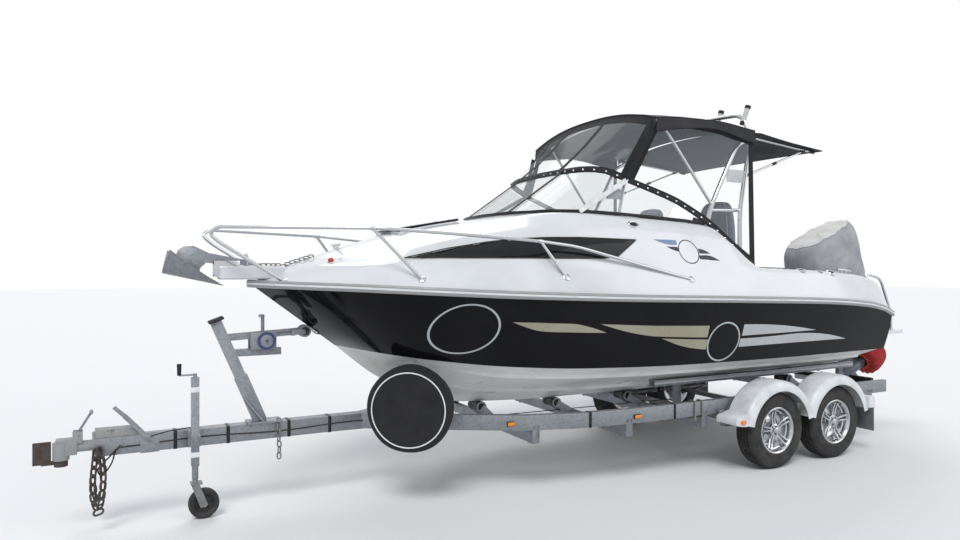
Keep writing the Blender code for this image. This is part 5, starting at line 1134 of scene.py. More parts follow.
def build_seats():
    """Bucket seats: a box, a crowned cushion and a back with side bolsters and stitched channels."""
    for side, word, _ in SIDES:
        y, node = side * 0.45, "helm_seat_" + word
        box = round_box((0.05, y - 0.22, 0.981), (0.50, y + 0.22, 1.42), 0.012, 3)
        door = round_box((0.045, y - 0.17, 1.06), (0.052, y + 0.17, 1.36), 0.003)
        piece("seat_box_" + word, merged(box, door), WHITE_GELCOAT, replaces=[node])
        base = cushion([(1.430, 0.31, 0.215, y, 0.212), (1.445, 0.32, 0.232, y, 0.226),
                        (1.50, 0.325, 0.236, y, 0.230), (1.525, 0.32, 0.228, y, 0.220)], 48, (0.012, 0.016))
        seat = piece("seat_cushion_" + word, base, SEAT_VINYL, angle=60)
        rows = smooth_path([(1.50, 0.088, 0.052, 0.218), (1.62, 0.083, 0.058, 0.232),
                            (1.80, 0.074, 0.058, 0.232), (2.00, 0.060, 0.054, 0.220),
                            (2.14, 0.052, 0.050, 0.200), (2.25, 0.043, 0.044, 0.165),
                            (2.295, 0.039, 0.032, 0.125)], 40)
        shape, rings = squircle(60, 0.60), []
        for z, middle, reach, half in rows:
            across = shape[:, 1]
            scoop = 0.022 * (1 - across ** 2) ** 2 * (shape[:, 0] > 0)
            channel = 0.0035 * (np.cos(z * 2 * math.pi / 0.11) > 0.93) * (np.abs(across) < 0.7) \
                * (shape[:, 0] > 0.5)
            rings.append(np.stack([middle + reach * shape[:, 0] - scoop - channel, y + half * across,
                                   np.full(60, z)], 1))
        rings = np.array(rings)
        body = capped(np.concatenate([rings, np.array(domed(rings[-1], 0.016))]))
        back = piece("seat_back_" + word, body, SEAT_VINYL, angle=60)
        welt = [rings[:, k] for k in (8, 52)]
        base_rim = np.array([(0.32 + 0.238 * u, y + 0.231 * v, 1.512) for u, v in squircle(60, 0.55)])
        piece("seat_piping_" + word, merged(pipe(welt[0], 0.004, sides=8), pipe(welt[1], 0.004, sides=8),
                                            pipe(base_rim, 0.004, sides=8, closed=True)), SEAT_GREY)


SPARE_FACE = (3.165, 0.63, 0.705)
SPARE_TOE = math.radians(34.2)


def build_spare():
    """A spare wheel in its fabric cover: puffed outer face, soft dents, and a white welt round the face."""
    r, w = 0.306, 0.165
    profile = [(0.0, w - 0.012), (0.10, w - 0.011), (0.18, w - 0.004), (0.24, w + 0.001), (0.275, w - 0.003),
               (0.298, w - 0.020), (0.308, w - 0.045), (r + 0.004, w / 2), (0.304, 0.035), (0.285, 0.006),
               (0.24, 0.002)]
    rows = smooth_path([(a, 0, b) for a, b in profile], 52)
    turn = full_turn(96)
    rings = []
    for a, _, b in rows:
        dent = 0.0025 * np.sin(5 * turn + 20 * a) * min(1, a / 0.1)
        pleat = 0.003 * np.sin(26 * turn) * np.clip((0.05 - b) / 0.05, 0, 1)
        radius = np.maximum(a + (dent + pleat) * (a > 0.29), 0)
        height = b + dent * (a < 0.28)
        rings.append(ring_round(radius, turn, height))
    outwards = (math.sin(SPARE_TOE), math.cos(SPARE_TOE), 0)
    base = np.array(SPARE_FACE) - np.array(outwards) * w
    lie = facing(outwards, base)
    cloth("spare_cover", set_at(grid(np.array(rings), wrap_columns=True), lie), CANVAS_EDGE,
                replaces=["spare_wheel"])
    white = pipe(circle(0.262, 96, w + 0.0015), 0.0048, sides=8, closed=True)
    piece("spare_welt", set_at(white, lie), REFLECTIVE)
    tyre = turned([(0.19, 0.02), (0.24, 0.008), (0.28, 0.012), (0.295, 0.04), (0.296, w - 0.05),
                   (0.27, w - 0.02), (0.19, w - 0.03)], 48)
    piece("spare_tyre", set_at(tyre, lie), DARK_RUBBER)


# Metal tubes on the boat

def foot_flange(place, normal, radius=0.030):
    return button(normal, place, radius, 0.010, 20, 0.5)


TARGA_HALF, TARGA_TUBE = 0.835, 0.019
CANVAS_DROP = 0.012 + TARGA_TUBE * 0.7 + 0.0008


def build_targa():
    """Arch of bent tube over the roof: two legs a side, braces, awning poles and rod holders."""
    y, wide = TARGA_HALF, TARGA_TUBE
    foot_aft, foot_fore = (0.20, y + 0.03), (0.545, y - 0.01)
    low_aft, low_fore = on_deck(*foot_aft), on_deck(*foot_fore)
    half_arch = [tuple(low_aft[0]), (0.165, y, 2.2), (0.040, y, 2.80), (0.035, y - 0.07, 3.06),
                 (0.04, 0.4, 3.085)]
    arch = half_arch + [(px, -py, pz) for px, py, pz in half_arch[::-1]]
    shapes = [pipe(arch, wide, 0.12, 18)]
    hoop = [(1.04, v, roof_edge(1.04, v)[1] - CANVAS_DROP) for v in (0.80, 0.65, 0.5, 0.25, 0.0)]
    hoop = hoop + [(px, -py, pz) for px, py, pz in hoop[-2::-1]]
    shapes.append(pipe(hoop, wide * 0.7, 0.1, 14))
    side = [
        pipe([tuple(low_fore[0]), (0.50, y, 2.23), (0.20, y, 2.77), (0.045, y, 2.83)], wide, 0.10, 18),
        pipe([(0.16, y, 2.2), (0.52, y, 2.19)], wide * 0.8, 0, 14),
        pipe([(0.50, y, 2.24), (1.04, 0.80, hoop[0][2])], wide * 0.7, 0, 14),
        pipe([(0.03, y, 2.8474), (-0.78, y, 2.7744)], wide * 0.6, 0, 14),
        pipe([(0.105, y, 2.50), (-0.66, y, 2.78)], wide * 0.5, 0, 12),
        foot_flange(*low_aft), foot_flange(*low_fore),
    ]
    holders, caps = [], []
    for y_low, y_high, top in ((0.76, 0.78, 3.135), (0.45, 0.47, 3.150)):
        base, tip = np.array((0.05, y_low, 2.975)), np.array((0.00, y_high, top))
        holders.append(pipe([base, tip - (tip - base) * 0.01], 0.0225, 0, 20))
        caps.append(pipe([base - (tip - base) * 0.03, base + (tip - base) * 0.12], 0.0255, 0, 20))
        caps.append(pipe([tip - (tip - base) * 0.16, tip], [0.0255, 0.0265], 0, 20))
    collars = [pipe([(0.105 - 0.765 * t, y, 2.50 + 0.28 * t) for t in (a, a + 0.06)], 0.0135, 0, 14)
               for a in (0.0, 0.45, 0.94)]
    collars.append(pipe([(-0.72, y, 2.7798), (-0.79, y, 2.7735)], 0.0145, 0, 14))
    collars.append(pipe([(0.09, y, 2.843), (-0.01, y, 2.843)], 0.0225, 0, 14))
    piece("arch_tubes", merged(*shapes, both_sides(merged(*side, *holders))), STAINLESS,
          replaces=["targa_arch"])
    piece("arch_fittings", both_sides(merged(*caps, *collars)), BLACK_PLASTIC)
    panel = round_box((0.10, y - 0.004, 2.44), (0.32, y + 0.004, 2.55), 0.003)
    bolts = [button((0, 1, 0), (x, y + 0.004, z), 0.008, 0.004)
             for x in (0.115, 0.305) for z in (2.455, 2.535)]
    piece("arch_panel", both_sides(merged(panel, *bolts)), GREY_VINYL)


def build_rails():
    """Bow rails on flanged feet, their hairpin over the bow, and the stern boarding rails."""
    def foot(x, y):
        return tuple(on_deck(x, y)[0])

    top = [foot(1.00, 1.12), (2.03, 1.045, 1.855), (2.33, 1.02, 1.888), (2.80, 0.93, 1.925),
           (3.42, 0.74, 1.968), (4.05, 0.42, 1.975), (4.37, 0.24, 1.978), (4.425, 0.205, 1.935),
           (4.36, 0.20, 1.875), foot(3.94, 0.24)]
    shapes = [pipe(top, 0.0125, 0.09, 16),
              pipe([(2.32, 1.02, 1.886), foot(2.15, 1.09)], 0.0115, 0, 14),
              pipe([(3.46, 0.725, 1.968), foot(3.16, 0.87)], 0.0115, 0, 14)]
    for x, y in ((1.00, 1.12), (2.15, 1.09), (3.16, 0.87), (3.94, 0.24)):
        shapes.append(foot_flange(*on_deck(x, y), 0.028))
    for at, ahead in (((2.32, 1.02, 1.886), (0.98, -0.05, 0.1)), ((3.46, 0.725, 1.968), (0.9, -0.3, 0.05))):
        a, d = np.array(at), np.array(ahead)
        shapes.append(pipe([a - d * 0.018, a + d * 0.018], 0.0165, 0, 14))
    for _, word, turn in SIDES:
        piece("bow_rail_tubes_" + word, turn(merged(*shapes)), STAINLESS, replaces=["bow_rail_" + word])
        stern = pipe([(-1.45, 0.90, on_deck(-1.45, 0.90)[0][2]), (-1.47, 0.90, 1.64), (-1.68, 0.90, 1.60),
                      (-1.88, 0.88, 1.25), (-1.88, 0.88, 1.091)], 0.0125, 0.07, 16)
        feet = merged(stern, foot_flange(*on_deck(-1.45, 0.90), 0.028),
                      set_at(stud(0.028, 0.008, 20, 0.5), Matrix.Translation((-1.88, 0.88, 1.090))))
        piece("stern_rail_tubes_" + word, turn(feet), STAINLESS, replaces=["stern_rail_" + word])


# Wheels and mudguards

WHEEL_Y = 1.0075
TYRE_R, TYRE_W, RIM_R = 0.325, 0.185, 0.188
AXLE_SPREAD = 0.75


def wheel_matrix(x, side):
    return Matrix.Translation((x, side * WHEEL_Y, TYRE_R)) @ turn_by(-90 * side, "X")


def tyre_shape():
    """Carcass profile turned about the hub, with sidewall rings, and tread blocks between four grooves."""
    w = TYRE_W / 2
    profile = [(RIM_R + 0.001, -w * 0.84), (0.196, -w * 0.93), (0.205, -w * 0.985), (0.220, -w),
               (0.222, -w * 0.985), (0.245, -w * 0.995), (0.268, -w * 0.985), (0.270, -w * 0.965),
               (0.290, -w * 0.945), (0.306, -w * 0.88), (0.314, -w * 0.78), (0.3165, -w * 0.72)]
    for centre in (-0.50, -0.17, 0.17, 0.50):
        low, high = (centre - 0.045) * w, (centre + 0.045) * w
        profile += [(0.3185, low - 0.004), (0.3185, low), (0.3125, low + 0.001), (0.3125, high - 0.001),
                    (0.3185, high), (0.3185, high + 0.004)]
    profile += [(r, -z) for r, z in profile[11::-1]]
    return turned(profile, 96)


def tread_blocks():
    """Rubber blocks round the tyre in five ribs, each rib's blocks staggered and slanted."""
    w = TYRE_W / 2
    ribs = ((-0.74, -0.56), (-0.44, -0.23), (-0.11, 0.11), (0.23, 0.44), (0.56, 0.74))
    count = 64
    shapes = []
    for k, (low, high) in enumerate(ribs):
        slant = 0.35 * (k - 2)
        crown = (0.3225, 0.3245, 0.3250, 0.3245, 0.3225)[k]
        for i in range(count):
            start = (i + 0.5 * (k % 2)) * 2 * math.pi / count
            corners = []
            for z, lean in ((low * w, -1), (high * w, 1)):
                for share in (0.0, 0.80):
                    a = start + (share + 0.06 * slant * lean) * 2 * math.pi / count
                    corners.append((a, z))
            (a0, z0), (a1, _), (b0, z1), (b1, _) = corners
            rings = []
            for r, tight in ((0.316, 0.0), (crown - 0.001, 0.0), (crown, 0.001)):
                t = tight / r * 2
                drop = 0.0016 if k in (0, 4) else 0.0
                rings.append([
                    (r * math.cos(a), r * math.sin(a), z) for a, z in
                    ((a0 + t, z0 + tight), (a1 - t, z0 + tight), (b1 - t, z1 - tight), (b0 + t, z1 - tight))])
                if drop:
                    edge = (0, 1) if k == 0 else (2, 3)
                    for e in edge:
                        x, y, z = rings[-1][e]
                        rings[-1][e] = (x * (1 - drop / r), y * (1 - drop / r), z)
            shapes.append(capped(rings))
    return merged(*shapes)


def spoke_shape():
    """Half of a double spoke: a tapering rounded bar from the hub's rim out and forward to the lip."""
    w = TYRE_W / 2
    rings = []
    for t in np.linspace(0, 1, 9):
        r = 0.046 + (RIM_R - 0.022 - 0.046) * t
        z = w * (0.56 + 0.20 * t ** 1.5) - 0.006 * math.sin(math.pi * t)
        y = 0.011 + 0.009 * t
        half, tall = 0.0075 + 0.0015 * t, 0.010
        rings.append([(r, y + half * c, z + tall * s) for c, s in squircle(12, 0.7)])
    return capped(rings)


def rim_shape():
    """A deep polished dish: rolled lip, step and barrel turned about the hub, and five double spokes."""
    w = TYRE_W / 2
    lip = [(0.0, -w * 0.30), (0.06, -w * 0.30), (0.10, -w * 0.45), (0.160, -w * 0.85),
           (RIM_R - 0.004, -w * 0.88), (RIM_R, -w * 0.86), (RIM_R, w * 0.84), (RIM_R + 0.007, w * 0.90),
           (RIM_R + 0.008, w * 0.93), (RIM_R + 0.004, w * 0.955), (RIM_R - 0.003, w * 0.94),
           (RIM_R - 0.009, w * 0.88), (RIM_R - 0.0165, w * 0.60), (RIM_R - 0.020, w * 0.45),
           (RIM_R - 0.030, w * 0.38), (RIM_R - 0.034, -w * 0.10), (0.130, -w * 0.26), (0.09, -w * 0.10),
           (0.06, -w * 0.05), (0.0, -w * 0.05)]
    shapes = [turned(lip, 96)]
    spoke = spoke_shape()
    for i in range(5):
        turn = turn_by(72 * i + 18, "Z")
        mirror = Matrix.Diagonal((1, -1, 1, 1))
        shapes += [set_at(spoke, turn), set_at(spoke, turn @ mirror)]
    hub = [(0.0, -0.005), (0.058, -0.005), (0.058, w * 0.50), (0.054, w * 0.62), (0.048, w * 0.655),
           (0.034, w * 0.665), (0.031, w * 0.62), (0.0, w * 0.62)]
    shapes.append(turned(hub, 48))
    return merged(*shapes)


def build_wheels():
    w = TYRE_W / 2
    tyre, blocks, rim = tyre_shape(), tread_blocks(), rim_shape()
    nuts = [set_at(hex_nut(0.0095, 0.012), turn_by(72 * i + 54, "Z")
                   @ Matrix.Translation((0.0405, 0, w * 0.655))) for i in range(5)]
    cap = set_at(turned([(0.0305, 0), (0.030, 0.010), (0.024, 0.021), (0.010, 0.026), (0.0, 0.0265)], 32),
                 Matrix.Translation((0, 0, w * 0.62)))
    valve = set_at(pipe([(0.158, 0, w * 0.30), (0.150, 0, w * 0.55)], 0.0035, 0, 8),
                   turn_by(36, "Z"))
    for x, place in ((0.0, "front"), (-AXLE_SPREAD, "rear")):
        for side, word, _ in SIDES:
            lie = wheel_matrix(x, side) @ Matrix.Rotation(0.4 * (1 + side) + (x < 0) * 0.9, 4, "Z")
            tag, body = f"{place}_{word}", f"wheel_{place}_{word}"
            piece("tyre_carcass_" + tag, set_at(tyre, lie), DARK_RUBBER, body, [f"tyre_{tag}"], angle=40)
            piece("tyre_tread_" + tag, set_at(blocks, lie), TREAD_RUBBER, body, angle=30, weld=False)
            piece("rim_alloy_" + tag, set_at(rim, lie), ALLOY, body, [f"rim_{tag}"], angle=40)
            piece("wheel_nuts_" + tag, set_at(merged(*nuts, cap, valve), lie), STAINLESS, body, angle=30)


ARCH_R = TYRE_R + 0.10
GUARD_INNER, GUARD_WIDTH = 0.905, 0.24
GUARD_OUTER = GUARD_INNER + GUARD_WIDTH
GUARD_FOOT, GUARD_MEET = math.radians(12), math.acos((AXLE_SPREAD / 2 + 0.04) / ARCH_R)
FOOT_Z = TYRE_R + ARCH_R * math.sin(GUARD_FOOT)
MEET_Z = TYRE_R + ARCH_R * math.sin(GUARD_MEET)
GUARD_REACH = ARCH_R * math.cos(GUARD_FOOT)
GUARD_REAR, GUARD_MIDDLE = -AXLE_SPREAD - GUARD_REACH, -AXLE_SPREAD / 2


def guard_moulding():
    """The port pair of mudguards: a rolled-edge arch over each wheel, the step ahead, the valley between."""
    wide, wall = GUARD_WIDTH, 0.005
    over = [(0.0, 0.018), (0.006, 0.008), (0.022, 0.0), (wide - 0.060, 0.0), (wide - 0.035, 0.003),
            (wide - 0.016, 0.014), (wide - 0.004, 0.034), (wide, 0.058), (wide, 0.083), (wide - 0.002, 0.087)]
    under = [(wide - wall, 0.085), (wide - wall, 0.060), (wide - 0.010, 0.038), (wide - 0.02, 0.022),
             (wide - 0.04, 0.009), (wide - 0.062, wall), (0.024, wall), (0.010, 0.013), (0.003, 0.022)]
    white = []
    for axle_x, start, end in ((0.0, GUARD_FOOT, math.pi - GUARD_MEET),
                               (-AXLE_SPREAD, GUARD_MEET, math.pi - GUARD_FOOT)):
        rings = []
        for angle in np.linspace(start, end, 41):
            rings.append([(axle_x + (ARCH_R - d) * math.cos(angle), GUARD_INNER + u,
                           TYRE_R + (ARCH_R - d) * math.sin(angle)) for u, d in over + under])
        white.append(capped(rings))
    slope = [(GUARD_REACH - 0.006, FOOT_Z), (0.505, FOOT_Z + 0.004), (0.512, FOOT_Z + 0.014),
             (0.512, FOOT_Z + 0.052), (0.504, FOOT_Z + 0.064), (0.49, FOOT_Z + 0.070),
             (GUARD_REACH - 0.03, FOOT_Z + 0.095)]
    rings = []
    for t, trim in ((0.0, 0.0), (0.06, -0.004), (0.5, 0.0), (0.90, 0.0), (1.0, 0.045)):
        rings.append([(min(x, 0.512 - trim), GUARD_INNER + (GUARD_OUTER - GUARD_INNER - 0.004) * t,
                       z - (0.006 if t in (0.0, 1.0) else 0)) for x, z in slope])
    white.append(capped(rings))
    white.append(round_box((GUARD_REAR - 0.075, GUARD_INNER, FOOT_Z),
                           (GUARD_REAR + 0.006, GUARD_OUTER - 0.004, FOOT_Z + 0.11), 0.014, 3))
    white.append(round_box((GUARD_MIDDLE - 0.05, GUARD_INNER, MEET_Z),
                           (GUARD_MIDDLE + 0.05, GUARD_INNER + 0.12, MEET_Z + 0.10), 0.008))
    return merged(*white)


def build_guards():
    """Double mudguards with their brackets, bolts, flap behind and marker ahead."""
    brackets = [round_box((x - 0.03, 0.886, 0.49), (x + 0.03, GUARD_INNER + 0.01, FOOT_Z + 0.095), 0.003)
                for x in (0.46, GUARD_MIDDLE, GUARD_REAR - 0.035)]
    bolt_places = ((GUARD_MIDDLE - 0.025, 0.05, MEET_Z + 0.10), (GUARD_MIDDLE + 0.025, 0.05, MEET_Z + 0.10),
                   (0.0, 0.045, TYRE_R + ARCH_R), (-AXLE_SPREAD, 0.045, TYRE_R + ARCH_R))
    bolts = [button((0, 0, 1), (x, GUARD_INNER + y, z), 0.010, 0.006) for x, y, z in bolt_places]
    flap = round_box((GUARD_REAR - 0.069, GUARD_INNER + 0.01, 0.20),
                     (GUARD_REAR - 0.060, GUARD_OUTER - 0.012, FOOT_Z + 0.01), 0.003)
    ribs = [round_box((GUARD_REAR - 0.072, GUARD_INNER + 0.03 + 0.03 * i, 0.215),
                      (GUARD_REAR - 0.068, GUARD_INNER + 0.036 + 0.03 * i, FOOT_Z - 0.02), 0.001)
            for i in range(6)]
    plate = round_box((GUARD_REAR - 0.074, GUARD_INNER + 0.02, FOOT_Z - 0.03),
                      (GUARD_REAR - 0.058, GUARD_OUTER - 0.02, FOOT_Z - 0.01), 0.002)
    marker = round_box((0.435, GUARD_OUTER - 0.010, FOOT_Z + 0.018),
                       (0.480, GUARD_OUTER + 0.010, FOOT_Z + 0.048), 0.006, 3)
    white = guard_moulding()
    for _, word, turn in SIDES:
        piece("mudguard_" + word, turn(white), WHITE_PLASTIC, replaces=["guards_" + word], angle=40)
        piece("mudguard_metal_" + word, turn(merged(*brackets, *bolts, plate)), GALVANISED)
        piece("mudflap_" + word, turn(merged(flap, *ribs)), GREY_RUBBER)
        piece("side_marker_" + word, turn(marker), AMBER)


# Trailer

RAIL_BOTTOM, RAIL_TALL = 0.48, 0.115
RAIL_TOP = RAIL_BOTTOM + RAIL_TALL
RAIL_PATH = ((-1.80, 0.86), (0.90, 0.86), (1.40, 0.845), (1.85, 0.79), (2.25, 0.67), (2.66, 0.43),
             (3.30, 0.03))
CROSS_X = (-1.55, 0.62, 1.40, 2.17)


def u_bolt(x, side, low, tall, wide):
    """A U-bolt round a beam: a bent rod with a plate and two nuts below."""
    y = side * 0.86
    arms = [(x, y - wide, low), (x, y - wide, low + tall), (x, y + wide, low + tall), (x, y + wide, low)]
    plate = round_box((x - 0.014, y - wide - 0.012, low + 0.012), (x + 0.014, y + wide + 0.012, low + 0.020),
                      0.002)
    nuts = [set_at(hex_nut(0.010, 0.010), Matrix.Translation((x, y + s * wide, low + 0.001)))
            for s in (1, -1)]
    return merged(pipe(arms, 0.006, 0.02, 10), plate, *nuts)


def rail_y(x):
    """How far the side rail's middle is from the centre plane."""
    return float(line_at(RAIL_PATH, [x])[0][1])


def build_trailer_metal():
    softened_all(
        ("chassis", GALVANISED, 0.003), ("axle_front", DULL_ZINC, 0.0025), ("axle_rear", DULL_ZINC, 0.0025),
        ("winch_post", GALVANISED, 0.0025), ("coupling", LIGHT_RUST, 0.0025),
        ("coupling_lever", GALVANISED, 0.002), ("handbrake_lever", GALVANISED, 0.002),
        ("hitch_lock", RUSTY, 0.002), ("jockey_leg", GALVANISED, 0.0025), ("jockey_fork", DULL_ZINC, 0.002))


def build_trailer_bolts():
    """Nuts on the cross members and spring hangers, and U-bolts on the axles and the bunks."""
    bolts = []
    for x in CROSS_X:
        y = rail_y(x)
        for side in (1, -1):
            for dx in (-0.018, 0.018):
                bolts.append(nut_at((0, side, 0), (x + dx, side * (y + 0.0255), 0.505), 0.010, 0.008))
                bolts.append(nut_at((0, 0, -1), (x + dx, side * (y - 0.06), 0.3795), 0.010, 0.008))
    for x in (0.02, -0.73, -0.37, -1.12, 0.34):
        for side in (1, -1):
            bolts.append(nut_at((0, side, 0), (x, side * 0.8855, 0.50), 0.011, 0.009))
    for x in (0.0, -AXLE_SPREAD):
        for side in (1, -1):
            for dx in (-0.05, 0.05):
                bolts.append(shifted(u_bolt(x + dx, side, 0.285, 0.098, 0.034), y=-side * 0.06))
            for end in (-0.31, 0.31):
                bolts.append(nut_at((0, side, 0), (x + end, side * 0.8305, 0.40), 0.012, 0.010))
    for x in (0.66, 0.74):
        for side in (1, -1):
            bolts.append(u_bolt(x, side, RAIL_BOTTOM - 0.035, RAIL_TALL + 0.043, 0.034))
    piece("trailer_bolts", merged(*bolts), DULL_ZINC, angle=30)


def build_cable_bands():
    """Black bands that tie the wiring to the drawbar and the side rails."""
    bands = []
    for x in (4.62, 4.28, 3.86, 3.56):
        bands.append(round_box((x - 0.012, -0.053, RAIL_BOTTOM - 0.003),
                               (x + 0.012, 0.053, RAIL_TOP + 0.003), 0.003))
    for x, side in ((-1.30, 1), (0.95, 1), (1.75, 1), (-1.30, -1), (0.95, -1), (1.75, -1)):
        y = rail_y(x) * side
        bands.append(round_box((x - 0.010, y - 0.028, RAIL_BOTTOM - 0.003),
                               (x + 0.010, y + 0.028, RAIL_TOP + 0.003), 0.002))
    piece("cable_bands", merged(*bands), BLACK_PLASTIC)


def build_springs_and_brakes():
    """Three rusty leaves over each axle end, and a disc with its caliper behind each wheel."""
    leaves = []
    for x in (0.0, -AXLE_SPREAD):
        for side in (1, -1):
            y = side * 0.80
            for k, reach in enumerate((0.33, 0.24, 0.15)):
                z0 = 0.340 - 0.009 * k
                path = [(x + reach * t, y, z0 + 0.035 * (t * reach / 0.33) ** 2 - 0.004)
                        for t in np.linspace(-1, 1, 15)]
                leaves.append(ribbon(path, (0, 1, 0), 0.062, 0.007))
    piece("spring_leaves", merged(*leaves), RUSTY, angle=40)
    hubs = []
    for x in (0.0, -AXLE_SPREAD):
        for side in (1, -1):
            disc = turned([(0.0, -0.004), (0.11, -0.004), (0.118, 0.0), (0.11, 0.004), (0.07, 0.006),
                           (0.06, 0.022), (0.0, 0.022)], 48)
            hubs.append(set_at(disc, facing((0, side, 0), (x, side * 0.955, TYRE_R))))
            hubs.append(round_box((x + 0.055, side * 0.955 - 0.020, TYRE_R - 0.05),
                                  (x + 0.125, side * 0.955 + 0.020, TYRE_R + 0.05), 0.006))
    piece("brake_discs", merged(*hubs), LIGHT_RUST)


def build_wiring():
    """Two leads inside each side rail, one along the drawbar, its loop at the coupling, and the brake rod."""
    wires = []
    inner = line_at(RAIL_PATH, np.linspace(-1.7, 3.2, 50))
    for side in (1, -1):
        run = [(x, side * (y - 0.031), 0.50 + 0.006 * math.sin(9 * x)) for x, y in inner]
        wires.append(pipe(run, 0.004, 0, 8))
        beside = [(x, y - side * 0.003, z + 0.018 + 0.004 * math.sin(7 * x + 2)) for x, y, z in run]
        wires.append(pipe(beside, 0.003, 0, 8))
    draw = [(x, 0.0535, 0.535 + 0.008 * math.sin(6 * x)) for x in np.linspace(3.3, 4.95, 30)]
    wires.append(pipe(draw, 0.0045, 0, 8))
    wires.append(pipe([(4.95, 0.0535, 0.54), (5.02, 0.062, 0.47), (5.09, 0.066, 0.40), (5.06, 0.07, 0.35),
                       (5.00, 0.066, 0.43), (4.98, 0.060, 0.52)], 0.005, 0.05, 10))
    wires.append(pipe([(4.79, 0.060, 0.575), (4.70, 0.056, 0.60), (4.5, 0.0, 0.604), (4.0, 0.0, 0.4755),
                       (3.3, 0.0, 0.470), (0.2, 0.0, 0.43), (0.0, 0.0, 0.36)], 0.004, 0.06, 8))
    piece("trailer_wiring", merged(*wires), DARK_RUBBER)


def build_lamps():
    """The stern's lamps on their bar, a blank number plate, and small amber markers along the rails."""
    lamps, lenses, amber = [], [], []
    for side in (1, -1):
        y = side * 0.60
        lamps.append(round_box((-1.845, y - 0.125, 0.500), (-1.802, y + 0.125, 0.590), 0.008, 3))
        lenses.append(round_box((-1.853, y - 0.118, 0.507), (-1.842, y + 0.03, 0.583), 0.004))
        amber.append(round_box((-1.853, y + 0.034, 0.507), (-1.842, y + 0.118, 0.583), 0.004))
    lamps.append(round_box((-1.825, -0.76, 0.515), (-1.805, 0.76, 0.555), 0.004))
    piece("lamp_bodies", merged(*lamps), BLACK_PLASTIC)
    piece("lamp_lenses_red", merged(*lenses), RED_LENS)
    piece("lamp_lenses_amber", merged(*amber), AMBER)
    blank = round_box((-1.832, -0.20, 0.460), (-1.826, 0.20, 0.565), 0.002)
    piece("blank_number_plate", blank, WHITE_PLASTIC)
    side_lamps, bases = [], []
    for x in (1.33, 2.35):
        y = rail_y(x)
        for side in (1, -1):
            bases.append(round_box((x - 0.035, side * (y + 0.030) - 0.004, 0.515),
                                   (x + 0.035, side * (y + 0.030) + 0.004, 0.550), 0.003))
            side_lamps.append(round_box((x - 0.030, side * (y + 0.037) - 0.006, 0.519),
                                        (x + 0.030, side * (y + 0.037) + 0.006, 0.546), 0.004))
    piece("rail_markers", merged(*side_lamps), AMBER)
    piece("rail_marker_bases", merged(*bases), BLACK_PLASTIC)


def build_hull_supports():
    """Skid pads that follow the bottom along the rails, and waisted rollers under the keel."""
    pads = []
    for side in (1, -1):
        rows = []
        for x in np.linspace(-1.72, 0.9, 40):
            low, high = line_at(KEEL, [max(x, -1.58)])[0], line_at(CHINE, [max(x, -1.58)])[0]
            share = 0.515 / high[1]
            top = low[2] + (high[2] - low[2]) * share + min(0, float(np.interp(x, (1.2, 2.4), (-0.006, 0)))) \
                * min(1, 2 * share, 2 - 2 * share) - 0.0006
            rows.append([(x, side * 0.55 + 0.0355 * u, top - 0.025 + 0.0252 * v)
                         for u, v in squircle(16, 0.45)])
        pads.append(capped(rows))
    piece("skid_pads", merged(*pads), GREY_VINYL, angle=50)
    rollers = []
    for x in (-1.40, 0.78, 1.56, 2.30):
        keel = float(line_at(KEEL, [x])[0][2])
        profile = [(0.0, -0.086), (0.030, -0.086), (0.044, -0.080), (0.0455, -0.060), (0.0445, -0.040),
                   (0.038, -0.012), (0.0362, 0.0), (0.038, 0.012), (0.0445, 0.040), (0.0455, 0.060),
                   (0.044, 0.080), (0.030, 0.086), (0.0, 0.086)]
        rollers.append(laid_across(turned(profile, 40), (x, 0, keel - 0.0368)))
    piece("keel_rollers", merged(*rollers), BLACK_PLASTIC)


def chain_link(length=0.052, wide=0.034, wire=0.0055):
    """An oval link: a stadium path of two half circles and two straights, as a round wire."""
    r, half = wide / 2 - wire / 2, (length - wide) / 2
    path = [(half + r * math.cos(a), r * math.sin(a), 0) for a in np.linspace(-math.pi / 2, math.pi / 2, 9)]
    path += [(-half + r * math.cos(a), r * math.sin(a), 0)
             for a in np.linspace(math.pi / 2, 3 * math.pi / 2, 9)]
    return pipe(path, wire, 0, 10, closed=True)


CHAIN_LOOP = ((5.072, 0.088, 0.520), (5.050, 0.104, 0.32), (5.080, 0.102, 0.135), (5.112, 0.090, 0.28),
              (5.094, 0.084, 0.510))
CHAIN_PITCH = 0.050


def build_chains():
    """Safety chains looped down from their shackles and back up, link after link, alternate links turned."""
    link = chain_link(0.066, 0.044, 0.0065)
    path = smooth_path(CHAIN_LOOP, 60)
    length = np.sum(np.linalg.norm(np.diff(path, axis=0), axis=1))
    centres = spread(path, int(length / CHAIN_PITCH))
    for side, word, _ in SIDES:
        shapes = [pipe([(5.08, side * 0.048, 0.525), (5.08, side * 0.098, 0.525)], 0.010, 0, 12),
                  nut_at((0, side, 0), (5.08, side * 0.0505, 0.525), 0.018, 0.012)]
        for i, (c, d) in enumerate(zip(centres, np.gradient(centres, axis=0))):
            d = d / np.linalg.norm(d)
            turn = Vector((1, 0, 0)).rotation_difference(Vector(d)).to_matrix().to_4x4()
            lie = Matrix.Translation((c[0], side * c[1], c[2])) @ turn @ turn_by(45 + 90 * (i % 2), "X")
            shapes.append(set_at(link, lie))
        piece("safety_chain_links_" + word, merged(*shapes), RUSTY, replaces=["safety_chain_" + word],
              angle=60)


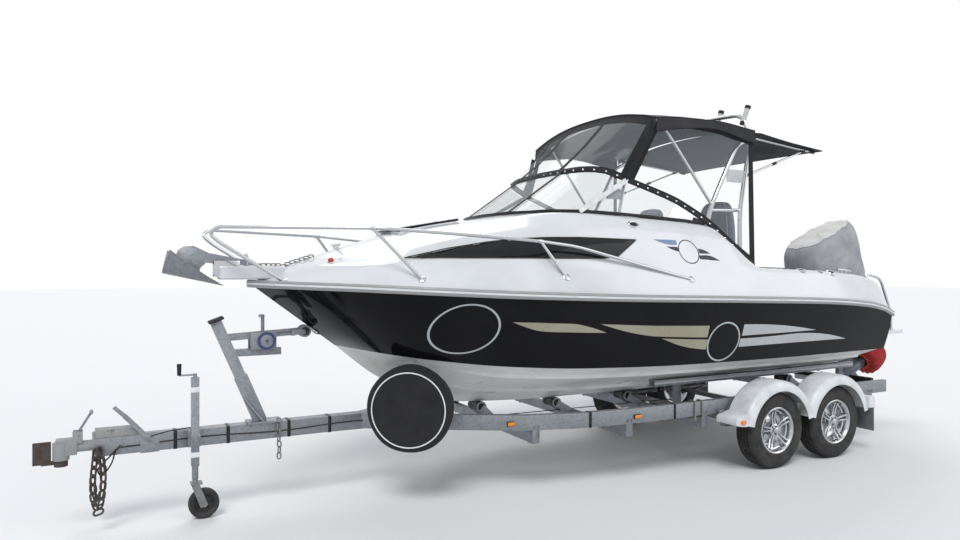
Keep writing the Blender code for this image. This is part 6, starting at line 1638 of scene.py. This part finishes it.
def build_jockey():
    """The jockey wheel's tyre and hub, and its leg's bands, crank grip and bolts."""
    r, y = 0.10, 0.095
    profile = [(0.0, -0.030), (0.022, -0.030), (0.026, -0.020), (0.055, -0.018), (0.062, -0.030),
               (0.080, -0.038), (0.092, -0.034), (0.099, -0.022), (0.100, 0.0), (0.099, 0.022),
               (0.092, 0.034), (0.080, 0.038), (0.062, 0.030), (0.055, 0.018), (0.026, 0.020),
               (0.022, 0.030), (0.0, 0.030)]
    lie = Matrix.Translation((4.445, y, r)) @ turn_by(90, "X")
    piece("jockey_tyre", set_at(turned(profile, 56), lie), DARK_RUBBER, "jockey_wheel", ["jockey_wheel"])
    hub = turned([(0.0, -0.0385), (0.016, -0.0385), (0.020, -0.034), (0.020, 0.034), (0.016, 0.0385),
                  (0.0, 0.0385)], 24)
    piece("jockey_hub", set_at(hub, lie), WHITE_PLASTIC, "jockey_wheel")
    band = [round_box((4.4735, y - 0.0265, z), (4.5265, y + 0.0265, z + 0.035), 0.002) for z in (0.42, 0.86)]
    piece("jockey_reflective_bands", merged(*band), REFLECTIVE)
    grip = pipe([(4.60, y, 0.978), (4.60, y, 1.045)], [0.013, 0.015], 0, 16)
    knob = set_at(stud(0.016, 0.012, 20, 0.5), Matrix.Translation((4.60, y, 1.045)))
    piece("jockey_crank_grip", merged(grip, knob), BLACK_PLASTIC)
    bolts = [nut_at((0, 1, 0), (4.5 + dx, 0.1285, z), 0.012, 0.010) for dx in (-0.02, 0.02)
             for z in (0.515, 0.555)]
    piece("jockey_bolts", merged(*bolts), DULL_ZINC, angle=30)


# Smaller fittings of boat and trailer

def build_screen():
    """Windscreen frame and glass, snap studs along the top rail, zip flaps and a silver strut each side."""
    softened("windscreen_frame", BLACK_PLASTIC, 0.002)
    softened("windscreen_glass", GLASS, 0)
    rail = spread(smooth_path(rail_line(), 120), 26)
    studs = []
    for p in rail[3:-1]:
        studs.append(button((0.45, 0.85, 0.25), p + (0.005, 0.0105, 0.004), 0.0075, 0.005))
    piece("screen_snaps", both_sides(merged(*studs)), STAINLESS)
    zip_path = [(1.197, 0.888, 2.800), (1.254, 0.851, 2.660), (1.358, 0.783, 2.405)]
    piece("curtain_zip_flaps", both_sides(ribbon(smooth_path(zip_path, 20), (1, -0.3, 0.25), 0.050, 0.003)),
          CANVAS_EDGE, angle=50)
    strut = [np.array((1.855, 0.832, 2.130)), np.array((1.368, 0.785, 2.398))]
    piece("screen_struts", both_sides(ribbon(smooth_path(strut, 8), (0.45, -0.35, 0.82), 0.040, 0.010)),
          ALLOY_SATIN, angle=40)


def build_mouldings():
    softened_all(
        ("side_window_port", TINTED, 0.0012), ("side_window_starboard", TINTED, 0.0012),
        ("foredeck_hatch", TINTED, 0.003), ("engine_pod", WHITE_GELCOAT, 0.012),
        ("cockpit_sole", WHITE_GELCOAT, 0.002), ("cockpit_liner", WHITE_GELCOAT, 0.006),
        ("cabin_moulding", WHITE_GELCOAT, 0.006), ("helm_console", WHITE_GELCOAT, 0.010))


def build_hatch_trim():
    """A frame round the foredeck hatch, and two catches at its aft edge."""
    low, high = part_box("foredeck_hatch")
    x0, x1 = low.x - AXLE_X, high.x - AXLE_X
    corners = [(x0 + 0.02, -0.255), (x1 - 0.04, -0.255), (x1 - 0.04, 0.255), (x0 + 0.02, 0.255)]
    path = [on_deck(x, y, 0.004)[0] for x, y in dense_loop(corners, 0.05)]
    piece("hatch_surround", pipe(path, 0.008, sides=10, closed=True), WHITE_PLASTIC)
    catches = [round_box((x0 - 0.020, y - 0.022, high.z - 0.012),
                         (x0 + 0.030, y + 0.022, high.z - 0.002), 0.004) for y in (-0.13, 0.13)]
    piece("hatch_catches", merged(*catches), BLACK_PLASTIC)


def build_helm():
    """Steering wheel with a padded rim, three instruments with blank faces, and the throttle."""
    hub, lean = Vector((1.50, -0.52, 1.66)), math.radians(62)
    lie = Matrix.Translation(hub) @ Matrix.Rotation(-lean, 4, "Y")
    ring = circle(0.165, 64)
    grips = [0.0138 + 0.0008 * math.cos(24 * a) for a in full_turn(64)]
    rim = pipe(ring, grips, 0, 14, closed=True)
    spokes = []
    for a in (math.radians(90), math.radians(210), math.radians(330)):
        c, s = math.cos(a), math.sin(a)
        spokes.append(ribbon([(0.02 * c, 0.02 * s, 0.004), (0.09 * c, 0.09 * s, -0.004),
                              (0.160 * c, 0.160 * s, 0.0)], (-s, c, 0), 0.026, 0.006))
    boss = turned([(0.0, -0.085), (0.034, -0.085), (0.035, -0.01), (0.042, 0.0), (0.038, 0.012),
                   (0.0, 0.016)], 32)
    piece("steering_wheel", set_at(rim, lie), BLACK_PLASTIC, "helm_wheel", ["helm_wheel"])
    piece("steering_spokes", set_at(merged(*spokes, boss), lie), ALLOY_SATIN, "helm_wheel", angle=40)
    dials, faces = [], []
    for x, y in ((1.60, -0.62), (1.60, -0.53), (1.60, -0.44)):
        place = Matrix.Translation((x, y, 1.867)) @ turn_by(-24, "Y")
        dials.append(set_at(turned([(0.032, 0.0), (0.036, 0.0), (0.036, 0.006), (0.032, 0.008),
                                    (0.030, 0.003)], 28), place))
        faces.append(set_at(turned([(0.0, 0.002), (0.031, 0.002), (0.031, 0.0), (0.0, 0.0)], 28), place))
    piece("dial_bezels", merged(*dials), STAINLESS)
    piece("dial_faces", merged(*faces), DIAL)
    lever = merged(pipe([(1.55, -0.325, 1.76), (1.53, -0.300, 1.80), (1.51, -0.298, 1.90)], 0.008, 0.02, 12),
                   round_box((1.485, -0.32, 1.89), (1.535, -0.275, 1.925), 0.012, 3),
                   round_box((1.50, -0.345, 1.70), (1.62, -0.315, 1.79), 0.010, 3))
    piece("throttle_control", lever, BLACK_PLASTIC)


def build_outboard_metal():
    """The engine's hard parts: bracket, swivel, leg with its anti-ventilation plate, and the propeller."""
    softened_all(
        ("transom_bracket", ENGINE_PAINT, 0.004), ("swivel_bracket", ENGINE_PAINT, 0.004),
        ("outboard_leg", ENGINE_PAINT, 0.004), ("powerhead", ENGINE_PAINT, 0.003),
        ("propeller", STAINLESS, 0.001))
    bolts = []
    for side in (1, -1):
        for z in (-0.21, -0.08):
            bolts.append(nut_at((0, side, 0), (TILT_PIVOT[0] + 0.03, side * 0.1475, TILT_PIVOT[2] + z),
                                0.012, 0.010))
    piece("bracket_bolts", merged(*bolts), STAINLESS, angle=30)


PLATFORM_END, PLATFORM_TOP, PLATFORM_AFT = 4.345, 1.714, 3.90


def build_bow_platform():
    """Moulded anchor platform with a slot for the roller, its cheeks, pin, strap and bail."""
    end, half, top, tall = PLATFORM_END, 0.09, PLATFORM_TOP, 0.094
    nose = [(end - 0.06 + 0.06 * math.cos(a), half * math.copysign(abs(math.sin(a)) ** 0.5, math.sin(a)))
            for a in np.linspace(-math.pi / 2, math.pi / 2, 25)]
    slot = [(end, -0.030), (4.255, -0.030), (4.255, 0.030), (end, 0.030)]
    outline = [(PLATFORM_AFT, -half)] + nose[:10] + slot + nose[15:] + [(PLATFORM_AFT, half)]
    rings = []
    for z, trim in ((top - tall, 0.010), (top - tall + 0.010, 0.0), (top - 0.010, 0.0), (top, 0.010)):
        rings.append([(x - trim * (x > 4.0), y * (1 - trim / half * (abs(y) > 0.05)), z) for x, y in outline])
    piece("bow_platform", capped(rings), WHITE_GELCOAT, replaces=["bowsprit"], angle=40)
    cheeks = [round_box((4.20, s * 0.036 - 0.003, 1.640), (4.372, s * 0.036 + 0.003, 1.752), 0.010, 2)
              for s in (1, -1)]
    waist = [(0.0, -0.030), (0.030, -0.030), (0.022, -0.008), (0.020, 0.0), (0.022, 0.008), (0.030, 0.030),
             (0.0, 0.030)]
    roller = laid_across(turned(waist, 32), (4.325, 0, 1.700))
    pin = pipe([(4.325, -0.046, 1.70), (4.325, 0.046, 1.70)], 0.006, 0, 12)
    strap = round_box((3.98, -0.030, 1.714), (4.36, 0.030, 1.7175), 0.001)
    bail = pipe([(4.15, 0.045, 1.714), (4.15, 0.045, 1.80), (4.15, -0.045, 1.80), (4.15, -0.045, 1.714)],
                0.006, 0.03, 10)
    piece("bow_roller", roller, BLACK_PLASTIC)
    piece("bow_roller_metal", merged(*cheeks, pin, strap, bail), STAINLESS)


def build_anchor():
    """Plough anchor with its shank over the roller, two curved blades, a shackle and a chain aft."""
    shank = [(4.08, 1.7185), (4.22, 1.7215), (4.325, 1.7265), (4.42, 1.738), (4.46, 1.70), (4.475, 1.62),
             (4.575, 1.64), (4.615, 1.70), (4.617, 1.78), (4.60, 1.825), (4.565, 1.849), (4.50, 1.853),
             (4.40, 1.805), (4.25, 1.776), (4.13, 1.754), (4.085, 1.745)]
    plate = capped([[(x, y, z) for x, z in shrunk(shank, t)]
                    for y, t in ((-0.008, 0.003), (-0.006, 0.0), (0.006, 0.0), (0.008, 0.003))])
    rows = []
    for share in np.linspace(0, 1, 22):
        px, pz = 4.31 + 0.39 * share, 1.583 + 0.089 * share
        width, lift = 0.006 + 0.109 * share ** 0.8, 0.15 * share ** 1.3
        v = np.linspace(-1, 1, 21)
        upper = np.stack([px - 0.04 * v * v * share, width * v, pz + lift * np.abs(v) ** 1.8], 1)
        rows.append(np.vstack([upper, upper[::-1] - (0, 0, 0.007)]))
    edges = [pipe([row[k] - (0, 0, 0.003) for row in rows[2:]], 0.0055, 0, 8) for k in (0, 20)]
    piece("anchor", merged(plate, capped(np.array(rows))), GALVANISED, angle=40)
    piece("anchor_edges", merged(*edges), DULL_ZINC)
    shackle = merged(pipe([(4.095, 0.014, 1.730), (4.045, 0.016, 1.730), (4.045, -0.016, 1.730),
                           (4.095, -0.014, 1.730)], 0.005, 0.016, 10),
                     pipe([(4.097, -0.020, 1.730), (4.097, 0.020, 1.730)], 0.005, 0, 10))
    link = chain_link(0.045, 0.030, 0.0045)
    shapes = [shackle]
    for i in range(11):
        x = 4.030 - 0.034 * i
        z = on_deck(x, 0.0)[0][2] + 0.010 if x < PLATFORM_AFT else PLATFORM_TOP + 0.009
        shapes.append(set_at(link, Matrix.Translation((x, 0, z)) @ turn_by(45 + 90 * (i % 2), "X")))
    piece("anchor_chain", merged(*shapes), DULL_ZINC, angle=60)


def build_bow_cleat_and_lights():
    """The foredeck's cleat, the bow eye, and a port and a starboard light."""
    cleat = merged(
        pipe([(3.50, -0.10, 0.028), (3.50, 0.10, 0.028)], 0.009, 0, 12),
        pipe([(3.50, -0.04, 0.0), (3.50, -0.04, 0.028)], 0.009, 0, 12),
        pipe([(3.50, 0.04, 0.0), (3.50, 0.04, 0.028)], 0.009, 0, 12))
    fittings = [shifted(cleat, z=on_deck(3.50, 0)[0][2] - 0.002)]
    arc = [(3.60 + 0.075 * math.cos(a), 0.0, 1.235 + 0.030 * math.sin(a))
           for a in np.linspace(-math.pi / 2, math.pi / 2, 11)]
    fittings.append(pipe(arc, 0.006, 0, 12))
    piece("bow_cleat_and_eye", merged(*fittings), STAINLESS)
    for side, finish, word in ((1, RED_LENS, "port"), (-1, GREEN_LENS, "starboard")):
        at, normal = on_deck(3.62, side * 0.30)
        lens = set_at(turned([(0.020, 0.006), (0.019, 0.022), (0.012, 0.030), (0.0, 0.032)], 20),
                      facing(normal, at))
        base = set_at(turned([(0.0, 0.0), (0.027, 0.0), (0.026, 0.006), (0.0, 0.007)], 24),
                      facing(normal, at))
        piece("bow_light_lens_" + word, lens, finish)
        piece("bow_light_base_" + word, base, STAINLESS)


def build_deck_fittings():
    """Vents, deck snaps, cleats and fillers along the side decks, each set square on the surface."""
    chrome, dark = [], []
    for side in (1, -1):
        at, normal = on_side(1.40, 2.040, 0.0, side)
        turn = facing(normal, at) @ Matrix.Diagonal((1.35, 0.75, 1.0, 1))
        chrome.append(set_at(turned([(0.026, 0.0), (0.040, 0.0), (0.040, 0.004), (0.033, 0.009),
                                     (0.026, 0.006)], 28), turn))
        dark.append(set_at(turned([(0.0, 0.003), (0.027, 0.003), (0.027, 0.0), (0.0, 0.0)], 28), turn))
        for x in (0.02, -0.22, -0.44, -0.64, -0.86, -1.06):
            at, normal = on_deck(x, side * 1.013)
            chrome.append(button(normal, at, 0.010, 0.006))
        at, normal = on_deck(-0.95, side * 1.025)
        horns = [(-0.095, 0, 0.026), (-0.05, 0, 0.030), (0.05, 0, 0.030), (0.095, 0, 0.026)]
        bar = merged(pipe(horns, 0.0085, 0, 12),
                     pipe([(-0.035, 0, -0.002), (-0.030, 0, 0.028)], 0.009, 0, 12),
                     pipe([(0.035, 0, -0.002), (0.030, 0, 0.028)], 0.009, 0, 12))
        chrome.append(set_at(bar, facing(normal, at) @ Matrix.Diagonal((1, side, 1, 1))))
        for x in (-0.35, -0.75):
            at, normal = on_deck(x, side * 1.045)
            lie = facing(normal, at) @ turn_by(10, "Y")
            collar = [(0.021, -0.004), (0.040, -0.004), (0.040, 0.002), (0.033, 0.007), (0.023, 0.006),
                      (0.021, 0.0)]
            chrome.append(set_at(turned(collar, 28), lie))
            dark.append(set_at(turned([(0.0, 0.003), (0.022, 0.003), (0.022, -0.003), (0.0, -0.003)], 24),
                               lie))
    at, normal = on_deck(-0.60, 1.04)
    chrome.append(set_at(turned([(0.0, 0.004), (0.030, 0.004), (0.034, 0.0), (0.0, -0.002)], 28),
                         facing(normal, at)))
    piece("deck_chrome", merged(*chrome), STAINLESS, angle=40)
    piece("deck_dark_insets", merged(*dark), BLACK_PLASTIC)


def build_stripes():
    """Films: five long swooshes, a plain ring and a plain oval on the topsides, and marks on the cabin."""
    swoosh([(2.571, 1.330, 1.330), (2.477, 1.326, 1.295), (2.384, 1.322, 1.267), (2.290, 1.316, 1.254),
            (2.102, 1.305, 1.244), (2.008, 1.287, 1.239), (1.915, 1.262, 1.235), (1.821, 1.231, 1.231)],
           "stripe_front", STRIPE_BEIGE)
    swoosh([(1.886, 1.297, 1.297), (1.651, 1.283, 1.234), (1.417, 1.269, 1.191), (1.182, 1.260, 1.173),
            (0.948, 1.251, 1.159), (0.835, 1.248, 1.155)], "stripe_middle", STRIPE_BEIGE)
    swoosh([(0.452, 1.244, 1.150), (0.244, 1.237, 1.152), (0.010, 1.221, 1.154), (-0.225, 1.195, 1.157),
            (-0.459, 1.162, 1.160)], "stripe_middle_aft", STRIPE_SILVER)
    swoosh([(1.304, 1.166, 1.166), (1.082, 1.151, 1.095), (0.860, 1.138, 1.058), (0.822, 1.136, 1.057)],
           "stripe_low", STRIPE_BEIGE)
    swoosh([(0.462, 1.126, 1.057), (0.194, 1.128, 1.059), (-0.029, 1.134, 1.060), (-0.251, 1.140, 1.061),
            (-0.473, 1.130, 1.061), (-0.695, 1.105, 1.061), (-0.917, 1.062, 1.060)], "stripe_low_aft",
           STRIPE_SILVER)
    ring_film(0.645, 1.110, 0.176, 0.014, "ring_mark", STRIPE_SILVER, 0.92)
    ring_film(2.866, 1.281, 0.223, 0.014, "oval_mark", STRIPE_SILVER, 0.81)
    swoosh([(1.259, 1.924, 1.924), (1.192, 1.924, 1.901), (1.125, 1.924, 1.885), (1.058, 1.922, 1.883),
            (1.030, 1.921, 1.884)], "cabin_stripe_blue", STRIPE_BLUE, 24)
    swoosh([(1.146, 1.869, 1.869), (1.103, 1.868, 1.848), (1.060, 1.867, 1.835), (1.032, 1.866, 1.829)],
           "cabin_stripe_dark", STRIPE_INK, 24)
    swoosh([(0.822, 1.858, 1.817), (0.790, 1.852, 1.816), (0.760, 1.846, 1.816), (0.731, 1.833, 1.816),
            (0.702, 1.817, 1.816)], "cabin_stripe_aft", STRIPE_INK, 24)
    swoosh([(0.835, 1.802, 1.771), (0.799, 1.802, 1.769), (0.755, 1.803, 1.767), (0.712, 1.798, 1.763),
            (0.668, 1.784, 1.761), (0.624, 1.761, 1.759)], "cabin_stripe_low", STRIPE_INK, 24)
    ring_film(0.930, 1.830, 0.104, 0.008, "cabin_ring", STRIPE_INK, 0.93)


def build_interior():
    """Cockpit details: two trims along each side pocket, and the floor's carpet."""
    shapes = [round_box((-0.80, side * 0.81 - 0.006, low), (1.30, side * 0.81 + 0.006, high), 0.004)
              for side in (1, -1) for low, high in ((1.22, 1.25), (1.08, 1.10))]
    piece("side_pocket_trims", merged(*shapes), WHITE_PLASTIC)
    pad = round_box((-0.88, -0.76, 0.9802), (1.85, 0.76, 0.9862), 0.003)
    piece("cockpit_carpet", pad, SEAT_GREY)


WINCH = (4.02, 0.0, 1.18)


def build_winch():
    """Webbing from the winch drum to the bow eye, wound on the drum, with its hook and the toothed gear."""
    drum = np.array(WINCH)
    turns = [drum + (0.052 * math.cos(a), 0, 0.052 * math.sin(a))
             for a in np.linspace(0.3, 2 * math.pi + 1.9, 40)]
    run = [np.array(p) for p in ((3.985, 0.0, 1.233), (3.85, 0.0, 1.234), (3.715, 0.0, 1.236))]
    web = merged(ribbon(turns, (0, 1, 0), 0.046, 0.003), ribbon(run, (0, 1, 0), 0.046, 0.003))
    piece("winch_webbing", web, WINCH_WEBBING, angle=60)
    hook = pipe([(3.72, 0, 1.236), (3.70, 0, 1.238), (3.672, 0.0, 1.250), (3.650, 0.0, 1.236),
                 (3.664, 0.0, 1.222)], 0.006, 0.01, 10)
    piece("winch_hook", hook, STAINLESS)
    gear = []
    for k in range(28):
        a = 2 * math.pi * k / 28
        for r, da in ((0.058, 0.0), (0.065, 0.05), (0.065, 0.13), (0.058, 0.18)):
            gear.append((r * math.cos(a + da), r * math.sin(a + da)))
    wheel = capped([[(WINCH[0] + x, y, WINCH[2] + z) for x, z in gear] for y in (0.058, 0.066)])
    shaft = pipe([(WINCH[0], -0.115, WINCH[2]), (WINCH[0], 0.080, WINCH[2])], 0.010, 0, 16)
    piece("winch_gear", merged(wheel, shaft), BLUE_PAINT, angle=30)


def build_post_fittings():
    """The winch post's bow stop roller, its rubber cap and a short hanging chain."""
    waist = [(0.0, -0.0395), (0.030, -0.0395), (0.044, -0.034), (0.0455, -0.020), (0.040, 0.0),
             (0.0455, 0.020), (0.044, 0.034), (0.030, 0.0395), (0.0, 0.0395)]
    piece("bow_stop_roller", laid_across(turned(waist, 36), (3.7398, 0, 1.2370)), DARK_RUBBER)
    cap = round_box((-0.052, -0.045, 0), (0.052, 0.045, 0.022), 0.006, 3)
    piece("post_cap", set_at(cap, Matrix.Translation((4.352, 0, 1.326)) @ turn_by(20.5, "Y")), DARK_RUBBER)
    link = chain_link()
    hanging = [set_at(link, Matrix.Translation((3.935 + 0.003 * math.sin(i), 0.062, 0.60 - 0.0415 * i))
                      @ turn_by(45 + 90 * (i % 2), "Z") @ turn_by(90, "Y"))
               for i in range(7)]
    piece("post_chain", merged(*hanging), DULL_ZINC, angle=60)


def build_coupling_handle():
    """The curved top strap of the coupling's lever, between the corners of its CAD box."""
    low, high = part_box("coupling_lever")
    fore, aft = high.x - AXLE_X - 0.012, low.x - AXLE_X + 0.010
    middle = (low.y + high.y) / 2
    reach, tall = fore - aft, high.z - low.z
    bow = [(fore, middle, low.z + 0.02), (fore - 0.3 * reach, middle, low.z + 0.35 * tall),
           (fore - 0.75 * reach, middle, low.z + 0.75 * tall), (aft, middle, high.z - 0.004)]
    piece("coupling_handle", ribbon(smooth_path(bow, 16), (0, 1, 0), 0.036, 0.009), DULL_ZINC,
          "coupling_lever", angle=40)


# Floor, light and camera

def build_studio():
    """A pale floor, a soft sky-coloured world that is plain white to the camera, and three soft suns."""
    floor_mesh = bpy.data.meshes.new("floor")
    floor_mesh.from_pydata([(-60, -60, 0), (60, -60, 0), (60, 60, 0), (-60, 60, 0)], [], [(0, 1, 2, 3)])
    floor = bpy.data.objects.new("floor", floor_mesh)
    bpy.context.scene.collection.objects.link(floor)
    pale = material("pale_floor", (0.82, 0.82, 0.82), 0.75)
    ranged(pale, noise(pale, 1.0), "Roughness", 0.7, 0.8)
    floor_mesh.materials.append(pale)
    world = bpy.data.worlds.new("studio")
    bpy.context.scene.world = world
    world.use_nodes = True
    nodes, links = world.node_tree.nodes, world.node_tree.links
    nodes.clear()
    paths = nodes.new("ShaderNodeLightPath")
    seen, sharp = nodes.new("ShaderNodeMath"), nodes.new("ShaderNodeMath")
    for either in (seen, sharp):
        either.operation = "MAXIMUM"
    soft, plain = nodes.new("ShaderNodeBackground"), nodes.new("ShaderNodeBackground")
    for background, colour, strength in ((soft, (0.86, 0.91, 1.0, 1), 0.50), (plain, (1, 1, 1, 1), 1.0)):
        background.inputs["Color"].default_value = colour
        background.inputs["Strength"].default_value = strength
    mix, out = nodes.new("ShaderNodeMixShader"), nodes.new("ShaderNodeOutputWorld")
    links.new(paths.outputs["Is Camera Ray"], seen.inputs[0])
    links.new(paths.outputs["Is Transmission Ray"], seen.inputs[1])
    links.new(seen.outputs[0], sharp.inputs[0])
    links.new(paths.outputs["Is Glossy Ray"], sharp.inputs[1])
    links.new(sharp.outputs[0], mix.inputs[0])
    links.new(soft.outputs[0], mix.inputs[1])
    links.new(plain.outputs[0], mix.inputs[2])
    links.new(mix.outputs[0], out.inputs["Surface"])
    for name, direction, spread_angle, strength in (
            ("key", (0.55, 0.75, 1.15), 25.0, 1.55),
            ("fill", (-0.80, 0.75, 0.55), 40.0, 0.45),
            ("rim", (-0.30, -0.90, 1.10), 35.0, 0.75)):
        light = bpy.data.lights.new(name, "SUN")
        light.energy = strength
        light.angle = math.radians(spread_angle)
        holder = bpy.data.objects.new(name, light)
        holder.location = Vector(direction) * 8
        holder.rotation_euler = Vector(direction).to_track_quat("Z", "Y").to_euler()
        bpy.context.scene.collection.objects.link(holder)


def build_camera():
    """The photograph's own view: 5.3 m off the boat's port bow at 1.7 m, level, 27 mm lens."""
    data = bpy.data.cameras.new("camera")
    data.lens = 26.625
    data.sensor_width = 36.0
    data.shift_y = -0.002
    camera = bpy.data.objects.new("camera", data)
    camera.location = (3.8093, 5.26, 1.70)
    camera.rotation_euler = (math.radians(90), 0, math.radians(152.5))
    bpy.context.scene.collection.objects.link(camera)
    bpy.context.scene.camera = camera
    bpy.context.scene.view_settings.view_transform = "Standard"


build_camera()
build_studio()
build_hull()
build_deck()
build_rub_rail()
build_roof()
build_curtains()
build_screen()
build_mouldings()
build_targa()
build_rails()
build_bow_platform()
build_anchor()
build_bow_cleat_and_lights()
build_hatch_trim()
build_deck_fittings()
build_stripes()
build_helm()
build_seats()
build_interior()
build_outboard_metal()
build_engine_cover()
build_prop_bag()
build_wheels()
build_guards()
build_trailer_metal()
build_trailer_bolts()
build_cable_bands()
build_springs_and_brakes()
build_wiring()
build_lamps()
build_hull_supports()
build_winch()
build_post_fittings()
build_coupling_handle()
build_chains()
build_jockey()
build_spare()
